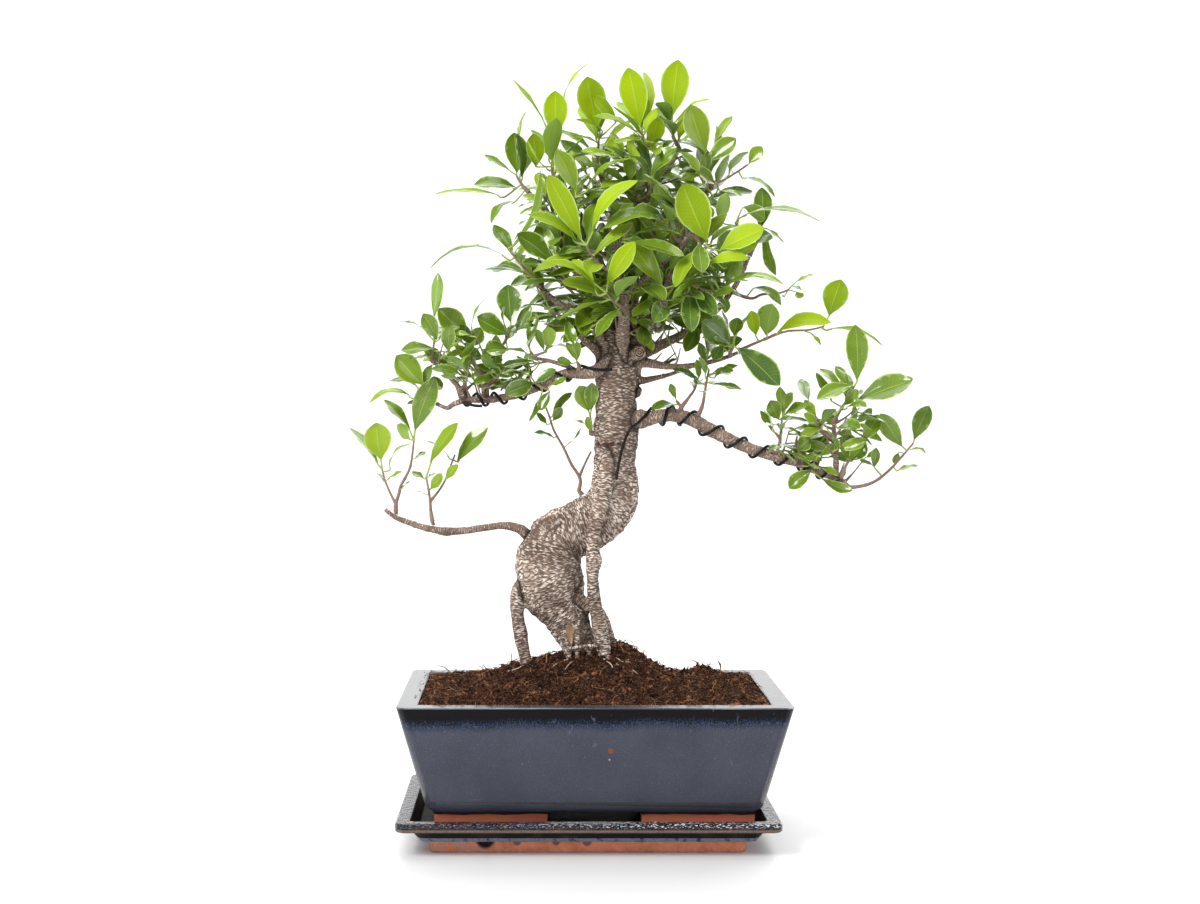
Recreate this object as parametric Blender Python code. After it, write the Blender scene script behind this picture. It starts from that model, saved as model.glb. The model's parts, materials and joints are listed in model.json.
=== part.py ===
"""A trained fig tree in a glazed bonsai bowl on its drip tray.

Lengths are millimetres; they become metres when a mesh is stored. Points of limbs, stems and leaves
are given as (x, y, z): x and z as the photograph shows them in the plane of the trunk, y the depth
behind that plane. seen() turns such a point into its true place.
"""

import math
import random

import bmesh
import bpy
from mathutils import Matrix, Vector, noise
from mathutils.bvhtree import BVHTree

MM = 0.001
GAP = 0.3

# Where the photograph was taken from
EYE_X = -44.0
EYE_Z = 440.0
EYE_DISTANCE = 2000.0

# Drip tray: each row is half width, half depth, corner radius and height
TRAY_OUTSIDE = (
    (150.0, 94.0, 8.0, 0.0),
    (151.0, 95.0, 8.0, 1.0),
    (151.0, 95.0, 8.0, 12.0),
    (160.5, 104.0, 9.0, 12.0),
    (163.0, 106.5, 9.0, 16.0),
    (169.5, 112.5, 10.0, 24.6),
    (182.0, 124.5, 10.0, 24.6),
    (182.5, 125.0, 10.0, 26.0),
    (182.5, 125.0, 10.0, 31.8),
    (181.3, 123.8, 9.0, 33.0),
)
TRAY_INSIDE = (
    (169.3, 111.8, 8.0, 33.0),
    (168.0, 110.5, 8.0, 31.8),
    (163.5, 106.0, 8.0, 21.0),
    (162.3, 104.8, 8.0, 20.0),
)
TRAY_FLOOR = 20.0

# Bowl
BOWL_X = 6.0
BOWL_OUTSIDE = (
    (150.0, 92.5, 10.0, 38.0),
    (156.5, 99.0, 11.0, 39.5),
    (160.5, 103.0, 12.0, 43.5),
    (162.8, 105.3, 12.0, 50.0),
    (187.0, 129.5, 10.0, 141.0),
    (187.5, 130.0, 10.0, 141.9),
    (186.4, 128.9, 9.0, 143.0),
)
BOWL_INSIDE = (
    (169.4, 111.9, 6.0, 143.0),
    (168.0, 110.5, 6.0, 141.6),
    (152.0, 94.5, 8.0, 51.0),
    (149.0, 91.5, 8.0, 48.0),
)
BOWL_FLOOR = 48.0
FOOT_SPAN = (44.0, 153.5)
FOOT_DEPTH = (58.0, 96.0)
FOOT_TAPER = 2.0
DRAIN_RADIUS = 11.0
DRAIN_X = 82.0
SCREEN_SIDE = 44.0
SCREEN_THICK = 1.5
CORNER_STEPS = 3

# Soil
SOIL_EDGE = 141.0
SOIL_RINGS = (1.0, 0.88, 0.68, 0.48, 0.3, 0.14)
SOIL_PEAK = (22.0, 6.0)
SOIL_MOUNDS = ((-20.0, 0.0, 60.0, 60.0, 32.0), (38.0, 12.0, 29.0, 30.0, 23.0))
SOIL_LUMPS = 1.6

# Trunk, aerial roots and limbs: each row is x, y, z and radius
TRUNK_FLAT = 0.88
LIMBS = {
    "trunk": (
        (32, 0, 503, 9), (31.5, 0, 498, 16), (31, 0, 487, 20.5), (31.5, 0, 470, 23.5), (32, 0, 450, 23.3), (30, 0, 428, 20.6),
        (31, 0, 408, 23), (29.5, 0, 390, 22.6), (28.5, 0, 371, 20.6), (29, 0, 352, 23),
        (28, 0, 336, 25.5), (18, 0, 318, 27), (-3, 0, 304, 27.5), (-28, 0, 291, 29.7),
        (-37, 0, 269, 33.5), (-36, 0, 252, 34), (-31, 0, 236, 32), (-22, 0, 219, 24.5),
        (-16, 0, 206, 21.5), (-9, 0, 190, 18.5), (-5, 0, 176, 17), (-4, 0, 150, 15.5),
        (-4, 0, 116, 13),
    ),
    "front_root": (
        (22, -17, 382, 4.5), (21, -22, 364, 7.5), (19, -25, 346, 8.5), (15, -27, 328, 8.5),
        (10, -29, 312, 8), (7, -28, 296, 7), (7, -26, 282, 6.8), (8, -25, 270, 8),
        (6.5, -24, 258, 6.2), (7, -22, 243, 6.3), (9, -20, 228, 6.8), (12, -19, 212, 7.2),
        (15, -18, 196, 7.6), (17.5, -17, 182, 7.2), (18.5, -17, 168, 5.8), (19, -17, 140, 4),
    ),
    "left_root": (
        (-60, -2, 250, 11), (-67, -3, 235, 9), (-69, -4, 222, 7), (-67.5, -5, 208, 6.8),
        (-65, -6, 194, 7.2), (-62.5, -6, 180, 6.3), (-60, -6, 166, 5.8), (-59.5, -6, 136, 4.5),
    ),
    "thin_root_a": ((-25, -14, 214, 4), (-21, -17, 200, 2.8), (-17.5, -18, 186, 2.4), (-16.5, -18, 158, 2)),
    "thin_root_b": ((-8, -14, 216, 4), (-9, -19, 202, 2.8), (-9, -20, 186, 2.4), (-9, -20, 160, 2)),
    "right_root": ((0, -6, 232, 8), (16, -5, 214, 5.4), (22, -3, 201, 4.4), (26, -2, 190, 3.4), (30, -1, 162, 2.2)),
    "back_root": ((-12, 12, 222, 8), (-7, 20, 200, 6.4), (-2, 25, 182, 5.2), (0, 27, 148, 4.2)),
    "surface_root": ((-18, -17, 182, 1.9), (-10, -25, 183, 1.8), (2, -27, 184.5, 1.8), (15, -21, 184, 2.2)),
    "cut_stub": ((48, -6, 477, 9), (52, -18, 477.5, 7.4), (53.5, -25, 478, 7)),
    "right_knob": ((44, 0, 441, 10), (51, 0, 439, 8), (55.5, 0, 438, 4.5)),
    "low_left": (
        (-48, -2, 280, 8), (-60, -4, 297, 6), (-70, -6, 303, 4.8), (-84, -8, 305, 4),
        (-100, -10, 303, 3.7), (-118, -12, 300.3, 3.8), (-133, -12, 299.3, 4), (-139, -12, 299, 4.7),
        (-147, -12, 300, 4), (-162, -12, 303, 3.4), (-180, -12, 309, 3), (-191, -12, 313.5, 2.6),
        (-201, -12, 321, 2),
    ),
    "middle_left": (
        (28, -12, 468, 8), (12, -18, 460, 6.8), (-2, -20, 457, 6), (-20, -22, 457, 5.4),
        (-34, -24, 451, 5), (-50, -26, 443, 5), (-66, -26, 437, 4.7), (-82, -26, 433, 4),
        (-96, -26, 431, 4.2), (-112, -26, 431, 3.8), (-122, -26, 430, 3.4), (-133, -26, 426, 2.8),
        (-139, -26, 422.5, 2.3), (-150, -26, 427, 1.8),
    ),
    "middle_left_upper": ((-10, -21.5, 458, 3.8), (-17, -23, 463.5, 3), (-25, -24.5, 466.3, 2.4), (-38, -27, 470, 2), (-49, -29, 472, 1.7)),
    "pad_stem_outer": ((-121, -26, 430, 3.2), (-126, -28, 441, 2.8), (-135, -30, 452, 2.5), (-144, -31, 461, 2.1), (-152, -32, 468, 1.7)),
    "pad_stem_back": ((-119, -25, 430, 2.8), (-121, -20, 443, 2.3), (-121, -17, 456, 2), (-118, -15, 466, 1.7)),
    "pad_stem_inner": ((-99.5, -26, 431, 3), (-99, -27, 443, 2.4), (-99, -28, 455, 2), (-98, -28, 467, 1.7)),
    "pad_stem_front": ((-102, -27, 431, 2.6), (-103, -30, 443, 2), (-104, -35, 455, 1.8), (-106, -38, 466, 1.6)),
    "right_branch": (
        (38, -6, 408, 13), (52, -9, 411, 10.4), (62, -11, 412, 8.2), (72, -12, 414, 7.2),
        (84, -13, 415.5, 7), (96, -14, 414, 6.8), (108, -15, 410, 6.8), (122, -16, 402, 6.8),
        (136, -17, 394.5, 6.5), (150, -18, 388, 6), (164, -19, 382, 5.8), (178, -20, 377.5, 5.8),
        (192, -21, 373.5, 5.6), (206, -22, 370, 5.4), (220, -23, 365.5, 5.2), (232, -24, 360, 5),
        (242, -24, 356.5, 4.8), (252, -24, 351, 4.4), (259, -24, 346, 3.2),
    ),
    "right_stem": ((249.5, -24, 352, 3.6), (250, -27, 367, 2.9), (249, -29, 384, 2.7), (248, -30, 397, 2.3), (248, -31, 407, 1.8)),
    "leader": ((34, 2, 474, 17), (41, 4, 508, 10), (46, 6, 545, 7.4), (50, 4, 585, 5.8), (54, 0, 625, 4.4), (58, -4, 655, 3.2), (61, -6, 680, 2.2)),
    "upper_left": ((24, 0, 474, 13), (14, -6, 505, 8.2), (2, -12, 530, 6), (-8, -16, 556, 4.6), (-17, -18, 585, 3.6), (-25, -18, 612, 2.9), (-31, -18, 640, 2.1)),
    "left_arch": ((4, -11, 527, 4.4), (-20, -20, 524, 3.2), (-36, -24, 534, 2.8), (-47, -26, 545, 2.3)),
    "left_out": ((-16, -18, 580, 3.6), (-30, -12, 605, 2.8), (-44, -8, 624, 2.4), (-57, -6, 638, 1.9)),
    "low_bare": ((14, -4, 478, 6.5), (0, -9, 489, 3.6), (-9, -12, 498, 2.8), (-16, -14, 507, 2)),
    "right_up": ((48, -2, 480, 10), (64, -10, 506, 6), (75, -22, 526, 4.4), (83, -32, 552, 3.5), (92, -38, 580, 2.6)),
    "right_far": ((52, 6, 476, 8), (78, 14, 487, 5.2), (105, 18, 501, 4.2), (130, 18, 520, 3.5), (150, 14, 546, 2.9), (163, 10, 574, 2.1)),
    "right_low": ((50, -6, 470, 6.5), (84, -12, 464, 3.4), (112, -14, 466, 2.8), (138, -16, 472.5, 2.3), (152, -17, 478, 1.8)),
    "right_thin": ((48, 6, 448, 4.5), (80, 10, 455, 2.3), (100, 12, 462, 2), (112, 13, 466, 1.7)),
    "back": ((30, 10, 474, 11), (27, 32, 515, 7), (18, 52, 550, 5), (10, 64, 586, 3.8), (4, 70, 618, 2.4)),
    "back_right": ((42, 12, 476, 9.5), (62, 38, 518, 6), (84, 56, 552, 4.4), (104, 66, 584, 3.3), (114, 68, 612, 2.3)),
    "front": ((34, -10, 478, 9.5), (38, -34, 512, 5.6), (36, -52, 542, 4.2), (30, -64, 574, 2.8), (26, -70, 600, 2)),
    "front_right": ((43, -4, 534, 6.5), (68, -34, 560, 4), (92, -54, 582, 3), (108, -62, 602, 2.1)),
    "top_left": ((50, 3, 592, 5), (28, 14, 628, 3.4), (12, 18, 660, 2.2)),
    "top_right": ((54, 0, 626, 4.6), (78, 10, 654, 3.2), (92, 12, 680, 2.2)),
    "far_right_up": ((50, 6, 572, 6), (84, 18, 600, 4), (108, 16, 622, 3), (124, 8, 642, 2)),
    "back_top": ((47, 6, 556, 6), (52, 38, 600, 4), (56, 52, 640, 2.9), (60, 56, 668, 2)),
}
LIMB_SIDES = {"trunk": 14, "front_root": 8, "left_root": 8}
THIN_LIMB = 4.3
BURIED = ("trunk", "front_root", "left_root", "thin_root_a", "thin_root_b", "right_root", "back_root")
HOLE_CLEARANCE = 0.4

# Training wires: where along the limb the wire crosses its front, and which way it climbs there
WIRE_RADIUS = 1.5
WIRE_POINTS_PER_TURN = 6
WIRES = {
    "wire_right_branch": {
        "limb": "right_branch",
        "lead": ((30, -31.5, 351), (32.5, -28.5, 365), (36, -27, 381), (43, -27.5, 400), (50, -23, 411)),
        "front": (62, 80, 100, 126, 150, 174, 200, 222, 239, 252),
        "tail": ((253, -32, 342), (256, -33, 338)),
    },
    "wire_middle_left": {
        "limb": "middle_left",
        "lead": ((26, -27, 461), (16, -28, 458)),
        "front": (4, -26, -50, -69, -87, -105, -124),
        "tail": ((-112, -34, 425), (-104, -35, 424.5)),
    },
}

# Leaves
BLADE_THICK = 1.2
PETIOLE_HALF = 0.9
ROOT_DEPTH = 0.35
LONGEST_STALK = 21.0
LARGE_BLADE = ((0.2, 0.72), (0.52, 1.02), (0.82, 0.62))
SMALL_BLADE = ((0.3, 0.98), (0.7, 0.92))
TINY_BLADE = ((0.48, 1.0),)
SMALL_LENGTH = 48.0
TINY_LENGTH = 27.0
END_FACES = 3
RING_FACES = 6
CLEARANCE = 0.5
STEM_GAP = 0.55
CROWN_CENTRE = Vector((42.0, 0.0, 590.0))
CROWN_REACH = Vector((150.0, 128.0, 160.0))
TONES = {
    "bright": (0.36, 0.56, 0.05),
    "mid": (0.17, 0.36, 0.05),
    "dark": (0.06, 0.2, 0.06),
}

# Leafy sprays. "stems": the first grows from the limb, the others from a stem before it.
# "leaves": base x and z, tip x and z, width, roll (0 faces the viewer, 90 faces up), arch, tip depth.
SPRAYS = {
    "low_left_outer": {
        "limb": "low_left", "tone": "mid", "fill": 0,
        "stems": (
            ((-190, -12, 318), (-190, -13, 327), (-187, -15, 337), (-185, -16, 345), (-179, -17, 356), (-175, -18, 367), (-172, -19, 391)),
            ((-190, -13, 326), (-196, -11, 338), (-201, -9, 350), (-204, -8, 362)),
        ),
        "leaves": (
            (-205, 371, -210, 408, 27, 8, 0.05, -4),
            (-208, 368, -236, 403, 15, 62, 0.06, 16),
            (-171, 400, -151, 453, 22, 25, 0.06, -10),
            (-176, 402, -202, 431, 15, 52, 0.08, 6),
            (-176, 391, -189, 406, 14, 150, 0.05, 12),
            (-197, 361, -174, 387, 11, 82, 0.22, -8),
            (-198, 352, -184, 359, 7, 60, 0.05, -8),
            (-200, 350, -209, 358, 6, 60, 0.05, 8),
            (-171, 372, -160, 379, 6, 40, 0.05, 10),
            (-186, 340, -175, 350, 4, 70, 0.05, 8),
        ),
    },
    "low_left_inner": {
        "limb": "low_left", "tone": "mid", "fill": 0,
        "stems": (
            ((-153, -12, 307), (-155, -13, 318), (-156, -14, 331), (-158, -16, 344), (-160, -17, 354)),
            ((-155, -14, 329), (-147, -12, 340), (-141, -11, 350), (-136, -10, 363), (-131, -10, 376)),
        ),
        "leaves": (
            (-156, 368, -128, 408, 16, 35, 0.05, -8),
            (-156, 341, -144, 357, 11, 20, 0.03, -8),
            (-162, 352, -174, 359, 8, 40, 0.03, 8),
            (-157, 353, -150, 358, 6, 60, 0.03, 9),
            (-140, 350, -128, 366, 10, 30, 0.04, -6),
            (-129, 369, -98, 403, 20, 40, 0.12, -6),
            (-136, 372, -166, 391, 6, 80, 0.12, 10),
            (-160, 336, -170, 339, 3.5, 80, 0.1, 3),
        ),
    },
    "pad_low": {
        "limb": "middle_left", "tone": "mid", "fill": 2,
        "stems": (((-153, -27, 428), (-160, -29, 438), (-163, -31, 447)),),
        "leaves": (
            (-160, 447, -190, 475, 26, 22, 0.05, -12),
            (-173, 433, -217, 427, 14, 66, 0.27, -6),
            (-170, 446, -143, 447, 15, 40, 0.06, 12),
            (-166, 430, -179, 427, 7, 60, 0.05, 6),
            (-163, 452, -186, 450, 8, 75, 0.04, 12),
        ),
    },
    "pad_outer": {
        "limb": "pad_stem_outer", "tone": "mid", "fill": 2,
        "stems": (((-155, -33, 472), (-153, -34, 481), (-152, -35, 490)),),
        "leaves": (
            (-151, 482, -185, 480, 17, 45, 0.12, -6),
            (-163, 503, -191, 508, 7, 75, 0.12, 6),
            (-152, 513, -148, 558, 13, 200, 0.04, 8),
            (-148, 490, -163, 517, 16, 8, 0.05, -8),
            (-152, 474, -172, 472, 9, 60, 0.05, 12),
            (-152, 468, -162, 446, 15, 30, 0.05, 14),
            (-138, 476, -136, 505, 15, 15, 0.04, -14),
        ),
    },
    "pad_middle": {
        "limb": "pad_stem_back", "tone": "mid", "fill": 3,
        "stems": (((-117, -13, 471), (-118, -12, 480), (-119, -12, 487)),),
        "leaves": (
            (-118, 489, -148, 522, 25, 25, 0.08, -6),
            (-115, 500, -99, 534, 6, 85, 0.12, 10),
            (-114, 484, -105, 503, 15, 10, 0.04, -10),
            (-116, 472, -128, 482, 12, 30, 0.04, -12),
            (-113, 484, -126, 505, 13, 25, 0.05, -12),
        ),
    },
    "pad_inner": {
        "limb": "pad_stem_inner", "tone": "dark", "fill": 3,
        "stems": (((-97, -28, 471), (-90, -30, 478), (-80, -32, 490), (-76, -33, 503)),),
        "leaves": (
            (-74, 495, -109, 514, 24, 35, 0.06, -12),
            (-75, 508, -78, 546, 25, 6, 0.05, 10),
            (-66, 482, -101, 480, 22, 42, 0.14, -14),
            (-93, 479, -90, 466, 13, 10, 0.02, -6),
            (-70, 498, -55, 525, 12, 18, 0.04, 8),
        ),
    },
    "pad_root_low": {
        "limb": "middle_left", "tone": "dark", "fill": 1,
        "stems": (((-49, -34, 446), (-52, -38, 448)), ((-50, -36, 446), (-44, -40, 443), (-38, -41, 441))),
        "leaves": (
            (-53, 448, -81, 437, 17, 40, 0.12, -8),
            (-52, 446, -30, 461, 14, 45, 0.06, -8),
            (-44, 440, -57, 409, 7, 40, -0.1, -6),
            (-36, 440, -46, 420, 12, 25, 0.05, -5),
            (-35, 446, -20, 452, 9, 40, 0.03, -8),
        ),
    },
    "pad_root_high": {
        "limb": "middle_left_upper", "tone": "mid", "fill": 2,
        "stems": (((-52, -30, 473), (-56, -32, 480)), ((-53, -31, 474), (-45, -34, 477), (-39, -34, 479))),
        "leaves": (
            (-57, 484, -50, 518, 11, 20, 0.04, 6),
            (-54, 470, -84, 464, 12, 50, 0.05, -10),
            (-60, 488, -50, 496, 10, 30, 0.04, -12),
            (-38, 482, -38, 504, 15, 12, 0.05, -6),
            (-42, 481, -50, 501, 10, 30, 0.04, -10),
        ),
    },
    "limb_leaves": {
        "limb": "middle_left", "tone": "mid", "fill": 0,
        "stems": (((-7, -24, 465), (-9, -25, 469)),),
        "leaves": (
            (-9, 470, -11, 490, 12, 20, 0.04, -3),
            (-11, 468, -20, 488, 8, 30, 0.04, 6),
            (-14, 467, -29, 471, 9, 20, 0.04, -6),
        ),
    },
    "trunk_shoot": {
        "limb": "trunk", "tone": "mid", "fill": 0,
        "stems": (
            ((-7, 2, 340), (-6, 2, 352), (-15, 0, 367), (-22, -2, 382), (-32, -4, 400), (-36, -5, 412), (-40, -6, 423)),
            ((-6, 2, 354), (-1, 4, 367), (5, 6, 379)),
        ),
        "leaves": (
            (-32, 393, -52, 398, 9, 65, 0.12, -5),
            (-33, 410, -24, 423, 10, 15, 0.03, -5),
            (-34, 414, -14, 438, 9, 55, 0.14, 6),
            (-39, 406, -49, 418, 7, 30, 0.03, 6),
            (-21, 384, -4, 405, 3, 60, -0.08, 4),
        ),
    },
    "trunk_hearts": {
        "limb": "trunk", "tone": "mid", "fill": 0,
        "stems": (((4.5, -4, 397), (5, -5, 407), (4, -6, 415)),),
        "leaves": (
            (3, 419, -7, 445, 19, 6, 0.03, -2),
            (5, 420, 6, 448, 14, -14, 0.03, 2),
            (2, 403, -12, 410, 5, 70, 0.14, -3),
            (6, 400, 1, 414, 8, 20, 0.03, -8),
        ),
    },
    "right_shoot_a": {
        "limb": "right_branch", "tone": "mid", "fill": 3,
        "stems": (
            ((95, -14, 423), (102, -14, 432), (109, -13, 442), (111, -12, 450)),
            ((95, -14, 424), (90, -14, 430)),
        ),
        "leaves": (
            (90, 432, 84, 447, 8, 25, 0.03, -3),
            (113, 452, 110, 471, 9, 30, 0.03, -4),
            (112, 446, 108, 455, 6, 30, 0.03, -8),
        ),
    },
    "right_shoot_b": {
        "limb": "right_branch", "tone": "mid", "fill": 5,
        "stems": (((114, -17, 419), (117, -18, 428), (119, -19, 440), (121, -20, 452), (123, -21, 461)),),
        "leaves": (
            (128, 447, 156, 441, 9, 50, 0.06, -5),
            (128, 453, 152, 465, 11, 60, 0.15, -6),
            (120, 468, 113, 488, 10, 30, 0.04, -5),
        ),
    },
    "right_middle": {
        "limb": "right_branch", "tone": "mid", "fill": 3,
        "stems": (
            ((193, -22, 381), (194, -23, 391), (195, -24, 402), (196, -25, 412)),
            ((194, -23, 392), (189, -22, 398)),
        ),
        "leaves": (
            (186, 400, 174, 420, 9, 35, 0.04, -3),
            (193, 411, 184, 430, 16, 12, 0.04, -6),
            (198, 415, 222, 425, 15, 55, 0.16, -12),
            (197, 417, 194, 444, 12, 25, 0.04, 8),
            (200, 403, 216, 393, 8, 60, 0.14, -4),
            (198, 420, 206, 438, 11, 30, 0.04, -8),
        ),
    },
    "right_under": {
        "limb": "right_branch", "tone": "mid", "fill": 0,
        "stems": (((224, -28, 361), (225, -30, 360)),),
        "leaves": (
            (226, 360, 203, 342, 17, 30, 0.06, -5),
            (236, 352, 266, 340, 11, 50, -0.08, -5),
        ),
    },
    "right_inner_shoot": {
        "limb": "right_branch", "tone": "mid", "fill": 2,
        "stems": (((214, -24, 378), (210, -26, 386), (211, -29, 394)),),
        "leaves": (
            (212, 380, 224, 392, 15, 15, 0.05, -12),
            (214, 374, 236, 370, 10, 50, 0.1, -12),
        ),
    },
    "right_end_up": {
        "limb": "right_stem", "tone": "mid", "fill": 4,
        "stems": (((249, -32, 411), (254, -33, 420), (262, -34, 432), (268, -35, 444)),),
        "leaves": (
            (271, 450, 269, 506, 22, -12, 0.03, 6),
            (272, 431, 327, 452, 28, 38, 0.06, -10),
            (270, 447, 231, 431, 18, 40, 0.1, -14),
            (256, 427, 272, 441, 12, 20, 0.04, -8),
            (246, 430, 230, 458, 12, 40, 0.04, 6),
            (255, 440, 234, 462, 16, 60, 0.1, 12),
            (250, 403, 269, 403, 15, 45, 0.12, -8),
        ),
    },
    "right_end_left": {
        "limb": "right_stem", "tone": "mid", "fill": 3,
        "stems": (((244, -34, 394), (236, -37, 400), (230, -39, 408)),),
        "leaves": (
            (230, 411, 219, 431, 12, 30, 0.04, 8),
            (224, 430, 220, 452, 13, 15, 0.03, 14),
            (236, 402, 214, 395, 11, 45, 0.08, -4),
            (232, 408, 218, 417, 12, 40, 0.05, -4),
        ),
    },
    "right_side": {
        "limb": "right_branch", "tone": "mid", "fill": 1,
        "stems": (((257, -30, 356), (260, -32, 365), (269, -34, 378)),),
        "leaves": (
            (263, 370, 279, 389, 17, 20, 0.05, -6),
            (277, 390, 293, 416, 16, 18, 0.04, 5),
            (262, 372, 255, 392, 13, 25, 0.04, 8),
        ),
    },
    "right_far_tip": {
        "limb": "right_branch", "tone": "mid", "fill": 0,
        "stems": (
            ((264, -24, 343), (280, -23, 345.5), (292, -22, 351), (304, -21, 361), (316, -20, 374), (327, -19, 387)),
        ),
        "leaves": (
            (328, 391, 343, 425, 18, 20, 0.05, -4),
            (316, 384, 294, 417, 18, -12, 0.06, -6),
            (288, 363, 290, 383, 9, 15, 0.03, -4),
            (324, 381, 341, 376, 7, 60, 0.18, 5),
            (311, 360, 332, 365, 8, 60, 0.06, 5),
            (314, 381, 308, 367, 7, 30, 0.03, 6),
            (286, 366, 272, 371, 5, 60, 0.05, 5),
        ),
    },
    "crown_left_arch": {
        "limb": "left_arch", "tone": "mid", "fill": 3,
        "stems": (((-51, -27, 550), (-63, -30, 564), (-71, -32, 573), (-79, -33, 583)),),
        "leaves": (
            (-76, 571, -157, 561, 12, 72, 0.24, -10),
            (-56, 553, -102, 561, 13, 62, 0.1, 10),
            (-73, 586, -46, 660, 17, 62, -0.12, -14),
        ),
    },
    "crown_left_outer": {
        "limb": "left_out", "tone": "mid", "fill": 2,
        "stems": (((-62, -6, 643), (-67, -6, 650), (-70, -6, 656)),),
        "leaves": (
            (-70, 643, -112, 646, 20, 46, 0.14, -8),
            (-82, 634, -153, 637, 7, 76, 0.1, 10),
            (-72, 629, -95, 607, 13, 55, 0.24, -8),
            (-77, 661, -102, 676, 9, 40, 0.04, 4),
            (-69, 658, -72, 698, 23, 10, 0.04, -4),
            (-67, 690, -60, 724, 6, 70, 0.06, 10),
        ),
    },
    "crown_left_bare": {
        "limb": "low_bare", "tone": "mid", "fill": 3,
        "stems": (((-20, -15, 511), (-28, -17, 516), (-36, -18, 519)),),
        "leaves": (
            (-38, 522, -67, 522, 11, 66, 0.16, -8),
            (-48, 545, -62, 540, 9, 60, 0.1, 6),
        ),
    },
    "crown_left_middle": {
        "limb": "upper_left", "tone": "dark", "fill": 4,
        "stems": (((-14, -24, 542), (-22, -34, 554), (-31, -42, 566)),),
        "leaves": (
            (-33, 569, -69, 597, 24, 30, 0.07, -8),
            (-30, 572, -50, 604, 20, 25, 0.05, 14),
        ),
    },
    "crown_front_left": {
        "limb": "front", "tone": "bright", "fill": 4,
        "stems": (((22, -62, 560), (8, -68, 572), (0, -72, 586)),),
        "leaves": (
            (-5, 592, -38, 656, 22, 14, 0.06, -6),
            (-9, 589, -58, 616, 18, 50, 0.14, -12),
            (6, 600, 52, 650, 18, 44, 0.2, -12),
            (8, 576, 47, 607, 12, 60, 0.14, 4),
        ),
    },
    "crown_front_low": {
        "limb": "front", "tone": "bright", "fill": 4,
        "stems": (((36, -60, 524), (27, -68, 530), (20, -72, 538)),),
        "leaves": (
            (13, 536, -45, 569, 13, 62, 0.2, -10),
            (21, 546, 49, 589, 18, 12, 0.06, -10),
            (8, 548, -14, 571, 13, 20, 0.05, 10),
        ),
    },
    "crown_centre_left": {
        "limb": "upper_left", "tone": "mid", "fill": 4,
        "stems": (((-22, -28, 606), (-14, -40, 620), (-10, -48, 634)),),
        "leaves": (
            (-10, 640, -30, 681, 20, 12, 0.05, -6),
            (0, 640, 45, 672, 11, 66, 0.16, -8),
        ),
    },
    "crown_top_left": {
        "limb": "upper_left", "tone": "bright", "fill": 4,
        "stems": (((-32, -18, 648), (-34, -18, 664), (-32, -19, 684)),),
        "leaves": (
            (-31, 694, -31, 740, 24, -6, 0.04, -5),
            (-22, 737, 4, 769, 7, 70, 0.08, 8),
            (-41, 708, -74, 752, 9, 60, 0.05, 10),
            (-50, 663, -53, 697, 19, 12, 0.05, -10),
            (-36, 660, -58, 690, 9, 60, -0.08, -16),
        ),
    },
    "crown_top_middle": {
        "limb": "top_left", "tone": "bright", "fill": 4,
        "stems": (((11, 16, 667), (12, 12, 680), (13, 8, 693)),),
        "leaves": (
            (11, 703, 1, 754, 29, 8, 0.04, -6),
            (36, 702, 8, 735, 15, 25, 0.06, -12),
            (32, 694, -10, 711, 11, 60, 0.1, -16),
            (30, 706, 27, 678, 16, 8, 0.03, -16),
            (18, 684, -12, 694, 9, 64, 0.12, -18),
        ),
    },
    "crown_top": {
        "limb": "leader", "tone": "bright", "fill": 4,
        "stems": (((61, -7, 684), (58, -8, 692), (55, -9, 700)),),
        "leaves": (
            (54, 705, 42, 763, 27, -8, 0.04, -6),
            (60, 700, 62, 731, 11, 35, 0.04, 10),
            (55, 694, 70, 720, 12, 50, 0.05, 6),
            (66, 682, 72, 713, 18, 8, 0.03, -14),
            (64, 716, 60, 764, 14, 60, 0.1, 22),
        ),
    },
    "crown_top_right": {
        "limb": "top_right", "tone": "bright", "fill": 4,
        "stems": (((91, 10, 686), (87, 7, 696), (86, 5, 706)),),
        "leaves": (
            (86, 714, 92, 771, 28, 6, 0.03, -4),
            (92, 690, 105, 724, 16, 40, 0.05, -8),
            (92, 686, 111, 693, 9, 62, 0.2, -14),
            (88, 712, 78, 709, 8, 60, 0.1, 8),
            (100, 722, 122, 728, 8, 66, 0.1, 14),
        ),
    },
    "crown_right_top": {
        "limb": "far_right_up", "tone": "mid", "fill": 3,
        "stems": (
            ((124, 4, 646), (121, 0, 657), (119, -4, 669)),
            ((124, 5, 648), (134, 5, 649), (147, 2, 656), (162, 0, 666)),
        ),
        "leaves": (
            (120, 678, 104, 726, 26, 8, 0.05, -6),
            (130, 690, 146, 715, 13, 45, 0.05, 8),
            (124, 670, 150, 692, 19, 35, 0.08, -6),
            (118, 660, 119, 677, 13, 10, 0.02, -14),
            (133, 643, 109, 662, 16, 35, 0.1, -14),
            (163, 667, 176, 684, 14, 16, 0.04, -3),
            (157, 653, 189, 633, 11, 58, 0.18, -6),
            (146, 660, 140, 668, 5, 50, 0.03, 4),
            (134, 640, 157, 634, 9, 56, 0.1, 8),
        ),
    },
    "crown_right_front": {
        "limb": "front_right", "tone": "bright", "fill": 4,
        "stems": (((112, -66, 590), (117, -68, 580), (121, -70, 584)),),
        "leaves": (
            (121, 590, 97, 647, 34, 8, 0.06, -8),
            (134, 581, 178, 603, 28, 38, 0.08, -10),
            (122, 566, 163, 572, 15, 42, 0.2, -12),
            (137, 563, 172, 588, 14, 40, 0.05, 8),
        ),
    },
    "crown_right_edge": {
        "limb": "right_far", "tone": "mid", "fill": 3,
        "stems": (
            ((166, 8, 580), (172, 6, 590), (176, 4, 600)),
            ((165, 8, 581), (158, -2, 594), (149, -12, 608)),
        ),
        "leaves": (
            (178, 604, 190, 555, 14, -50, 0.14, -4),
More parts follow.
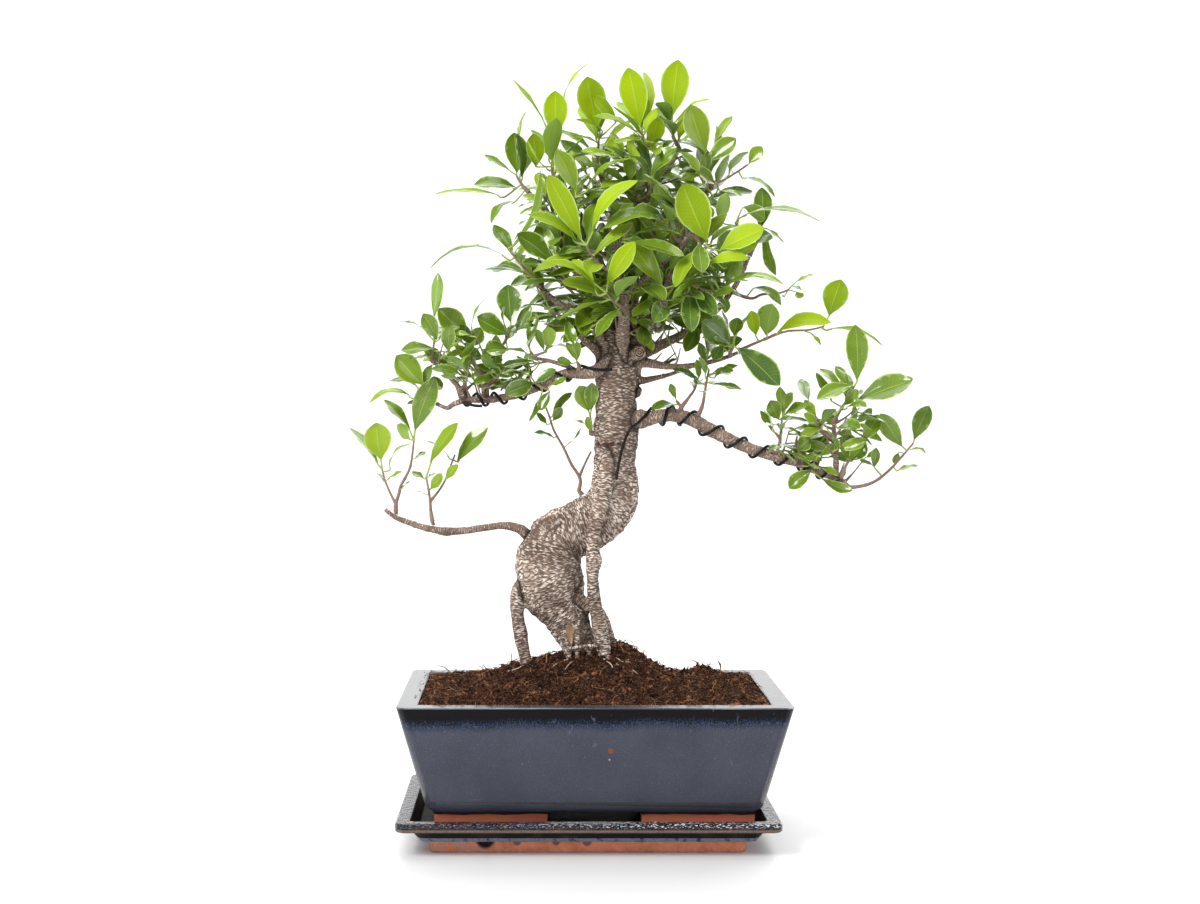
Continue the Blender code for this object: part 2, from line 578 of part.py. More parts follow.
            (176, 606, 198, 588, 9, 60, 0.05, 10),
            (150, 613, 234, 609, 13, 64, 0.15, -10),
            (150, 628, 180, 612, 18, 40, 0.1, 10),
            (132, 600, 140, 638, 15, 160, 0.04, -12),
        ),
    },
    "crown_right_lower": {
        "limb": "right_far", "tone": "mid", "fill": 4,
        "stems": (
            ((152, 6, 536), (166, 2, 532), (176, 0, 536), (192, -2, 537), (203, -3, 541)),
        ),
        "leaves": (
            (163, 546, 195, 525, 13, 54, 0.22, -8),
            (204, 544, 216, 540, 6, 60, 0.16, -4),
            (209, 548, 228, 557, 5, 60, 0.06, 4),
            (206, 530, 196, 535, 5, 60, 0.05, 5),
            (222, 520, 215, 532, 10, 20, 0.04, 8),
        ),
    },
    "crown_right_long": {
        "limb": "right_low", "tone": "bright", "fill": 1,
        "stems": (
            ((156, -19, 481), (166, -20, 486), (178, -22, 491), (190, -24, 497)),
            ((178, -22, 491), (200, -16, 499), (222, -10, 500.5), (238, -8, 504)),
        ),
        "leaves": (
            (191, 498, 245, 508, 19, 42, 0.2, -10),
            (243, 515, 255, 551, 25, 10, 0.05, -3),
            (240, 501, 297, 484, 9, 60, 0.16, 4),
            (180, 495, 186, 527, 24, 165, 0.04, 10),
            (222, 499, 235, 485, 8, 60, 0.1, -5),
            (170, 495, 165, 520, 14, 10, 0.03, -4),
        ),
    },
    "crown_right_dark": {
        "limb": "right_low", "tone": "dark", "fill": 5,
        "stems": (((144, -26, 477), (146, -34, 481), (148, -40, 485)),),
        "leaves": (
            (152, 483, 194, 445, 28, 26, 0.1, -12),
            (144, 487, 116, 510, 30, 22, 0.05, -12),
            (148, 495, 152, 513, 14, 10, 0.03, 8),
            (137, 485, 127, 471, 13, 12, 0.03, -6),
        ),
    },
    "crown_middle_right": {
        "limb": "right_up", "tone": "mid", "fill": 5,
        "stems": (((92, -42, 556), (106, -54, 546), (122, -62, 540), (133, -66, 541)),),
        "leaves": (
            (137, 543, 198, 546, 15, 62, 0.2, -8),
            (132, 552, 86, 531, 13, 62, 0.18, -12),
            (118, 530, 148, 541, 12, 48, 0.1, -14),
        ),
    },
    "crown_front_middle": {
        "limb": "right_up", "tone": "mid", "fill": 4,
        "stems": (((76, -34, 518), (80, -46, 522), (80, -54, 532), (77, -60, 543)),),
        "leaves": (
            (76, 547, 38, 597, 24, 22, 0.08, -12),
            (106, 501, 92, 532, 16, 10, 0.04, -8),
            (90, 546, 120, 570, 15, 35, 0.05, 8),
        ),
    },
    "crown_front_inner": {
        "limb": "right_up", "tone": "mid", "fill": 4,
        "stems": (((72, -8, 500), (76, -4, 504), (80, -6, 512)),),
        "leaves": (
            (70, 498, 50, 508, 12, 50, 0.14, -12),
            (103, 478, 80, 467, 10, 40, 0.06, -6),
        ),
    },
    "crown_thin_right": {
        "limb": "right_thin", "tone": "mid", "fill": 3,
        "stems": (((116, 13, 469), (124, 13, 474), (130, 12, 482)),),
        "leaves": (),
    },
    "crown_centre": {
        "limb": "leader", "tone": "dark", "fill": 5,
        "stems": (((60, -14, 628), (66, -26, 638), (66, -34, 650)),),
        "leaves": (
            (65, 656, 91, 684, 19, 42, 0.14, -8),
            (90, 683, 114, 660, 14, 40, 0.1, 6),
            (70, 650, 97, 652, 10, 60, 0.16, -10),
            (44, 650, 41, 674, 16, 30, 0.1, 6),
        ),
    },
    "crown_centre_front": {
        "limb": "front_right", "tone": "dark", "fill": 4,
        "stems": (((88, -62, 592), (84, -66, 602), (80, -68, 611)),),
        "leaves": (
            (78, 613, 18, 602, 20, 50, 0.2, -10),
            (84, 614, 70, 648, 15, 25, 0.05, 8),
        ),
    },
    "back_left_low": {
        "limb": "back", "tone": "mid", "fill": 4,
        "stems": (((0, 52, 528), (-18, 56, 542), (-34, 58, 556)), ((-18, 56, 542), (-22, 70, 562))),
        "leaves": (),
    },
    "back_left_high": {
        "limb": "back", "tone": "mid", "fill": 4,
        "stems": (((2, 72, 624), (-6, 76, 640), (-10, 78, 655)), ((-2, 74, 632), (-18, 80, 640))),
        "leaves": (),
    },
    "back_centre": {
        "limb": "back", "tone": "mid", "fill": 4,
        "stems": (((28, 62, 544), (38, 80, 562), (42, 92, 584)),),
        "leaves": (),
    },
    "back_right_low": {
        "limb": "back_right", "tone": "mid", "fill": 4,
        "stems": (((78, 62, 522), (96, 76, 532), (114, 82, 546)), ((96, 76, 532), (100, 92, 548))),
        "leaves": (),
    },
    "back_right_high": {
        "limb": "back_right", "tone": "mid", "fill": 5,
        "stems": (((116, 68, 617), (120, 66, 634), (118, 64, 650)), ((118, 67, 626), (134, 66, 638))),
        "leaves": (),
    },
    "back_crown": {
        "limb": "back_top", "tone": "mid", "fill": 4,
        "stems": (((60, 57, 673), (58, 56, 688), (54, 52, 704)), ((59, 57, 681), (74, 60, 692))),
        "leaves": (),
    },
    "back_upper_left": {
        "limb": "top_left", "tone": "mid", "fill": 3,
        "stems": (((18, 26, 642), (4, 40, 652), (-6, 46, 668)),),
        "leaves": (),
    },
}


def seen(x, y, z):
    """The true place of a point that the camera shows at x, z of the trunk's plane."""
    reach = 1 + y / EYE_DISTANCE
    return Vector((EYE_X + (x - EYE_X) * reach, y, EYE_Z + (z - EYE_Z) * reach))


def clear_scene():
    for obj in list(bpy.data.objects):
        bpy.data.objects.remove(obj, do_unlink=True)


def new_collection(name, hidden=False):
    collection = bpy.data.collections.new(name)
    collection.hide_render = hidden
    bpy.context.scene.collection.children.link(collection)
    return collection


def principled(name, colour, roughness):
    material = bpy.data.materials.new(name)
    material.use_nodes = True
    shader = material.node_tree.nodes["Principled BSDF"]
    shader.inputs["Base Color"].default_value = (*colour, 1.0)
    shader.inputs["Roughness"].default_value = roughness
    material.diffuse_color = (*colour, 1.0)
    return material


def mesh_of(name, points, faces):
    """A mesh in metres with its faces turned outwards."""
    mesh = bpy.data.meshes.new(name)
    mesh.from_pydata([point * MM for point in points], [], faces)
    work = bmesh.new()
    work.from_mesh(mesh)
    bmesh.ops.recalc_face_normals(work, faces=work.faces)
    work.to_mesh(mesh)
    work.free()
    return mesh


def place(name, mesh, material, collection):
    mesh.materials.clear()
    mesh.materials.append(material)
    mesh.name = name
    obj = bpy.data.objects.new(name, mesh)
    collection.objects.link(obj)
    return obj


def combine(name, base, others, operation, solver="EXACT"):
    """The base mesh joined with the others, or with the others taken away from it."""
    body = bpy.data.objects.new(name, base)
    bpy.context.scene.collection.objects.link(body)
    group = new_collection(name + "_group", hidden=True)
    for number, mesh in enumerate(others):
        other = bpy.data.objects.new(f"{name}_{number}", mesh)
        other.display_type = "WIRE"
        group.objects.link(other)
    modifier = body.modifiers.new("combine", "BOOLEAN")
    modifier.operation = operation
    modifier.operand_type = "COLLECTION"
    modifier.collection = group
    modifier.solver = solver
    bpy.context.view_layer.update()
    graph = bpy.context.evaluated_depsgraph_get()
    result = bpy.data.meshes.new_from_object(body.evaluated_get(graph))
    for obj in (body, *group.objects):
        bpy.data.objects.remove(obj, do_unlink=True)
    bpy.data.collections.remove(group)
    work = bmesh.new()
    work.from_mesh(result)
    bmesh.ops.triangulate(work, faces=work.faces)
    work.to_mesh(result)
    work.free()
    return result


def limb_samples(rows):
    """(point, radius) samples of a limb at its true place."""
    return [(seen(x, y, z), radius) for x, y, z, radius in rows]


def tube(name, samples, bevel, flat=1.0):
    """A closed tube along (point, radius) samples; bevel 1 gives six sides, each step two more."""
    curve = bpy.data.curves.new(name, "CURVE")
    curve.dimensions = "3D"
    curve.bevel_depth = MM
    curve.bevel_resolution = bevel
    curve.use_fill_caps = True
    spline = curve.splines.new("POLY")
    spline.points.add(len(samples) - 1)
    for knot, (point, radius) in zip(spline.points, samples):
        knot.co = (*(point * MM), 1.0)
        knot.radius = radius
    obj = bpy.data.objects.new(name, curve)
    bpy.context.scene.collection.objects.link(obj)
    bpy.context.view_layer.update()
    graph = bpy.context.evaluated_depsgraph_get()
    mesh = bpy.data.meshes.new_from_object(obj.evaluated_get(graph))
    bpy.data.objects.remove(obj, do_unlink=True)
    bpy.data.curves.remove(curve)
    work = bmesh.new()
    work.from_mesh(mesh)
    bmesh.ops.remove_doubles(work, verts=work.verts, dist=MM / 100)
    bmesh.ops.scale(work, vec=(1, flat, 1), verts=work.verts)
    bmesh.ops.recalc_face_normals(work, faces=work.faces)
    work.to_mesh(mesh)
    work.free()
    return mesh


def limb_bevel(name):
    """Bevel steps for a limb: more sides for the thick ones."""
    middle = LIMBS[name][len(LIMBS[name]) // 2][3]
    return LIMB_SIDES.get(name, 4 if middle < THIN_LIMB else 6) // 2 - 2


def rounded_ring(half_x, half_y, corner, along=(0, 0)):
    """Points round a rectangle with rounded corners, with extra points along its long and short sides."""
    ring = []
    for quarter, (side_x, side_y) in enumerate(((1, 1), (-1, 1), (-1, -1), (1, -1))):
        centre = Vector((side_x * (half_x - corner), side_y * (half_y - corner), 0))
        for step in range(CORNER_STEPS + 1):
            angle = math.radians(90 * (quarter + step / CORNER_STEPS))
            ring.append(centre + corner * Vector((math.cos(angle), math.sin(angle), 0)))
        extra = along[quarter % 2]
        turn = ring[-1].copy()
        reach = 2 * (half_x - corner) if quarter % 2 == 0 else 2 * (half_y - corner)
        heading = Vector(((-1, 0, 0), (0, -1, 0), (1, 0, 0), (0, 1, 0))[quarter])
        ring += [turn + heading * reach * (step + 1) / (extra + 1) for step in range(extra)]
    return ring


def loft(name, rings, domed=False):
    """A closed skin over rings of points that have the same count, from the underside to the top."""
    work = bmesh.new()
    rows = [[work.verts.new(point * MM) for point in ring] for ring in rings]
    for low, high in zip(rows, rows[1:]):
        for place_on in range(len(low)):
            work.faces.new((low[place_on - 1], low[place_on], high[place_on], high[place_on - 1]))
    work.faces.new(rows[0])
    top = work.faces.new(rows[-1])
    if domed:
        bmesh.ops.poke(work, faces=[top])
    bmesh.ops.recalc_face_normals(work, faces=work.faces)
    mesh = bpy.data.meshes.new(name)
    work.to_mesh(mesh)
    work.free()
    return mesh


def shell_of(name, profile, shift=0.0):
    """A loft of rounded rectangles from rows of half width, half depth, corner radius and height."""
    rings = []
    for half_x, half_y, corner, height in profile:
        rings.append([point + Vector((shift, 0, height)) for point in rounded_ring(half_x, half_y, corner)])
    return loft(name, rings)


def block(name, low, high, taper=0.0):
    """A box between two corners, narrower by the taper at its underside."""
    work = bmesh.new()
    bmesh.ops.create_cube(work, size=1.0)
    centre = (low + high) / 2
    size = high - low
    for vert in work.verts:
        narrow = taper if vert.co.z < 0 else 0.0
        vert.co = Vector((
            centre.x + vert.co.x * (size.x - 2 * narrow),
            centre.y + vert.co.y * (size.y - 2 * narrow),
            centre.z + vert.co.z * size.z,
        )) * MM
    mesh = bpy.data.meshes.new(name)
    work.to_mesh(mesh)
    work.free()
    return mesh


def upright(name, x, y, low, high, radius, sides):
    work = bmesh.new()
    middle = Matrix.Translation(Vector((x, y, (low + high) / 2)) * MM)
    bmesh.ops.create_cone(
        work, cap_ends=True, segments=sides, radius1=radius * MM, radius2=radius * MM,
        depth=(high - low) * MM, matrix=middle,
    )
    mesh = bpy.data.meshes.new(name)
    work.to_mesh(mesh)
    work.free()
    return mesh


def drip_tray():
    return shell_of("drip_tray", TRAY_OUTSIDE + TRAY_INSIDE)


def bowl():
    body = shell_of("bowl", BOWL_OUTSIDE + BOWL_INSIDE, BOWL_X)
    feet = []
    for side_x in (-1, 1):
        for side_y in (-1, 1):
            xs = sorted(BOWL_X + side_x * reach for reach in FOOT_SPAN)
            ys = sorted(side_y * reach for reach in FOOT_DEPTH)
            low = Vector((xs[0], ys[0], TRAY_FLOOR + GAP))
            high = Vector((xs[1], ys[1], BOWL_OUTSIDE[2][3]))
            feet.append(block("foot", low, high, FOOT_TAPER))
    body = combine("bowl", body, feet, "UNION")
    drains = [
        upright("drain", BOWL_X + side * DRAIN_X, 0, BOWL_OUTSIDE[0][3] - 5, BOWL_FLOOR + 5, DRAIN_RADIUS, 20)
        for side in (-1, 1)
    ]
    return combine("bowl", body, drains, "DIFFERENCE")


def drain_screen(side):
    """A plain pad with four square openings, laid over a drain hole."""
    centre = BOWL_X + side * DRAIN_X
    half = SCREEN_SIDE / 2
    low = BOWL_FLOOR + GAP
    plate = block("screen", Vector((centre - half, -half, low)), Vector((centre + half, half, low + SCREEN_THICK)))
    cutters = []
    for column in (-1, 1):
        for row in (-1, 1):
            at = Vector((centre + column * half * 0.45, row * half * 0.45, low))
            reach = Vector((half * 0.35, half * 0.35, SCREEN_THICK * 2))
            cutters.append(block("screen_cut", at - reach, at + reach))
    return combine("screen", plate, cutters, "DIFFERENCE")


def soil_height(x, y):
    height = SOIL_EDGE
    for centre_x, centre_y, spread_x, spread_y, rise in SOIL_MOUNDS:
        height += rise * math.exp(
            -(((x - centre_x) / spread_x) ** 2) / 2 - ((y - centre_y) / spread_y) ** 2 / 2
        )
    return height


def soil_body():
    """The planted soil: it fills the bowl and rises to a mound round the roots."""
    rings = []
    for half_x, half_y, corner, height in reversed(BOWL_INSIDE[1:]):
        lift = GAP if height == BOWL_FLOOR else 0.0
        top = min(height + lift, SOIL_EDGE - 1.0)
        shrink = (height - top) * 0.18 if height > SOIL_EDGE - 1.0 else 0.0
        outline = rounded_ring(half_x - GAP - shrink, half_y - GAP - shrink, corner, (4, 2))
        rings.append([point + Vector((BOWL_X, 0, top)) for point in outline])
    edge = rings[-1]
    peak = Vector((*SOIL_PEAK, 0))
    for share in SOIL_RINGS[1:]:
        ring = []
        for point in edge:
            flat = peak + (Vector((point.x, point.y, 0)) - peak) * share
            rise = (soil_height(flat.x, flat.y) - SOIL_EDGE) * (1 - share**5)
            lump = SOIL_LUMPS * noise.noise(flat * 0.09) * (1 - share**8) * 2
            ring.append(Vector((flat.x, flat.y, SOIL_EDGE + rise + lump)))
        rings.append(ring)
    return loft("soil", rings, domed=True)


def planted_soil(limbs):
    """The soil with a plain hole for each root that stands in it and a seat for each drain screen."""
    cutters = []
    for name in BURIED:
        wide = [(point, radius + HOLE_CLEARANCE) for point, radius in limbs[name] if point.z < 232]
        wide.append((wide[-1][0] + (wide[-1][0] - wide[-2][0]).normalized(), wide[-1][1]))
        cutters.append(tube("root_hole", wide, limb_bevel(name), TRUNK_FLAT if name == "trunk" else 1.0))
    half = SCREEN_SIDE / 2 + GAP
    for side in (-1, 1):
        centre = BOWL_X + side * DRAIN_X
        low = Vector((centre - half, -half, BOWL_FLOOR - 1))
        high = Vector((centre + half, half, BOWL_FLOOR + SCREEN_THICK + 2 * GAP))
        cutters.append(block("screen_seat", low, high))
    return combine("soil", soil_body(), cutters, "DIFFERENCE")


def wire_path(limb, plan):
    """Points of a wire that is led on, wound round the limb and ended by its tail."""
    crossings = plan["front"]
    heading = 1 if crossings[-1] > crossings[0] else -1
    path = [seen(*point) for point in plan["lead"]]
    shown = [point for point, _ in limb]
    for start, end in zip(crossings, crossings[1:]):
        for step in range(WIRE_POINTS_PER_TURN):
            share = step / WIRE_POINTS_PER_TURN
            target = start + (end - start) * share
            centre, radius, along = station(limb, target)
            side = Vector((0, -1, 0))
            side = (side - along * side.dot(along)).normalized()
            upward = along.cross(side) * -heading
            if upward.z < 0:
                upward = -upward
            angle = 2 * math.pi * share
            away = (radius + WIRE_RADIUS + GAP) / math.cos(math.pi / WIRE_POINTS_PER_TURN)
            path.append(centre + away * (side * math.cos(angle) + upward * math.sin(angle)))
    path += [seen(*point) for point in plan["tail"]]
    return path


def station(limb, shown_x):
    """Centre, radius and heading of the limb where the photograph shows it at shown_x."""
    best = None
    for (start, low), (end, high) in zip(limb, limb[1:]):
        first = EYE_X + (start.x - EYE_X) / (1 + start.y / EYE_DISTANCE)
        last = EYE_X + (end.x - EYE_X) / (1 + end.y / EYE_DISTANCE)
        if min(first, last) <= shown_x <= max(first, last) and first != last:
            share = (shown_x - first) / (last - first)
            best = (start.lerp(end, share), low + (high - low) * share, (end - start).normalized())
    return best


class Space:
    """What has been placed so far, so that a new piece can be bent clear of it."""

    def __init__(self):
        self.items = []

    def add(self, owner, kind, points, faces):
        centre = sum(points, Vector()) / len(points)
        reach = max((point - centre).length for point in points)
        self.items.append((owner, kind, centre, reach, BVHTree.FromPolygons(points, faces)))

    def add_mesh(self, owner, kind, mesh):
        points = [vert.co / MM for vert in mesh.vertices]
        self.add(owner, kind, points, [tuple(face.vertices) for face in mesh.polygons])

    def free(self, points, faces, ignore):
        centre = sum(points, Vector()) / len(points)
        reach = max((point - centre).length for point in points)
        tree = BVHTree.FromPolygons(points, faces)
        for owner, kind, other, other_reach, other_tree in self.items:
            if (owner, kind) in ignore or (other - centre).length > reach + other_reach:
                continue
            if tree.overlap(other_tree):
                return False
        return True


def section(centre, side, up, half, thick):
    """Left edge, right edge and keel of a leaf's cross-section."""
    return [centre - side * half, centre + side * half, centre - up * thick]


def leaf_shape(leaf, extra=0.0):
    """Points of a leaf: a stalk that starts inside its stem and a folded, arched blade."""
    run = leaf["tip"] - leaf["base"]
    length = run.length
    along = run / length
    up = (leaf["up"] - along * leaf["up"].dot(along)).normalized()
    side = along.cross(up)
    blade = TINY_BLADE if length < TINY_LENGTH else SMALL_BLADE if length < SMALL_LENGTH else LARGE_BLADE
    stalk = leaf["base"] - leaf["root"]
    bend = (stalk.normalized() + along).normalized()
    bend_side = bend.cross(up).normalized()
    points = [leaf["root"]]
    if stalk.length > LONGEST_STALK:
        start = leaf["root"] + stalk.normalized()
        points += section(start, bend_side, bend_side.cross(stalk).normalized(), 0.6, 0.9)
    points += section(
        leaf["base"], bend_side, bend_side.cross(bend), PETIOLE_HALF + extra / 2, 1.5 * PETIOLE_HALF + extra
    )
    for reach, share in blade:
        half = leaf["width"] / 2 * share + extra
        centre = leaf["base"] + along * length * reach + up * leaf["arch"] * length * 4 * reach * (1 - reach)
        points += section(centre + up * extra, side, up, half, BLADE_THICK + 2 * extra)
    points.append(leaf["tip"] + along * extra)
    return points


def leaf_faces(count):
    """Triangles over a leaf of this many points, the stalk's first."""
    faces = [(0, 1 + (k + 1) % 3, 1 + k) for k in range(END_FACES)]
    for ring in range(1, count - 4, 3):
        for k in range(3):
            a, b = ring + k, ring + (k + 1) % 3
            faces += [(a, b, b + 3), (a, b + 3, a + 3)]
    last = count - 4
    faces += [(last + k, last + (k + 1) % 3, count - 1) for k in range(END_FACES)]
    return faces


def leaf_parts(leaf, extra=0.0):
    """Points of a leaf with the triangles of its blade and those of its stalk."""
    points = leaf_shape(leaf, extra)
    faces = leaf_faces(len(points))
    rings = 1 if (leaf["base"] - leaf["root"]).length > LONGEST_STALK else 0
    stalk = END_FACES + RING_FACES * rings
    return points, faces[stalk:], faces[:stalk]


def leaf_fits(space, name, leaf):
    points, blade, stalk = leaf_parts(leaf, CLEARANCE)
    if not space.free(points, blade, ()):
        return False
    return space.free(points, stalk, {(name, "stem"), (name, "stalk")})


def keep_leaf(space, name, leaf, kept):
    points, blade, stalk = leaf_parts(leaf)
    space.add(name, "blade", points, blade)
    space.add(name, "stalk", points, stalk)
    kept.setdefault(name, []).append(leaf)


def closest(samples, point):
    """The nearest centre, radius, heading and whether it is the open end of a path."""
    best = None
    for index, ((start, low), (end, high)) in enumerate(zip(samples, samples[1:])):
        span = end - start
        share = max(0.0, min(1.0, (point - start).dot(span) / span.length_squared))
        centre = start.lerp(end, share)
        gap = (point - centre).length
        if best is None or gap < best[0]:
            at_end = index == len(samples) - 2 and share == 1.0
            best = (gap, centre, low + (high - low) * share, span.normalized(), at_end)
    return best[1:]


def stem_samples(rows, limb, skin, paths):
    """(point, radius) samples of a stem; the first of a spray starts just clear of its limb."""
    knots = [seen(*row) for row in rows]
    start_radius = 1.1
    if paths:
        knots[0] = attach(paths, knots[0])[0]
    else:
        centre, radius, along, at_end = closest(limb, knots[0])
        outward = along if at_end else (knots[0] - centre - along * (knots[0] - centre).dot(along)).normalized()
        surface = skin.ray_cast(centre + outward * radius * 3, -outward)[0]
        foot = surface + outward * STEM_GAP
        start_radius = min(1.7, radius * 0.85)
        knots = [foot, foot + outward * 2.2] + knots
    lengths = [0.0]
    for start, end in zip(knots, knots[1:]):
        lengths.append(lengths[-1] + (end - start).length)
    return [
        (knot, start_radius + (0.85 - start_radius) * length / lengths[-1])
        for knot, length in zip(knots, lengths)
    ]


def place_stems(space, name, plan, limb, wood):
    """The spray's stems, swung in depth until they are clear of what stands there."""
    skin = BVHTree.FromPolygons([vert.co / MM for vert in wood.vertices], [tuple(face.vertices) for face in wood.polygons])
    meshes, paths = [], []
    for number, rows in enumerate(plan["stems"]):
        for attempt in range(40):
            swing = (attempt + 1) // 2 * 1.5 * (-1) ** attempt
            last = len(rows) - 1 + (number == 0)
            swung = [
                (x, y + swing * (index + (number == 0)) / last, z) for index, (x, y, z) in enumerate(rows)
            ]
            samples = stem_samples(swung, limb, skin, paths)
            mesh = tube("stem", samples, 0)
            points = [vert.co / MM for vert in mesh.vertices]
            if space.free(points, [tuple(face.vertices) for face in mesh.polygons], {(name, "stem")}):
                break
        else:
            print(name, "stem", number, "found no clear place")
        meshes.append(mesh)
        paths.append(samples)
    for mesh in meshes:
        space.add_mesh(name, "stem", mesh)
    return meshes, paths


def attach(paths, point):
    """Where a stalk that reaches the point leaves the spray's stems."""
    found = [closest(path, point) for path in paths]
    centre, radius, along, at_end = min(found, key=lambda one: (one[0] - point).length)
    return centre - along * (radius if at_end else 0), radius


def given_leaf(paths, row):
    """A leaf at the place the photograph shows it."""
    base_x, base_z, tip_x, tip_z, width, roll, arch, depth = row
    rough = seen(base_x, paths[0][-1][0].y, base_z)
    centre, radius = attach(paths, rough)
    base = seen(base_x, centre.y - 1.0, base_z)
    tip = seen(tip_x, centre.y - 1.0 + depth, tip_z)
    along = (tip - base).normalized()
    forward = (base - centre).dot(along)
    if forward < 1.0:
        sideways = base - centre - along * forward
        if sideways.length < 3.0:
            sideways = Vector((0, -4, 0)) - along * along.dot(Vector((0, -4, 0)))
        base = centre + sideways + along
    run = tip - base
    across = Vector((-run.z, 0, run.x)).normalized()
    if across.z < 0 or abs(across.z) < 1e-3 and across.x > 0:
        across = -across
    angle = math.radians(roll)
    up = Vector((0, -1, 0)) * math.cos(angle) + across * math.sin(angle)
    inward = (centre - base).normalized()
    root = centre + inward * ROOT_DEPTH * radius
    return {"root": root, "base": base, "tip": tip, "up": up, "width": width, "arch": arch}


def place_given(space, name, plan, paths, kept, missed):
    for row in plan["leaves"]:
        for attempt in range(60):
            leaf = given_leaf(paths, row)
            shift = Vector((0, (attempt + 1) // 2 * 1.6 * (-1) ** attempt, 0))
            turn = (0, 14, -14, 28, -28)[attempt % 5]
            run = (leaf["tip"] - leaf["base"]).normalized()
            leaf["tip"] = leaf["tip"] + shift
            leaf["base"] = leaf["base"] + shift * 0.25
            leaf["up"] = Matrix.Rotation(math.radians(turn), 3, run) @ leaf["up"]
            if leaf_fits(space, name, leaf):
                keep_leaf(space, name, leaf, kept)
                break
        else:
            missed.append((name, row[:4]))


def in_envelope(name, tip):
    if not name.startswith(("crown", "back")):
        return True
    away = tip - CROWN_CENTRE
    reach = Vector((away.x / CROWN_REACH.x, away.y / CROWN_REACH.y, away.z / CROWN_REACH.z))
    return reach.length < 1 and tip.z > 462


def ruled_leaf(draw, name, path, turn, size):
    """A leaf set on the stem by the growth rule: turned round it, opened from it and bowed down."""
    total = sum((end[0] - start[0]).length for start, end in zip(path, path[1:]))
    travel = total * draw.uniform(0.3, 1.0)
    for (start, low), (end, high) in zip(path, path[1:]):
        step = (end - start).length
        if travel <= step:
            break
        travel -= step
    share = min(1.0, travel / step)
    centre, radius = start.lerp(end, share), low + (high - low) * share
    along = (end - start).normalized()
    radial = along.orthogonal().normalized()
    radial = Matrix.Rotation(turn, 3, along) @ radial
    opening = math.radians(draw.uniform(30, 72))
    outward = (centre - CROWN_CENTRE) / CROWN_REACH.x if name.startswith(("crown", "back")) else Vector()
    heading = along * math.cos(opening) + radial * math.sin(opening) + outward * 0.4
    heading.z += draw.uniform(-0.15, 0.2)
    heading.normalize()
    base = centre + heading * (radius + draw.uniform(4, 8))
    bowed = (heading + Vector((0, 0, -0.25))).normalized()
    length = draw.uniform(38, 54) * size
    up = Vector((0, -0.3, 0.8)) + radial * 0.45 + outward * 0.6
    up += Vector((draw.uniform(-0.4, 0.4), draw.uniform(-0.3, 0.3), 0))
    return {
        "root": centre - heading * ROOT_DEPTH * radius, "base": base, "tip": base + bowed * length,
        "up": up, "width": length * draw.uniform(0.34, 0.43), "arch": draw.uniform(0.06, 0.15),
    }


def place_ruled(space, name, plan, paths, kept):
    draw = random.Random(name)
    turn = draw.uniform(0, 2 * math.pi)
    fullness = 1.0 if name.startswith(("crown", "back")) else 0.62
    for number in range(plan["fill"]):
        for attempt in range(70):
            turn += math.radians(137.5)
            size = fullness * (1 - 0.4 * attempt / 70)
            leaf = ruled_leaf(draw, name, paths[number % len(paths)], turn, size)
            if in_envelope(name, leaf["tip"]) and leaf_fits(space, name, leaf):
                keep_leaf(space, name, leaf, kept)
                break


def spray_mesh(name, stems, leaves):
    pieces = []
    for leaf in leaves:
        points = leaf_shape(leaf)
        pieces.append(mesh_of("leaf", points, leaf_faces(len(points))))
    if len(stems) + len(pieces) == 1:
        return stems[0]
    return combine(name, stems[0], stems[1:] + pieces, "UNION", "MANIFOLD")


def build():
    clear_scene()
    tree = new_collection("fig_bonsai")
    glaze = (0.035, 0.04, 0.055)
    place("drip_tray", drip_tray(), principled("tray_glaze", (0.03, 0.025, 0.025), 0.25), tree)
    place("bowl", bowl(), principled("bowl_glaze", glaze, 0.35), tree)
    for side, name in ((-1, "drain_screen_left"), (1, "drain_screen_right")):
        place(name, drain_screen(side), principled(name, (0.02, 0.02, 0.02), 0.6), tree)

    limbs = {name: limb_samples(rows) for name, rows in LIMBS.items()}
    tubes = {}
    for name, samples in limbs.items():
        tubes[name] = tube(name, samples, limb_bevel(name), TRUNK_FLAT if name == "trunk" else 1.0)
    space = Space()
    for name, mesh in tubes.items():
        space.add_mesh(name, "wood", mesh)
    place("soil", planted_soil(limbs), principled("soil", (0.07, 0.03, 0.015), 0.95), tree)
    for name, plan in WIRES.items():
        path = wire_path(limbs[plan["limb"]], plan)
        mesh = tube(name, [(point, WIRE_RADIUS) for point in path], 0)
        space.add_mesh(name, "wire", mesh)
        place(name, mesh, principled(name, (0.01, 0.01, 0.012), 0.3), tree)

    stems, paths, kept, missed = {}, {}, {}, []
    for name, plan in SPRAYS.items():
        limb = plan["limb"]
        stems[name], paths[name] = place_stems(space, name, plan, limbs[limb], tubes[limb])
    for name, plan in SPRAYS.items():
        place_given(space, name, plan, paths[name], kept, missed)
    for name, plan in SPRAYS.items():
        place_ruled(space, name, plan, paths[name], kept)
    for name, plan in SPRAYS.items():
        mesh = spray_mesh(name, stems[name], kept.get(name, []))
        place("spray_" + name, mesh, principled("leaf_" + name, TONES[plan["tone"]], 0.4), tree)
    print(sum(map(len, kept.values())), "leaves;", "left out:", missed)

    wood = list(tubes.values())
    place("trunk", combine("trunk", wood[0], wood[1:], "UNION", "MANIFOLD"), principled("bark", (0.28, 0.2, 0.15), 0.8), tree)


build()
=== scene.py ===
"""Looks for the potted bonsai fig: bark, leaves, glaze, soil, wires and a plain pale stage.

Lengths are millimetres, as in the part's source, and become metres where a mesh is stored. Points of
limbs, stems and leaves are (x, y, z): x and z as the photograph shows them in the plane of the trunk,
y the depth behind that plane. seen() turns such a point into its true place.
"""

import json
import math
import random
from collections import namedtuple

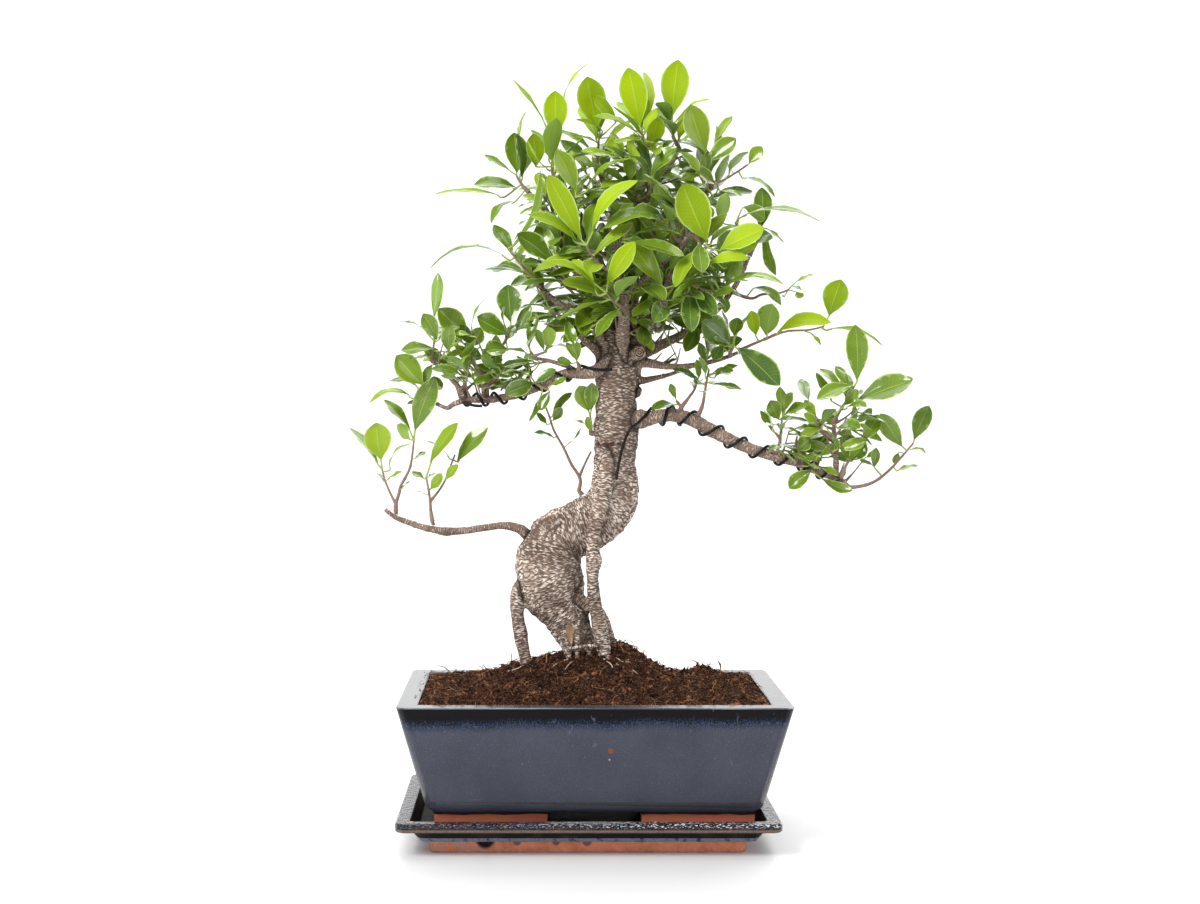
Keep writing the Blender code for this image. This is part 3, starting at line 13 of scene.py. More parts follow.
import bmesh
import bpy
from mathutils import Matrix, Vector, noise
from mathutils.bvhtree import BVHTree
from mathutils.kdtree import KDTree

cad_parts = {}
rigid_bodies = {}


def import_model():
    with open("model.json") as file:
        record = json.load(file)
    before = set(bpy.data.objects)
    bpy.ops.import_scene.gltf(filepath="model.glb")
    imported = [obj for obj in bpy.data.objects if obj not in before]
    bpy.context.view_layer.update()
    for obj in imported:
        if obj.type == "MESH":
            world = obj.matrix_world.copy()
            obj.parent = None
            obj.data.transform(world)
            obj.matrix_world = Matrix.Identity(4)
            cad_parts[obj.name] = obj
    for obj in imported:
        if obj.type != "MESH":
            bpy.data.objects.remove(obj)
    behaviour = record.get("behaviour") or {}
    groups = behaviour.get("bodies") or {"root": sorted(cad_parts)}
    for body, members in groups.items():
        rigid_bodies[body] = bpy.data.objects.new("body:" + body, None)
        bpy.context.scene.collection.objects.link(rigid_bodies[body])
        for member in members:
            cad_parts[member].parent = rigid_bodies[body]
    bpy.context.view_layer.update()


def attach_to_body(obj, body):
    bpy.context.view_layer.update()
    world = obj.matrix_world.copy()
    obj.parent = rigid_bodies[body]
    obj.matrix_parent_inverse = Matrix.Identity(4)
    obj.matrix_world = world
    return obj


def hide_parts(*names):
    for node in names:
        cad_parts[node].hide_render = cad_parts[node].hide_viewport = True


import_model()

bl_info = {
    "name": "Potted bonsai fig",
    "version": (1, 0, 0),
    "blender": (4, 5, 0),
    "location": "View3D > Sidebar > Bonsai",
    "description": "Dresses the packed bonsai fig with bark, leaves, soil, glaze and a plain stage",
    "category": "Object",
}

MM = 0.001
GAP = 0.3

# Where the photograph was taken from
EYE_X = -44.0
EYE_Z = 440.0
EYE_DISTANCE = 2000.0

# Drip tray: each row is half width, half depth, corner radius and height
TRAY_OUTSIDE = (
    (150.0, 94.0, 8.0, 0.0),
    (151.0, 95.0, 8.0, 1.0),
    (151.0, 95.0, 8.0, 12.0),
    (160.5, 104.0, 9.0, 12.0),
    (163.0, 106.5, 9.0, 16.0),
    (169.5, 112.5, 10.0, 24.6),
    (182.0, 124.5, 10.0, 24.6),
    (182.5, 125.0, 10.0, 26.0),
    (182.5, 125.0, 10.0, 31.8),
    (181.3, 123.8, 9.0, 33.0),
)
TRAY_INSIDE = (
    (169.3, 111.8, 8.0, 33.0),
    (168.0, 110.5, 8.0, 31.8),
    (163.5, 106.0, 8.0, 21.0),
    (162.3, 104.8, 8.0, 20.0),
)
TRAY_FLOOR = 20.0

# Bowl
BOWL_X = 6.0
BOWL_OUTSIDE = (
    (150.0, 92.5, 10.0, 38.0),
    (156.5, 99.0, 11.0, 39.5),
    (160.5, 103.0, 12.0, 43.5),
    (162.8, 105.3, 12.0, 50.0),
    (187.0, 129.5, 10.0, 141.0),
    (187.5, 130.0, 10.0, 141.9),
    (186.4, 128.9, 9.0, 143.0),
)
BOWL_INSIDE = (
    (169.4, 111.9, 6.0, 143.0),
    (168.0, 110.5, 6.0, 141.6),
    (152.0, 94.5, 8.0, 51.0),
    (149.0, 91.5, 8.0, 48.0),
)
BOWL_FLOOR = 48.0
FOOT_SPAN = (44.0, 153.5)
FOOT_DEPTH = (58.0, 96.0)
FOOT_TAPER = 2.0
DRAIN_RADIUS = 11.0
DRAIN_X = 82.0
CORNER_STEPS = 10

# Soil
SOIL_EDGE = 141.0
SOIL_PEAK = (22.0, 6.0)
SOIL_MOUNDS = ((-20.0, 0.0, 60.0, 60.0, 32.0), (38.0, 12.0, 29.0, 30.0, 23.0))
SOIL_LUMPS = 1.6

# Trunk, aerial roots and limbs: each row is x, y, z and radius
TRUNK_FLAT = 0.88
LIMBS = {
    "trunk": ((32, 0, 503, 9), (31.5, 0, 498, 16), (31, 0, 487, 20.5), (31.5, 0, 470, 23.5), (32, 0, 450, 23.3),
        (30, 0, 428, 20.6), (31, 0, 408, 23), (29.5, 0, 390, 22.6), (28.5, 0, 371, 20.6), (29, 0, 352, 23),
        (28, 0, 336, 25.5), (18, 0, 318, 27), (-3, 0, 304, 27.5), (-28, 0, 291, 29.7), (-37, 0, 269, 33.5),
        (-36, 0, 252, 34), (-31, 0, 236, 32), (-22, 0, 219, 24.5), (-16, 0, 206, 21.5), (-9, 0, 190, 18.5),
        (-5, 0, 176, 17), (-4, 0, 150, 15.5), (-4, 0, 116, 13)),
    "front_root": ((22, -17, 382, 4.5), (21, -22, 364, 7.5), (19, -25, 346, 8.5), (15, -27, 328, 8.5),
        (10, -29, 312, 8), (7, -28, 296, 7), (7, -26, 282, 6.8), (8, -25, 270, 8), (6.5, -24, 258, 6.2),
        (7, -22, 243, 6.3), (9, -20, 228, 6.8), (12, -19, 212, 7.2), (15, -18, 196, 7.6), (17.5, -17, 182, 7.2),
        (18.5, -17, 168, 5.8), (19, -17, 140, 4)),
    "left_root": ((-60, -2, 250, 11), (-67, -3, 235, 9), (-69, -4, 222, 7), (-67.5, -5, 208, 6.8),
        (-65, -6, 194, 7.2), (-62.5, -6, 180, 6.3), (-60, -6, 166, 5.8), (-59.5, -6, 136, 4.5)),
    "thin_root_a": ((-25, -14, 214, 4), (-21, -17, 200, 2.8), (-17.5, -18, 186, 2.4), (-16.5, -18, 158, 2)),
    "thin_root_b": ((-8, -14, 216, 4), (-9, -19, 202, 2.8), (-9, -20, 186, 2.4), (-9, -20, 160, 2)),
    "right_root": ((0, -6, 232, 8), (16, -5, 214, 5.4), (22, -3, 201, 4.4), (26, -2, 190, 3.4),
        (30, -1, 162, 2.2)),
    "back_root": ((-12, 12, 222, 8), (-7, 20, 200, 6.4), (-2, 25, 182, 5.2), (0, 27, 148, 4.2)),
    "surface_root": ((-18, -17, 182, 1.9), (-10, -25, 183, 1.8), (2, -27, 184.5, 1.8), (15, -21, 184, 2.2)),
    "cut_stub": ((48, -6, 477, 9), (52, -18, 477.5, 7.4), (53.5, -25, 478, 7)),
    "right_knob": ((44, 0, 441, 10), (51, 0, 439, 8), (55.5, 0, 438, 4.5)),
    "low_left": ((-48, -2, 280, 8), (-60, -4, 297, 6), (-70, -6, 303, 4.8), (-84, -8, 305, 4),
        (-100, -10, 303, 3.7), (-118, -12, 300.3, 3.8), (-133, -12, 299.3, 4), (-139, -12, 299, 4.7),
        (-147, -12, 300, 4), (-162, -12, 303, 3.4), (-180, -12, 309, 3), (-191, -12, 313.5, 2.6),
        (-201, -12, 321, 2)),
    "middle_left": ((28, -12, 468, 8), (12, -18, 460, 6.8), (-2, -20, 457, 6), (-20, -22, 457, 5.4),
        (-34, -24, 451, 5), (-50, -26, 443, 5), (-66, -26, 437, 4.7), (-82, -26, 433, 4), (-96, -26, 431, 4.2),
        (-112, -26, 431, 3.8), (-122, -26, 430, 3.4), (-133, -26, 426, 2.8), (-139, -26, 422.5, 2.3),
        (-150, -26, 427, 1.8)),
    "middle_left_upper": ((-10, -21.5, 458, 3.8), (-17, -23, 463.5, 3), (-25, -24.5, 466.3, 2.4),
        (-38, -27, 470, 2), (-49, -29, 472, 1.7)),
    "pad_stem_outer": ((-121, -26, 430, 3.2), (-126, -28, 441, 2.8), (-135, -30, 452, 2.5),
        (-144, -31, 461, 2.1), (-152, -32, 468, 1.7)),
    "pad_stem_back": ((-119, -25, 430, 2.8), (-121, -20, 443, 2.3), (-121, -17, 456, 2), (-118, -15, 466, 1.7)),
    "pad_stem_inner": ((-99.5, -26, 431, 3), (-99, -27, 443, 2.4), (-99, -28, 455, 2), (-98, -28, 467, 1.7)),
    "pad_stem_front": ((-102, -27, 431, 2.6), (-103, -30, 443, 2), (-104, -35, 455, 1.8), (-106, -38, 466, 1.6)),
    "right_branch": ((38, -6, 408, 13), (52, -9, 411, 10.4), (62, -11, 412, 8.2), (72, -12, 414, 7.2),
        (84, -13, 415.5, 7), (96, -14, 414, 6.8), (108, -15, 410, 6.8), (122, -16, 402, 6.8), (136, -17, 394.5, 6.5),
        (150, -18, 388, 6), (164, -19, 382, 5.8), (178, -20, 377.5, 5.8), (192, -21, 373.5, 5.6),
        (206, -22, 370, 5.4), (220, -23, 365.5, 5.2), (232, -24, 360, 5), (242, -24, 356.5, 4.8),
        (252, -24, 351, 4.4), (259, -24, 346, 3.2)),
    "right_stem": ((249.5, -24, 352, 3.6), (250, -27, 367, 2.9), (249, -29, 384, 2.7), (248, -30, 397, 2.3),
        (248, -31, 407, 1.8)),
    "leader": ((34, 2, 474, 17), (41, 4, 508, 10), (46, 6, 545, 7.4), (50, 4, 585, 5.8), (54, 0, 625, 4.4),
        (58, -4, 655, 3.2), (61, -6, 680, 2.2)),
    "upper_left": ((24, 0, 474, 13), (14, -6, 505, 8.2), (2, -12, 530, 6), (-8, -16, 556, 4.6),
        (-17, -18, 585, 3.6), (-25, -18, 612, 2.9), (-31, -18, 640, 2.1)),
    "left_arch": ((4, -11, 527, 4.4), (-20, -20, 524, 3.2), (-36, -24, 534, 2.8), (-47, -26, 545, 2.3)),
    "left_out": ((-16, -18, 580, 3.6), (-30, -12, 605, 2.8), (-44, -8, 624, 2.4), (-57, -6, 638, 1.9)),
    "low_bare": ((14, -4, 478, 6.5), (0, -9, 489, 3.6), (-9, -12, 498, 2.8), (-16, -14, 507, 2)),
    "right_up": ((48, -2, 480, 10), (64, -10, 506, 6), (75, -22, 526, 4.4), (83, -32, 552, 3.5),
        (92, -38, 580, 2.6)),
    "right_far": ((52, 6, 476, 8), (78, 14, 487, 5.2), (105, 18, 501, 4.2), (130, 18, 520, 3.5),
        (150, 14, 546, 2.9), (163, 10, 574, 2.1)),
    "right_low": ((50, -6, 470, 6.5), (84, -12, 464, 3.4), (112, -14, 466, 2.8), (138, -16, 472.5, 2.3),
        (152, -17, 478, 1.8)),
    "right_thin": ((48, 6, 448, 4.5), (80, 10, 455, 2.3), (100, 12, 462, 2), (112, 13, 466, 1.7)),
    "back": ((30, 10, 474, 11), (27, 32, 515, 7), (18, 52, 550, 5), (10, 64, 586, 3.8), (4, 70, 618, 2.4)),
    "back_right": ((42, 12, 476, 9.5), (62, 38, 518, 6), (84, 56, 552, 4.4), (104, 66, 584, 3.3),
        (114, 68, 612, 2.3)),
    "front": ((34, -10, 478, 9.5), (38, -34, 512, 5.6), (36, -52, 542, 4.2), (30, -64, 574, 2.8),
        (26, -70, 600, 2)),
    "front_right": ((43, -4, 534, 6.5), (68, -34, 560, 4), (92, -54, 582, 3), (108, -62, 602, 2.1)),
    "top_left": ((50, 3, 592, 5), (28, 14, 628, 3.4), (12, 18, 660, 2.2)),
    "top_right": ((54, 0, 626, 4.6), (78, 10, 654, 3.2), (92, 12, 680, 2.2)),
    "far_right_up": ((50, 6, 572, 6), (84, 18, 600, 4), (108, 16, 622, 3), (124, 8, 642, 2)),
    "back_top": ((47, 6, 556, 6), (52, 38, 600, 4), (56, 52, 640, 2.9), (60, 56, 668, 2)),
}
LIMB_SIDES = {"trunk": 14, "front_root": 8, "left_root": 8}
THIN_LIMB = 4.3

# Training wires: where along the limb the wire crosses its front, and which way it climbs there
WIRE_RADIUS = 1.5
WIRE_POINTS_PER_TURN = 6
WIRES = {
    "wire_right_branch": {
        "limb": "right_branch",
        "lead": ((30, -31.5, 351), (32.5, -28.5, 365), (36, -27, 381), (43, -27.5, 400), (50, -23, 411)),
        "front": (62, 80, 100, 126, 150, 174, 200, 222, 239, 252),
        "tail": ((253, -32, 342), (256, -33, 338)),
    },
    "wire_middle_left": {
        "limb": "middle_left",
        "lead": ((26, -27, 461), (16, -28, 458)),
        "front": (4, -26, -50, -69, -87, -105, -124),
        "tail": ((-112, -34, 425), (-104, -35, 424.5)),
    },
}

# Leaves
BLADE_THICK = 1.2
PETIOLE_HALF = 0.9
ROOT_DEPTH = 0.35
LONGEST_STALK = 21.0
LARGE_BLADE = ((0.2, 0.72), (0.52, 1.02), (0.82, 0.62))
SMALL_BLADE = ((0.3, 0.98), (0.7, 0.92))
TINY_BLADE = ((0.48, 1.0),)
SMALL_LENGTH = 48.0
TINY_LENGTH = 27.0
END_FACES = 3
RING_FACES = 6
CLEARANCE = 0.5
STEM_GAP = 0.55
CROWN_CENTRE = Vector((42.0, 0.0, 590.0))
CROWN_REACH = Vector((150.0, 128.0, 160.0))
# The growth rule: turns, tries and the spans that sizes are drawn from
GOLDEN_ANGLE = math.radians(137.5)
STEM_RADIUS = 1.1
STEM_THICKEST = 1.7
STEM_TIP = 0.85
STEM_LEAD = 2.2
STEM_TRIES = 40
STEM_SWING = 1.5
GIVEN_TRIES = 60
GIVEN_SWING = 1.6
GIVEN_TURNS = (0, 14, -14, 28, -28)
RULED_TRIES = 70
RULED_OPENING = (30, 72)
RULED_STALK = (4, 8)
RULED_LENGTH = (38, 54)
RULED_WIDTH = (0.34, 0.43)
RULED_ARCH = (0.06, 0.15)
OUTER_FULLNESS = 0.62
CROWN_NAMES = ("crown", "back")
CROWN_FLOOR = 462.0


def spray(limb, tone, fill, stems, leaves=()):
    """One leafy spray, with the number of leaves that grow by rule. Its first stem grows from the limb,
    the others from a stem before it. A leaf has base x and z, tip x and z, width, roll (0 faces the
    viewer, 90 faces up), arch and the depth of its tip behind its base.
    """
    return {"limb": limb, "tone": tone, "fill": fill, "stems": stems, "leaves": leaves}


SPRAYS = {
    "low_left_outer": spray("low_left", "mid", 0, (
        ((-190, -12, 318), (-190, -13, 327), (-187, -15, 337), (-185, -16, 345), (-179, -17, 356), (-175, -18, 367),
        (-172, -19, 391)), ((-190, -13, 326), (-196, -11, 338), (-201, -9, 350), (-204, -8, 362))),
        ((-205, 371, -210, 408, 27, 8, 0.05, -4), (-208, 368, -236, 403, 15, 62, 0.06, 16),
        (-171, 400, -151, 453, 22, 25, 0.06, -10), (-176, 402, -202, 431, 15, 52, 0.08, 6),
        (-176, 391, -189, 406, 14, 150, 0.05, 12), (-197, 361, -174, 387, 11, 82, 0.22, -8),
        (-198, 352, -184, 359, 7, 60, 0.05, -8), (-200, 350, -209, 358, 6, 60, 0.05, 8),
        (-171, 372, -160, 379, 6, 40, 0.05, 10), (-186, 340, -175, 350, 4, 70, 0.05, 8))),
    "low_left_inner": spray("low_left", "mid", 0, (
        ((-153, -12, 307), (-155, -13, 318), (-156, -14, 331), (-158, -16, 344), (-160, -17, 354)), ((-155, -14, 329),
        (-147, -12, 340), (-141, -11, 350), (-136, -10, 363), (-131, -10, 376))),
        ((-156, 368, -128, 408, 16, 35, 0.05, -8), (-156, 341, -144, 357, 11, 20, 0.03, -8),
        (-162, 352, -174, 359, 8, 40, 0.03, 8), (-157, 353, -150, 358, 6, 60, 0.03, 9),
        (-140, 350, -128, 366, 10, 30, 0.04, -6), (-129, 369, -98, 403, 20, 40, 0.12, -6),
        (-136, 372, -166, 391, 6, 80, 0.12, 10), (-160, 336, -170, 339, 3.5, 80, 0.1, 3))),
    "pad_low": spray("middle_left", "mid", 2, (
        ((-153, -27, 428), (-160, -29, 438), (-163, -31, 447)),), ((-160, 447, -190, 475, 26, 22, 0.05, -12),
        (-173, 433, -217, 427, 14, 66, 0.27, -6), (-170, 446, -143, 447, 15, 40, 0.06, 12),
        (-166, 430, -179, 427, 7, 60, 0.05, 6), (-163, 452, -186, 450, 8, 75, 0.04, 12))),
    "pad_outer": spray("pad_stem_outer", "mid", 2, (
        ((-155, -33, 472), (-153, -34, 481), (-152, -35, 490)),), ((-151, 482, -185, 480, 17, 45, 0.12, -6),
        (-163, 503, -191, 508, 7, 75, 0.12, 6), (-152, 513, -148, 558, 13, 200, 0.04, 8),
        (-148, 490, -163, 517, 16, 8, 0.05, -8), (-152, 474, -172, 472, 9, 60, 0.05, 12),
        (-152, 468, -162, 446, 15, 30, 0.05, 14), (-138, 476, -136, 505, 15, 15, 0.04, -14))),
    "pad_middle": spray("pad_stem_back", "mid", 3, (
        ((-117, -13, 471), (-118, -12, 480), (-119, -12, 487)),), ((-118, 489, -148, 522, 25, 25, 0.08, -6),
        (-115, 500, -99, 534, 6, 85, 0.12, 10), (-114, 484, -105, 503, 15, 10, 0.04, -10),
        (-116, 472, -128, 482, 12, 30, 0.04, -12), (-113, 484, -126, 505, 13, 25, 0.05, -12))),
    "pad_inner": spray("pad_stem_inner", "dark", 3, (
        ((-97, -28, 471), (-90, -30, 478), (-80, -32, 490), (-76, -33, 503)),),
        ((-74, 495, -109, 514, 24, 35, 0.06, -12), (-75, 508, -78, 546, 25, 6, 0.05, 10),
        (-66, 482, -101, 480, 22, 42, 0.14, -14), (-93, 479, -90, 466, 13, 10, 0.02, -6),
        (-70, 498, -55, 525, 12, 18, 0.04, 8))),
    "pad_root_low": spray("middle_left", "dark", 1, (
        ((-49, -34, 446), (-52, -38, 448)), ((-50, -36, 446), (-44, -40, 443), (-38, -41, 441))),
        ((-53, 448, -81, 437, 17, 40, 0.12, -8), (-52, 446, -30, 461, 14, 45, 0.06, -8),
        (-44, 440, -57, 409, 7, 40, -0.1, -6), (-36, 440, -46, 420, 12, 25, 0.05, -5),
        (-35, 446, -20, 452, 9, 40, 0.03, -8))),
    "pad_root_high": spray("middle_left_upper", "mid", 2, (
        ((-52, -30, 473), (-56, -32, 480)), ((-53, -31, 474), (-45, -34, 477), (-39, -34, 479))),
        ((-57, 484, -50, 518, 11, 20, 0.04, 6), (-54, 470, -84, 464, 12, 50, 0.05, -10),
        (-60, 488, -50, 496, 10, 30, 0.04, -12), (-38, 482, -38, 504, 15, 12, 0.05, -6),
        (-42, 481, -50, 501, 10, 30, 0.04, -10))),
    "limb_leaves": spray("middle_left", "mid", 0, (
        ((-7, -24, 465), (-9, -25, 469)),), ((-9, 470, -11, 490, 12, 20, 0.04, -3),
        (-11, 468, -20, 488, 8, 30, 0.04, 6), (-14, 467, -29, 471, 9, 20, 0.04, -6))),
    "trunk_shoot": spray("trunk", "mid", 0, (
        ((-7, 2, 340), (-6, 2, 352), (-15, 0, 367), (-22, -2, 382), (-32, -4, 400), (-36, -5, 412), (-40, -6, 423)),
        ((-6, 2, 354), (-1, 4, 367), (5, 6, 379))), ((-32, 393, -52, 398, 9, 65, 0.12, -5),
        (-33, 410, -24, 423, 10, 15, 0.03, -5), (-34, 414, -14, 438, 9, 55, 0.14, 6),
        (-39, 406, -49, 418, 7, 30, 0.03, 6), (-21, 384, -4, 405, 3, 60, -0.08, 4))),
    "trunk_hearts": spray("trunk", "mid", 0, (
        ((4.5, -4, 397), (5, -5, 407), (4, -6, 415)),), ((3, 419, -7, 445, 19, 6, 0.03, -2),
        (5, 420, 6, 448, 14, -14, 0.03, 2), (2, 403, -12, 410, 5, 70, 0.14, -3), (6, 400, 1, 414, 8, 20, 0.03, -8))),
    "right_shoot_a": spray("right_branch", "mid", 3, (
        ((95, -14, 423), (102, -14, 432), (109, -13, 442), (111, -12, 450)), ((95, -14, 424), (90, -14, 430))),
        ((90, 432, 84, 447, 8, 25, 0.03, -3), (113, 452, 110, 471, 9, 30, 0.03, -4),
        (112, 446, 108, 455, 6, 30, 0.03, -8))),
    "right_shoot_b": spray("right_branch", "mid", 5, (
        ((114, -17, 419), (117, -18, 428), (119, -19, 440), (121, -20, 452), (123, -21, 461)),),
        ((128, 447, 156, 441, 9, 50, 0.06, -5), (128, 453, 152, 465, 11, 60, 0.15, -6),
        (120, 468, 113, 488, 10, 30, 0.04, -5))),
    "right_middle": spray("right_branch", "mid", 3, (
        ((193, -22, 381), (194, -23, 391), (195, -24, 402), (196, -25, 412)), ((194, -23, 392), (189, -22, 398))),
        ((186, 400, 174, 420, 9, 35, 0.04, -3), (193, 411, 184, 430, 16, 12, 0.04, -6),
        (198, 415, 222, 425, 15, 55, 0.16, -12), (197, 417, 194, 444, 12, 25, 0.04, 8),
        (200, 403, 216, 393, 8, 60, 0.14, -4), (198, 420, 206, 438, 11, 30, 0.04, -8))),
    "right_under": spray("right_branch", "mid", 0, (
        ((224, -28, 361), (225, -30, 360)),), ((226, 360, 203, 342, 17, 30, 0.06, -5),
        (236, 352, 266, 340, 11, 50, -0.08, -5))),
    "right_inner_shoot": spray("right_branch", "mid", 2, (
        ((214, -24, 378), (210, -26, 386), (211, -29, 394)),), ((212, 380, 224, 392, 15, 15, 0.05, -12),
        (214, 374, 236, 370, 10, 50, 0.1, -12))),
    "right_end_up": spray("right_stem", "mid", 4, (
        ((249, -32, 411), (254, -33, 420), (262, -34, 432), (268, -35, 444)),),
        ((271, 450, 269, 506, 22, -12, 0.03, 6), (272, 431, 327, 452, 28, 38, 0.06, -10),
        (270, 447, 231, 431, 18, 40, 0.1, -14), (256, 427, 272, 441, 12, 20, 0.04, -8),
        (246, 430, 230, 458, 12, 40, 0.04, 6), (255, 440, 234, 462, 16, 60, 0.1, 12),
        (250, 403, 269, 403, 15, 45, 0.12, -8))),
    "right_end_left": spray("right_stem", "mid", 3, (
        ((244, -34, 394), (236, -37, 400), (230, -39, 408)),), ((230, 411, 219, 431, 12, 30, 0.04, 8),
        (224, 430, 220, 452, 13, 15, 0.03, 14), (236, 402, 214, 395, 11, 45, 0.08, -4),
        (232, 408, 218, 417, 12, 40, 0.05, -4))),
    "right_side": spray("right_branch", "mid", 1, (
        ((257, -30, 356), (260, -32, 365), (269, -34, 378)),), ((263, 370, 279, 389, 17, 20, 0.05, -6),
        (277, 390, 293, 416, 16, 18, 0.04, 5), (262, 372, 255, 392, 13, 25, 0.04, 8))),
    "right_far_tip": spray("right_branch", "mid", 0, (
        ((264, -24, 343), (280, -23, 345.5), (292, -22, 351), (304, -21, 361), (316, -20, 374), (327, -19, 387)),),
        ((328, 391, 343, 425, 18, 20, 0.05, -4), (316, 384, 294, 417, 18, -12, 0.06, -6),
        (288, 363, 290, 383, 9, 15, 0.03, -4), (324, 381, 341, 376, 7, 60, 0.18, 5),
        (311, 360, 332, 365, 8, 60, 0.06, 5), (314, 381, 308, 367, 7, 30, 0.03, 6),
        (286, 366, 272, 371, 5, 60, 0.05, 5))),
    "crown_left_arch": spray("left_arch", "mid", 3, (
        ((-51, -27, 550), (-63, -30, 564), (-71, -32, 573), (-79, -33, 583)),),
        ((-76, 571, -157, 561, 12, 72, 0.24, -10), (-56, 553, -102, 561, 13, 62, 0.1, 10),
        (-73, 586, -46, 660, 17, 62, -0.12, -14))),
    "crown_left_outer": spray("left_out", "mid", 2, (
        ((-62, -6, 643), (-67, -6, 650), (-70, -6, 656)),), ((-70, 643, -112, 646, 20, 46, 0.14, -8),
        (-82, 634, -153, 637, 7, 76, 0.1, 10), (-72, 629, -95, 607, 13, 55, 0.24, -8),
        (-77, 661, -102, 676, 9, 40, 0.04, 4), (-69, 658, -72, 698, 23, 10, 0.04, -4),
        (-67, 690, -60, 724, 6, 70, 0.06, 10))),
    "crown_left_bare": spray("low_bare", "mid", 3, (
        ((-20, -15, 511), (-28, -17, 516), (-36, -18, 519)),), ((-38, 522, -67, 522, 11, 66, 0.16, -8),
        (-48, 545, -62, 540, 9, 60, 0.1, 6))),
    "crown_left_middle": spray("upper_left", "dark", 4, (
        ((-14, -24, 542), (-22, -34, 554), (-31, -42, 566)),), ((-33, 569, -69, 597, 24, 30, 0.07, -8),
        (-30, 572, -50, 604, 20, 25, 0.05, 14))),
    "crown_front_left": spray("front", "bright", 4, (
        ((22, -62, 560), (8, -68, 572), (0, -72, 586)),), ((-5, 592, -38, 656, 22, 14, 0.06, -6),
        (-9, 589, -58, 616, 18, 50, 0.14, -12), (6, 600, 52, 650, 18, 44, 0.2, -12),
        (8, 576, 47, 607, 12, 60, 0.14, 4))),
    "crown_front_low": spray("front", "bright", 4, (
        ((36, -60, 524), (27, -68, 530), (20, -72, 538)),), ((13, 536, -45, 569, 13, 62, 0.2, -10),
        (21, 546, 49, 589, 18, 12, 0.06, -10), (8, 548, -14, 571, 13, 20, 0.05, 10))),
    "crown_centre_left": spray("upper_left", "mid", 4, (
        ((-22, -28, 606), (-14, -40, 620), (-10, -48, 634)),), ((-10, 640, -30, 681, 20, 12, 0.05, -6),
        (0, 640, 45, 672, 11, 66, 0.16, -8))),
    "crown_top_left": spray("upper_left", "bright", 4, (
        ((-32, -18, 648), (-34, -18, 664), (-32, -19, 684)),), ((-31, 694, -31, 740, 24, -6, 0.04, -5),
        (-22, 737, 4, 769, 7, 70, 0.08, 8), (-41, 708, -74, 752, 9, 60, 0.05, 10),
        (-50, 663, -53, 697, 19, 12, 0.05, -10), (-36, 660, -58, 690, 9, 60, -0.08, -16))),
    "crown_top_middle": spray("top_left", "bright", 4, (
        ((11, 16, 667), (12, 12, 680), (13, 8, 693)),), ((11, 703, 1, 754, 29, 8, 0.04, -6),
        (36, 702, 8, 735, 15, 25, 0.06, -12), (32, 694, -10, 711, 11, 60, 0.1, -16),
        (30, 706, 27, 678, 16, 8, 0.03, -16), (18, 684, -12, 694, 9, 64, 0.12, -18))),
    "crown_top": spray("leader", "bright", 4, (
        ((61, -7, 684), (58, -8, 692), (55, -9, 700)),), ((54, 705, 42, 763, 27, -8, 0.04, -6),
        (60, 700, 62, 731, 11, 35, 0.04, 10), (55, 694, 70, 720, 12, 50, 0.05, 6),
        (66, 682, 72, 713, 18, 8, 0.03, -14), (64, 716, 60, 764, 14, 60, 0.1, 22))),
    "crown_top_right": spray("top_right", "bright", 4, (
        ((91, 10, 686), (87, 7, 696), (86, 5, 706)),), ((86, 714, 92, 771, 28, 6, 0.03, -4),
        (92, 690, 105, 724, 16, 40, 0.05, -8), (92, 686, 111, 693, 9, 62, 0.2, -14),
        (88, 712, 78, 709, 8, 60, 0.1, 8), (100, 722, 122, 728, 8, 66, 0.1, 14))),
    "crown_right_top": spray("far_right_up", "mid", 3, (
        ((124, 4, 646), (121, 0, 657), (119, -4, 669)), ((124, 5, 648), (134, 5, 649), (147, 2, 656), (162, 0, 666))),
        ((120, 678, 104, 726, 26, 8, 0.05, -6), (130, 690, 146, 715, 13, 45, 0.05, 8),
        (124, 670, 150, 692, 19, 35, 0.08, -6), (118, 660, 119, 677, 13, 10, 0.02, -14),
        (133, 643, 109, 662, 16, 35, 0.1, -14), (163, 667, 176, 684, 14, 16, 0.04, -3),
        (157, 653, 189, 633, 11, 58, 0.18, -6), (146, 660, 140, 668, 5, 50, 0.03, 4),
        (134, 640, 157, 634, 9, 56, 0.1, 8))),
    "crown_right_front": spray("front_right", "bright", 4, (
        ((112, -66, 590), (117, -68, 580), (121, -70, 584)),), ((121, 590, 97, 647, 34, 8, 0.06, -8),
        (134, 581, 178, 603, 28, 38, 0.08, -10), (122, 566, 163, 572, 15, 42, 0.2, -12),
        (137, 563, 172, 588, 14, 40, 0.05, 8))),
    "crown_right_edge": spray("right_far", "mid", 3, (
        ((166, 8, 580), (172, 6, 590), (176, 4, 600)), ((165, 8, 581), (158, -2, 594), (149, -12, 608))),
        ((178, 604, 190, 555, 14, -50, 0.14, -4), (176, 606, 198, 588, 9, 60, 0.05, 10),
        (150, 613, 234, 609, 13, 64, 0.15, -10), (150, 628, 180, 612, 18, 40, 0.1, 10),
        (132, 600, 140, 638, 15, 160, 0.04, -12))),
    "crown_right_lower": spray("right_far", "mid", 4, (
        ((152, 6, 536), (166, 2, 532), (176, 0, 536), (192, -2, 537), (203, -3, 541)),),
        ((163, 546, 195, 525, 13, 54, 0.22, -8), (204, 544, 216, 540, 6, 60, 0.16, -4),
        (209, 548, 228, 557, 5, 60, 0.06, 4), (206, 530, 196, 535, 5, 60, 0.05, 5),
        (222, 520, 215, 532, 10, 20, 0.04, 8))),
    "crown_right_long": spray("right_low", "bright", 1, (
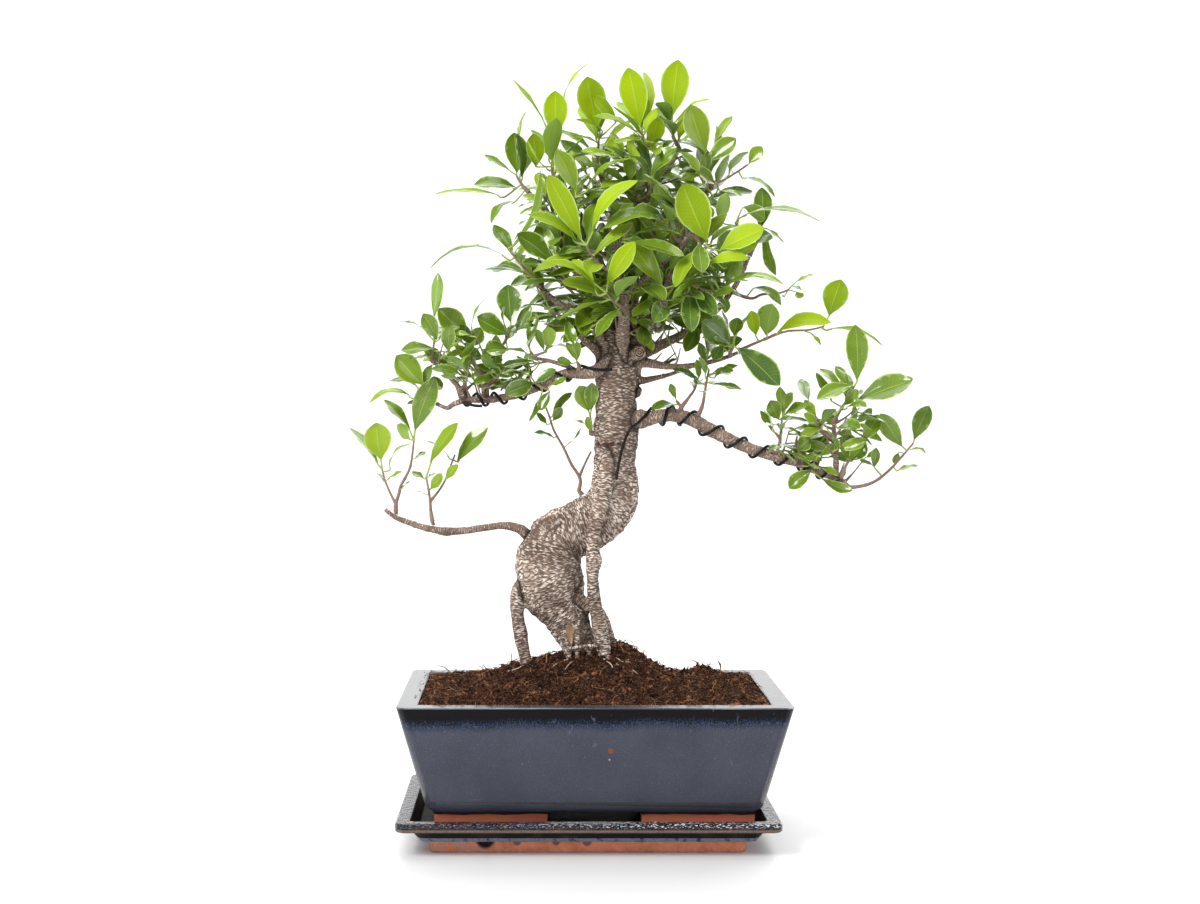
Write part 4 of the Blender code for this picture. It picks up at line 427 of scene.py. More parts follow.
        ((156, -19, 481), (166, -20, 486), (178, -22, 491), (190, -24, 497)), ((178, -22, 491), (200, -16, 499),
        (222, -10, 500.5), (238, -8, 504))), ((191, 498, 245, 508, 19, 42, 0.2, -10),
        (243, 515, 255, 551, 25, 10, 0.05, -3), (240, 501, 297, 484, 9, 60, 0.16, 4),
        (180, 495, 186, 527, 24, 165, 0.04, 10), (222, 499, 235, 485, 8, 60, 0.1, -5),
        (170, 495, 165, 520, 14, 10, 0.03, -4))),
    "crown_right_dark": spray("right_low", "dark", 5, (
        ((144, -26, 477), (146, -34, 481), (148, -40, 485)),), ((152, 483, 194, 445, 28, 26, 0.1, -12),
        (144, 487, 116, 510, 30, 22, 0.05, -12), (148, 495, 152, 513, 14, 10, 0.03, 8),
        (137, 485, 127, 471, 13, 12, 0.03, -6))),
    "crown_middle_right": spray("right_up", "mid", 5, (
        ((92, -42, 556), (106, -54, 546), (122, -62, 540), (133, -66, 541)),), ((137, 543, 198, 546, 15, 62, 0.2, -8),
        (132, 552, 86, 531, 13, 62, 0.18, -12), (118, 530, 148, 541, 12, 48, 0.1, -14))),
    "crown_front_middle": spray("right_up", "mid", 4, (
        ((76, -34, 518), (80, -46, 522), (80, -54, 532), (77, -60, 543)),), ((76, 547, 38, 597, 24, 22, 0.08, -12),
        (106, 501, 92, 532, 16, 10, 0.04, -8), (90, 546, 120, 570, 15, 35, 0.05, 8))),
    "crown_front_inner": spray("right_up", "mid", 4, (
        ((72, -8, 500), (76, -4, 504), (80, -6, 512)),), ((70, 498, 50, 508, 12, 50, 0.14, -12),
        (103, 478, 80, 467, 10, 40, 0.06, -6))),
    "crown_thin_right": spray("right_thin", "mid", 3, (
        ((116, 13, 469), (124, 13, 474), (130, 12, 482)),)),
    "crown_centre": spray("leader", "dark", 5, (
        ((60, -14, 628), (66, -26, 638), (66, -34, 650)),), ((65, 656, 91, 684, 19, 42, 0.14, -8),
        (90, 683, 114, 660, 14, 40, 0.1, 6), (70, 650, 97, 652, 10, 60, 0.16, -10),
        (44, 650, 41, 674, 16, 30, 0.1, 6))),
    "crown_centre_front": spray("front_right", "dark", 4, (
        ((88, -62, 592), (84, -66, 602), (80, -68, 611)),), ((78, 613, 18, 602, 20, 50, 0.2, -10),
        (84, 614, 70, 648, 15, 25, 0.05, 8))),
    "back_left_low": spray("back", "mid", 4, (
        ((0, 52, 528), (-18, 56, 542), (-34, 58, 556)), ((-18, 56, 542), (-22, 70, 562)))),
    "back_left_high": spray("back", "mid", 4, (
        ((2, 72, 624), (-6, 76, 640), (-10, 78, 655)), ((-2, 74, 632), (-18, 80, 640)))),
    "back_centre": spray("back", "mid", 4, (
        ((28, 62, 544), (38, 80, 562), (42, 92, 584)),)),
    "back_right_low": spray("back_right", "mid", 4, (
        ((78, 62, 522), (96, 76, 532), (114, 82, 546)), ((96, 76, 532), (100, 92, 548)))),
    "back_right_high": spray("back_right", "mid", 5, (
        ((116, 68, 617), (120, 66, 634), (118, 64, 650)), ((118, 67, 626), (134, 66, 638)))),
    "back_crown": spray("back_top", "mid", 4, (
        ((60, 57, 673), (58, 56, 688), (54, 52, 704)), ((59, 57, 681), (74, 60, 692)))),
    "back_upper_left": spray("top_left", "mid", 3, (
        ((18, 26, 642), (4, 40, 652), (-6, 46, 668)),)),
}

# Looks. Heights in metres at which one glaze, clay, bark tone or painted light starts to give way to another, and
# where it is gone
UNDER_BAND = (0.1245, 0.1365)
BLACK_BAND = (0.1325, 0.1405)
SHINY_BAND = (0.128, 0.137)
# Painted shadow along the bottom of the bowl's wall
FOOT_SHADE = (0.0464, 0.0436)
FOOT_GLAZE = (0.0378, 0.0386)
TRAY_COVE = (0.0255, 0.0235)
# Painted highlights: glints along the top of the tray's lip
TRAY_HIGHLIGHT_BAND = (0.0282, 0.0305)
TRAY_LIP_TOP = (0.0282, 0.027)
TRAY_LIP_FOOT = (0.0246, 0.0258)
TRAY_CLAY = (0.0124, 0.0116)
# The old bark of the trunk darkens from the first height to the second
BARK_DARKER_ABOVE = (0.33, 0.4)
# Single spots in millimetres
RUST_SPOT = (20.5, -118.5, 101.0)
CHIP_SPOT = (19.5, -115.5, 92.5)
TRAY_STAINS = (((-67.8, -95.0, 10.5), 5.0), ((-30.7, -95.0, 10.5), 4.6), ((-1.1, -95.0, 10.5), 5.6))
TRAY_DRIP = (-98.0, -95.0, 12.5)
TRAY_FILM = (-128.0, -95.0, 6.0)
SCAR_SPOT = (20.0, -23.0, 386.0)
PALE_LIMBS = ("cut_stub", "right_knob")
YOUNG_LEAVES = (("low_left_outer", 0),)
KNOTS = (((53.5, -25.0, 478.0), 7.5), ((-27.0, -26.0, 304.0), 5.0), ((-52.0, -14.0, 289.0), 4.5))
SPILLS = ((-168.5, -163.5, -70.0, 108.0), (-150.0, -90.0, 112.5, 118.0))
# A small heap at the back right: its place x and y, its half widths and its height
SOIL_HEAP = (122.0, 70.0, 24.0, 19.0, 10.0)
FINE_LIMB = 3.4
WIRE_END = ((17, -20, 354), (14.5, -21, 357.5), (14, -21.5, 363), (15.5, -21, 369), (17, -19, 371))
# Thin pale roots that creep over the soil: where they lie, x and y
ROOT_HAIRS = (
    ((20, -21), (30, -30), (44, -32), (56, -38)), ((24, -16), (36, -24), (50, -19)), ((16, -24), (25, -34), (21, -46)),
    ((-17, -20), (-28, -27), (-36, -38)), ((-8, -22), (-16, -30), (-22, -44)),
    ((-61, -8), (-68, -16), (-79, -13)), ((-60, -10), (-54, -21), (-46, -22)),
)
DRY_LEAF = ((-14.5, -24, 186), (-16.0, -27, 208))

SHARP_GLAZED = math.radians(50)
SHARP_GROWN = math.radians(75)
# Soil: how high its clods, its rough parts and its grains stand
CLUMP_HEIGHT = 9.0
ROUGH_HEIGHT = 4.2
CRUMB_HEIGHT = 2.4
# Bark: spacing of the frames along a limb, how many are looked at round a point, the width of the seam
# between two limbs, what keeps one limb's grain apart from the next one's, and the rings of a knot
LIMB_STEP = 2.5
NEAR_FRAMES = 24
SEAM_WIDTH = 5.0
GRAIN_STRIDE = 531.7
KNOT_RINGS = 2800.0

# A blade from its base to its tip: how far along, and its share of the full half width
LEAF_OUTLINE = (
    (0.0, 0.04), (0.1, 0.25), (0.24, 0.6), (0.4, 0.88), (0.56, 1.0), (0.7, 0.96), (0.83, 0.74),
    (0.92, 0.44), (0.975, 0.17), (1.0, 0.0),
)
STEM_SIDES = 7
LEAF_FOLD = 0.0026
LEAF_THICK = 0.0005
LEAF_TONES = {"bright": 0.9, "mid": 0.49, "dark": 0.3, "inner": 0.64}
LEAF_SLOTS = {"bright": "leaf_bright", "mid": "leaf_mid"}

# Limbs that carry the inner twigs, with the spacing of those twigs in millimetres
INNER_LIMBS = {
    "leader": 8.0, "upper_left": 10.0, "left_arch": 12.0, "left_out": 12.0, "low_bare": 16.0, "right_up": 11.0,
    "right_far": 11.0, "right_low": 17.0, "back": 10.0, "back_right": 11.0, "front": 11.0, "front_right": 11.0,
    "top_left": 11.0, "top_right": 12.0, "far_right_up": 11.0, "back_top": 11.0,
    "pad_stem_outer": 13.0, "pad_stem_back": 13.0, "pad_stem_inner": 13.0, "pad_stem_front": 13.0,
    "middle_left_upper": 16.0, "middle_left": 7.0, "right_branch": 5.5, "right_stem": 5.0,
}
INNER_TRIES = 4
INNER_LEAF_TRIES = 14
INNER_FLOOR = 488.0
INNER_CENTRE = Vector((40.0, 0.0, 580.0))
INNER_REACH = Vector((118.0, 112.0, 122.0))
PAD_LIMBS = {
    "pad_stem_outer": (Vector((-118.0, -28.0, 470.0)), Vector((52.0, 42.0, 36.0))),
    "pad_stem_back": (Vector((-118.0, -28.0, 470.0)), Vector((52.0, 42.0, 36.0))),
    "pad_stem_inner": (Vector((-112.0, -28.0, 470.0)), Vector((52.0, 42.0, 36.0))),
    "pad_stem_front": (Vector((-112.0, -30.0, 470.0)), Vector((52.0, 42.0, 36.0))),
    "middle_left_upper": (Vector((-50.0, -28.0, 470.0)), Vector((48.0, 34.0, 30.0))),
    "middle_left": (Vector((-102.0, -28.0, 464.0)), Vector((54.0, 36.0, 30.0))),
    "right_branch": (Vector((236.0, -26.0, 390.0)), Vector((56.0, 34.0, 40.0))),
    "right_stem": (Vector((244.0, -28.0, 396.0)), Vector((60.0, 34.0, 44.0))),
}

# Stage: each lamp's name, place, aim and size in metres, and its power in watts
LIGHTS = (
    ("key", (-1.7, -1.8, 2.2), (0.0, 0.0, 0.35), (1.3, 1.1), 92.0),
    ("fill", (2.2, -1.8, 1.2), (0.0, 0.0, 0.35), (1.4, 1.6), 13.0),
    ("top", (0.2, 0.3, 2.6), (0.0, 0.0, 0.35), (1.8, 1.8), 26.0),
    ("rear", (0.9, 1.5, 1.6), (0.0, 0.0, 0.35), (1.4, 1.2), 12.0),
    ("wall", (0.0, 1.1, 3.0), (0.0, 2.7, 0.5), (4.0, 0.6), 50.0),
)
CAMERA_SHIFT = (0.0483, -0.05125)
CAMERA_LENS = 60.0
CAMERA_SENSOR = 36.0
# The stage in metres: floor from front to back, radius of the curve, top of the backdrop, half width
STAGE_FRONT = -3.0
STAGE_BACK = 1.9
STAGE_CURVE = 0.8
STAGE_STEPS = 12
STAGE_TOP = 4.0
STAGE_HALF = 5.0


def seen(x, y, z):
    """The true place of a point that the camera shows at x, z of the trunk's plane."""
    reach = 1 + y / EYE_DISTANCE
    return Vector((EYE_X + (x - EYE_X) * reach, y, EYE_Z + (z - EYE_Z) * reach))


def helper(name, data):
    """A new object with this data, linked to the scene."""
    obj = bpy.data.objects.new(name, data)
    bpy.context.scene.collection.objects.link(obj)
    return obj


def remove(*objects):
    for obj in objects:
        bpy.data.objects.remove(obj, do_unlink=True)


def evaluated_mesh(obj):
    """A plain mesh of the object as its modifiers leave it."""
    bpy.context.view_layer.update()
    graph = bpy.context.evaluated_depsgraph_get()
    return bpy.data.meshes.new_from_object(obj.evaluated_get(graph))


def stored(work, name):
    """A new mesh of what the work holds."""
    mesh = bpy.data.meshes.new(name)
    work.to_mesh(mesh)
    work.free()
    return mesh


def combine(name, base, others, operation):
    """The base mesh joined with the others, or with the others taken away from it."""
    body = helper(name, base)
    group = bpy.data.collections.new(name + "_group")
    group.hide_render = True
    bpy.context.scene.collection.children.link(group)
    for number, mesh in enumerate(others):
        other = bpy.data.objects.new(f"{name}_{number}", mesh)
        other.display_type = "WIRE"
        group.objects.link(other)
    modifier = body.modifiers.new("combine", "BOOLEAN")
    modifier.operation = operation
    modifier.operand_type = "COLLECTION"
    modifier.collection = group
    modifier.solver = "EXACT"
    result = evaluated_mesh(body)
    remove(body, *group.objects)
    bpy.data.collections.remove(group)
    work = bmesh.new()
    work.from_mesh(result)
    bmesh.ops.triangulate(work, faces=work.faces)
    work.to_mesh(result)
    work.free()
    return result


def limb_samples(rows):
    """(point, radius) samples of a limb at its true place."""
    return [(seen(x, y, z), radius) for x, y, z, radius in rows]


def poly_curve(name, paths):
    """A curve with one spline for each path of (point, radius) samples, radii in millimetres."""
    curve = bpy.data.curves.new(name, "CURVE")
    curve.dimensions = "3D"
    for path in paths:
        spline = curve.splines.new("POLY")
        spline.points.add(len(path) - 1)
        for knot, (point, radius) in zip(spline.points, path):
            knot.co = (*(point * MM), 1.0)
            knot.radius = radius
    return curve


def tube(name, samples, bevel, flat=1.0):
    """A closed tube along (point, radius) samples; bevel 1 gives six sides, each step two more."""
    curve = poly_curve(name, [samples])
    curve.bevel_depth = MM
    curve.bevel_resolution = bevel
    curve.use_fill_caps = True
    obj = helper(name, curve)
    mesh = evaluated_mesh(obj)
    remove(obj)
    bpy.data.curves.remove(curve)
    work = bmesh.new()
    work.from_mesh(mesh)
    bmesh.ops.remove_doubles(work, verts=work.verts, dist=MM / 100)
    bmesh.ops.scale(work, vec=(1, flat, 1), verts=work.verts)
    bmesh.ops.recalc_face_normals(work, faces=work.faces)
    work.to_mesh(mesh)
    work.free()
    return mesh


def limb_bevel(name):
    """Bevel steps for a limb: more sides for the thick ones."""
    middle = LIMBS[name][len(LIMBS[name]) // 2][3]
    return LIMB_SIDES.get(name, 4 if middle < THIN_LIMB else 6) // 2 - 2


def rounded_ring(half_x, half_y, corner, along=(0, 0)):
    """Points round a rectangle with rounded corners, with extra points along its long and short sides."""
    ring = []
    for quarter, (side_x, side_y) in enumerate(((1, 1), (-1, 1), (-1, -1), (1, -1))):
        centre = Vector((side_x * (half_x - corner), side_y * (half_y - corner), 0))
        for step in range(CORNER_STEPS + 1):
            angle = math.radians(90 * (quarter + step / CORNER_STEPS))
            ring.append(centre + corner * Vector((math.cos(angle), math.sin(angle), 0)))
        extra = along[quarter % 2]
        turn = ring[-1].copy()
        reach = 2 * (half_x - corner) if quarter % 2 == 0 else 2 * (half_y - corner)
        heading = Vector(((-1, 0, 0), (0, -1, 0), (1, 0, 0), (0, 1, 0))[quarter])
        ring += [turn + heading * reach * (step + 1) / (extra + 1) for step in range(extra)]
    return ring


def loft(name, rings, domed=False):
    """A closed skin over rings of points that have the same count, from the underside to the top."""
    work = bmesh.new()
    rows = [[work.verts.new(point * MM) for point in ring] for ring in rings]
    for low, high in zip(rows, rows[1:]):
        for place_on in range(len(low)):
            work.faces.new((low[place_on - 1], low[place_on], high[place_on], high[place_on - 1]))
    work.faces.new(rows[0])
    top = work.faces.new(rows[-1])
    if domed:
        bmesh.ops.poke(work, faces=[top])
    bmesh.ops.recalc_face_normals(work, faces=work.faces)
    return stored(work, name)


def shell_of(name, profile, shift=0.0):
    """A loft of rounded rectangles from rows of half width, half depth, corner radius and height."""
    rings = []
    for half_x, half_y, corner, height in profile:
        rings.append([point + Vector((shift, 0, height)) for point in rounded_ring(half_x, half_y, corner)])
    return loft(name, rings)


def block(name, low, high, taper=0.0):
    """A box between two corners, narrower by the taper at its underside."""
    work = bmesh.new()
    bmesh.ops.create_cube(work, size=1.0)
    centre, size = (low + high) / 2, high - low
    for vert in work.verts:
        narrow = taper if vert.co.z < 0 else 0.0
        vert.co = Vector((
            centre.x + vert.co.x * (size.x - 2 * narrow),
            centre.y + vert.co.y * (size.y - 2 * narrow),
            centre.z + vert.co.z * size.z,
        )) * MM
    return stored(work, name)


def upright(name, x, y, low, high, radius, sides):
    """A round column between two heights."""
    work = bmesh.new()
    middle = Matrix.Translation(Vector((x, y, (low + high) / 2)) * MM)
    bmesh.ops.create_cone(
        work, cap_ends=True, segments=sides, radius1=radius * MM, radius2=radius * MM,
        depth=(high - low) * MM, matrix=middle,
    )
    return stored(work, name)


def drip_tray():
    return shell_of("drip_tray", TRAY_OUTSIDE + TRAY_INSIDE)


def bowl():
    body = shell_of("bowl", BOWL_OUTSIDE + BOWL_INSIDE, BOWL_X)
    feet = []
    for side_x in (-1, 1):
        for side_y in (-1, 1):
            xs = sorted(BOWL_X + side_x * reach for reach in FOOT_SPAN)
            ys = sorted(side_y * reach for reach in FOOT_DEPTH)
            low = Vector((xs[0], ys[0], TRAY_FLOOR + GAP))
            high = Vector((xs[1], ys[1], BOWL_OUTSIDE[2][3]))
            feet.append(block("foot", low, high, FOOT_TAPER))
    body = combine("bowl", body, feet, "UNION")
    drains = [
        upright("drain", BOWL_X + side * DRAIN_X, 0, BOWL_OUTSIDE[0][3] - 5, BOWL_FLOOR + 5, DRAIN_RADIUS, 20)
        for side in (-1, 1)
    ]
    return combine("bowl", body, drains, "DIFFERENCE")


def soil_height(x, y):
    height = SOIL_EDGE
    for centre_x, centre_y, spread_x, spread_y, rise in SOIL_MOUNDS:
        height += rise * math.exp(
            -(((x - centre_x) / spread_x) ** 2) / 2 - ((y - centre_y) / spread_y) ** 2 / 2
        )
    return height


def wire_path(limb, plan, points_per_turn=WIRE_POINTS_PER_TURN):
    """Points of a wire that is led on, wound round the limb and ended by its tail."""
    crossings = plan["front"]
    heading = 1 if crossings[-1] > crossings[0] else -1
    path = [seen(*point) for point in plan["lead"]]
    for start, end in zip(crossings, crossings[1:]):
        for step in range(points_per_turn):
            share = step / points_per_turn
            target = start + (end - start) * share
            centre, radius, along = station(limb, target)
            side = Vector((0, -1, 0))
            side = (side - along * side.dot(along)).normalized()
            upward = along.cross(side) * -heading
            if upward.z < 0:
                upward = -upward
            angle = 2 * math.pi * share
            away = (radius + WIRE_RADIUS + GAP) / math.cos(math.pi / points_per_turn)
            path.append(centre + away * (side * math.cos(angle) + upward * math.sin(angle)))
    path += [seen(*point) for point in plan["tail"]]
    return path


def station(limb, shown_x):
    """Centre, radius and heading of the limb where the photograph shows it at shown_x."""
    best = None
    for (start, low), (end, high) in zip(limb, limb[1:]):
        first = EYE_X + (start.x - EYE_X) / (1 + start.y / EYE_DISTANCE)
        last = EYE_X + (end.x - EYE_X) / (1 + end.y / EYE_DISTANCE)
        if min(first, last) <= shown_x <= max(first, last) and first != last:
            share = (shown_x - first) / (last - first)
            best = (start.lerp(end, share), low + (high - low) * share, (end - start).normalized())
    return best


def points_and_faces(mesh):
    """Points of the mesh in millimetres, and the corners of its faces."""
    return [vert.co / MM for vert in mesh.vertices], [tuple(face.vertices) for face in mesh.polygons]


def ball_round(points):
    """Centre and radius of a ball that holds the points."""
    centre = sum(points, Vector()) / len(points)
    return centre, max((point - centre).length for point in points)


class Space:
    """What has been placed so far, so that a new piece can be bent clear of it."""

    def __init__(self):
        self.items = []

    def add(self, owner, kind, points, faces):
        self.items.append((owner, kind, *ball_round(points), BVHTree.FromPolygons(points, faces)))

    def add_mesh(self, owner, kind, mesh):
        self.add(owner, kind, *points_and_faces(mesh))

    def free(self, points, faces, ignore):
        """True where the faces cross nothing that was placed, apart from what is ignored."""
        centre, reach = ball_round(points)
        tree = BVHTree.FromPolygons(points, faces)
        for owner, kind, other, other_reach, other_tree in self.items:
            if (owner, kind) in ignore or (other - centre).length > reach + other_reach:
                continue
            if tree.overlap(other_tree):
                return False
        return True


def section(centre, side, up, half, thick):
    """Left edge, right edge and keel of a leaf's cross-section."""
    return [centre - side * half, centre + side * half, centre - up * thick]


def leaf_shape(leaf, extra=0.0):
    """Points of a leaf: a stalk that starts inside its stem and a folded, arched blade."""
    run = leaf["tip"] - leaf["base"]
    length = run.length
    along = run / length
    up = (leaf["up"] - along * leaf["up"].dot(along)).normalized()
    side = along.cross(up)
    blade = TINY_BLADE if length < TINY_LENGTH else SMALL_BLADE if length < SMALL_LENGTH else LARGE_BLADE
    stalk = leaf["base"] - leaf["root"]
    bend = (stalk.normalized() + along).normalized()
    bend_side = bend.cross(up).normalized()
    points = [leaf["root"]]
    if stalk.length > LONGEST_STALK:
        start = leaf["root"] + stalk.normalized()
        points += section(start, bend_side, bend_side.cross(stalk).normalized(), 0.6, 0.9)
    points += section(
        leaf["base"], bend_side, bend_side.cross(bend), PETIOLE_HALF + extra / 2, 1.5 * PETIOLE_HALF + extra
    )
    for reach, share in blade:
        half = leaf["width"] / 2 * share + extra
        centre = leaf["base"] + along * length * reach + up * leaf["arch"] * length * 4 * reach * (1 - reach)
        points += section(centre + up * extra, side, up, half, BLADE_THICK + 2 * extra)
    points.append(leaf["tip"] + along * extra)
    return points


def leaf_faces(count):
    """Triangles over a leaf of this many points, the stalk's first."""
    faces = [(0, 1 + (k + 1) % 3, 1 + k) for k in range(END_FACES)]
    for ring in range(1, count - 4, 3):
        for k in range(3):
            a, b = ring + k, ring + (k + 1) % 3
            faces += [(a, b, b + 3), (a, b + 3, a + 3)]
    last = count - 4
    faces += [(last + k, last + (k + 1) % 3, count - 1) for k in range(END_FACES)]
    return faces


def leaf_parts(leaf, extra=0.0):
    """Points of a leaf with the triangles of its blade and those of its stalk."""
    points = leaf_shape(leaf, extra)
    faces = leaf_faces(len(points))
    rings = 1 if (leaf["base"] - leaf["root"]).length > LONGEST_STALK else 0
    stalk = END_FACES + RING_FACES * rings
    return points, faces[stalk:], faces[:stalk]


def leaf_fits(space, name, leaf):
    points, blade, stalk = leaf_parts(leaf, CLEARANCE)
    if not space.free(points, blade, ()):
        return False
    return space.free(points, stalk, {(name, "stem"), (name, "stalk")})


def keep_leaf(space, name, leaf, kept):
    points, blade, stalk = leaf_parts(leaf)
    space.add(name, "blade", points, blade)
    space.add(name, "stalk", points, stalk)
    kept.setdefault(name, []).append(leaf)


def closest(samples, point):
    """The nearest centre, radius, heading and whether it is the open end of a path."""
    best = None
    for index, ((start, low), (end, high)) in enumerate(zip(samples, samples[1:])):
        span = end - start
        share = max(0.0, min(1.0, (point - start).dot(span) / span.length_squared))
        centre = start.lerp(end, share)
        gap = (point - centre).length
        if best is None or gap < best[0]:
            at_end = index == len(samples) - 2 and share == 1.0
            best = (gap, centre, low + (high - low) * share, span.normalized(), at_end)
    return best[1:]


def stem_samples(rows, limb, skin, paths):
    """(point, radius) samples of a stem; the first of a spray starts just clear of its limb."""
    knots = [seen(*row) for row in rows]
    start_radius = STEM_RADIUS
    if paths:
        knots[0] = attach(paths, knots[0])[0]
    else:
        centre, radius, along, at_end = closest(limb, knots[0])
        away = knots[0] - centre
        outward = along if at_end else (away - along * away.dot(along)).normalized()
        surface = skin.ray_cast(centre + outward * radius * 3, -outward)[0]
        foot = surface + outward * STEM_GAP
        start_radius = min(STEM_THICKEST, radius * 0.85)
        knots = [foot, foot + outward * STEM_LEAD] + knots
    lengths = travels(knots)
    return [
        (knot, start_radius + (STEM_TIP - start_radius) * length / lengths[-1])
        for knot, length in zip(knots, lengths)
    ]


def swing(attempt, step):
    """Nothing, then one step to either side, then two, and so on."""
    return (attempt + 1) // 2 * step * (-1) ** attempt


def place_stems(space, name, plan, limb, wood):
    """The spray's stems, swung in depth until they are clear of what stands there."""
    skin = BVHTree.FromPolygons(*points_and_faces(wood))
    paths = []
    for number, rows in enumerate(plan["stems"]):
        first = number == 0
        last = len(rows) - 1 + first
        for attempt in range(STEM_TRIES):
            depth = swing(attempt, STEM_SWING)
            swung = [(x, y + depth * (index + first) / last, z) for index, (x, y, z) in enumerate(rows)]
            samples = stem_samples(swung, limb, skin, paths)
            mesh = tube("stem", samples, 0)
            if space.free(*points_and_faces(mesh), {(name, "stem")}):
                break
        paths.append(samples)
        space.add_mesh(name, "stem", mesh)
    return paths


def attach(paths, point):
    """Where a stalk that reaches the point leaves the spray's stems."""
    found = [closest(path, point) for path in paths]
    centre, radius, along, at_end = min(found, key=lambda one: (one[0] - point).length)
    return centre - along * (radius if at_end else 0), radius


def given_leaf(paths, row):
    """A leaf at the place the photograph shows it."""
    base_x, base_z, tip_x, tip_z, width, roll, arch, depth = row
    rough = seen(base_x, paths[0][-1][0].y, base_z)
    centre, radius = attach(paths, rough)
    base = seen(base_x, centre.y - 1.0, base_z)
    tip = seen(tip_x, centre.y - 1.0 + depth, tip_z)
    along = (tip - base).normalized()
    forward = (base - centre).dot(along)
    if forward < 1.0:
        sideways = base - centre - along * forward
        if sideways.length < 3.0:
            sideways = Vector((0, -4, 0)) - along * along.dot(Vector((0, -4, 0)))
        base = centre + sideways + along
    run = tip - base
    across = Vector((-run.z, 0, run.x)).normalized()
    if across.z < 0 or abs(across.z) < 1e-3 and across.x > 0:
        across = -across
    angle = math.radians(roll)
    up = Vector((0, -1, 0)) * math.cos(angle) + across * math.sin(angle)
    inward = (centre - base).normalized()
    root = centre + inward * ROOT_DEPTH * radius
    return {"root": root, "base": base, "tip": tip, "up": up, "width": width, "arch": arch}


def place_given(space, name, plan, paths, kept):
    """The large leaves where the photograph shows them, shifted and turned until they are clear."""
    for row in plan["leaves"]:
        for attempt in range(GIVEN_TRIES):
            leaf = given_leaf(paths, row)
            shift = Vector((0, swing(attempt, GIVEN_SWING), 0))
            turn = GIVEN_TURNS[attempt % len(GIVEN_TURNS)]
            run = (leaf["tip"] - leaf["base"]).normalized()
            leaf["tip"] = leaf["tip"] + shift
            leaf["base"] = leaf["base"] + shift * 0.25
            leaf["up"] = Matrix.Rotation(math.radians(turn), 3, run) @ leaf["up"]
            if leaf_fits(space, name, leaf):
                keep_leaf(space, name, leaf, kept)
                break


def in_envelope(name, tip):
    """True where the outline of the crown leaves room for the tip."""
    if not name.startswith(CROWN_NAMES):
        return True
    away = tip - CROWN_CENTRE
    reach = Vector((away.x / CROWN_REACH.x, away.y / CROWN_REACH.y, away.z / CROWN_REACH.z))
    return reach.length < 1 and tip.z > CROWN_FLOOR


def ruled_leaf(draw, name, path, turn, size):
    """A leaf set on the stem by the growth rule: turned round it, opened from it and bowed down."""
    total = sum((end[0] - start[0]).length for start, end in zip(path, path[1:]))
    travel = total * draw.uniform(0.3, 1.0)
    for (start, low), (end, high) in zip(path, path[1:]):
        step = (end - start).length
        if travel <= step:
            break
        travel -= step
    share = min(1.0, travel / step)
    centre, radius = start.lerp(end, share), low + (high - low) * share
    along = (end - start).normalized()
    radial = along.orthogonal().normalized()
    radial = Matrix.Rotation(turn, 3, along) @ radial
    opening = math.radians(draw.uniform(*RULED_OPENING))
    outward = (centre - CROWN_CENTRE) / CROWN_REACH.x if name.startswith(CROWN_NAMES) else Vector()
    heading = along * math.cos(opening) + radial * math.sin(opening) + outward * 0.4
    heading.z += draw.uniform(-0.15, 0.2)
    heading.normalize()
    base = centre + heading * (radius + draw.uniform(*RULED_STALK))
    bowed = (heading + Vector((0, 0, -0.25))).normalized()
    length = draw.uniform(*RULED_LENGTH) * size
    up = Vector((0, -0.3, 0.8)) + radial * 0.45 + outward * 0.6
    up += Vector((draw.uniform(-0.4, 0.4), draw.uniform(-0.3, 0.3), 0))
    return {
        "root": centre - heading * ROOT_DEPTH * radius, "base": base, "tip": base + bowed * length,
        "up": up, "width": length * draw.uniform(*RULED_WIDTH), "arch": draw.uniform(*RULED_ARCH),
    }


def place_ruled(space, name, plan, paths, kept):
    """The small leaves that grow along the stems by rule, each in the first place that is clear."""
    draw = random.Random(name)
    turn = draw.uniform(0, 2 * math.pi)
    fullness = 1.0 if name.startswith(CROWN_NAMES) else OUTER_FULLNESS
    for number in range(plan["fill"]):
        for attempt in range(RULED_TRIES):
            turn += GOLDEN_ANGLE
            size = fullness * (1 - 0.4 * attempt / RULED_TRIES)
            leaf = ruled_leaf(draw, name, paths[number % len(paths)], turn, size)
            if in_envelope(name, leaf["tip"]) and leaf_fits(space, name, leaf):
                keep_leaf(space, name, leaf, kept)
                break


class Nodes:
    """Short calls for the nodes of a tree, each giving one of the new node's outputs."""

    def add(self, kind, inputs=(), output=0, **settings):
        """Adds a node and gives an output by number or name; a list is linked to one input in its order."""
        node = self.tree.nodes.new(kind)
        for setting, value in settings.items():
            setattr(node, setting, value)
        for socket, value in dict(inputs).items():
            for one in value if isinstance(value, list) else [value]:
                if isinstance(one, bpy.types.NodeSocket):
                    self.tree.links.new(one, node.inputs[socket])
                else:
                    node.inputs[socket].default_value = one
        return node.outputs[output]

    def math(self, operation, first, second=0.0):
        return self.add("ShaderNodeMath", {0: first, 1: second}, operation=operation)

    def times(self, first, second):
        return self.math("MULTIPLY", first, second)

    def plus(self, first, second):
        return self.math("ADD", first, second)

    def minus(self, first, second):
        return self.math("SUBTRACT", first, second)

    def vectors(self, operation, first, second, output="Vector"):
        return self.add("ShaderNodeVectorMath", {0: first, 1: second}, output, operation=operation)

    def scaled(self, vector, factor):
        return self.add("ShaderNodeVectorMath", {0: vector, "Scale": factor}, operation="SCALE")

    def part(self, vector, axis="Z"):
        return self.add("ShaderNodeSeparateXYZ", {0: vector}, axis)


def rgba(colour):
    """The colour as a node takes it, unless it comes from another node."""
    return colour if isinstance(colour, bpy.types.NodeSocket) else (*colour, 1.0)


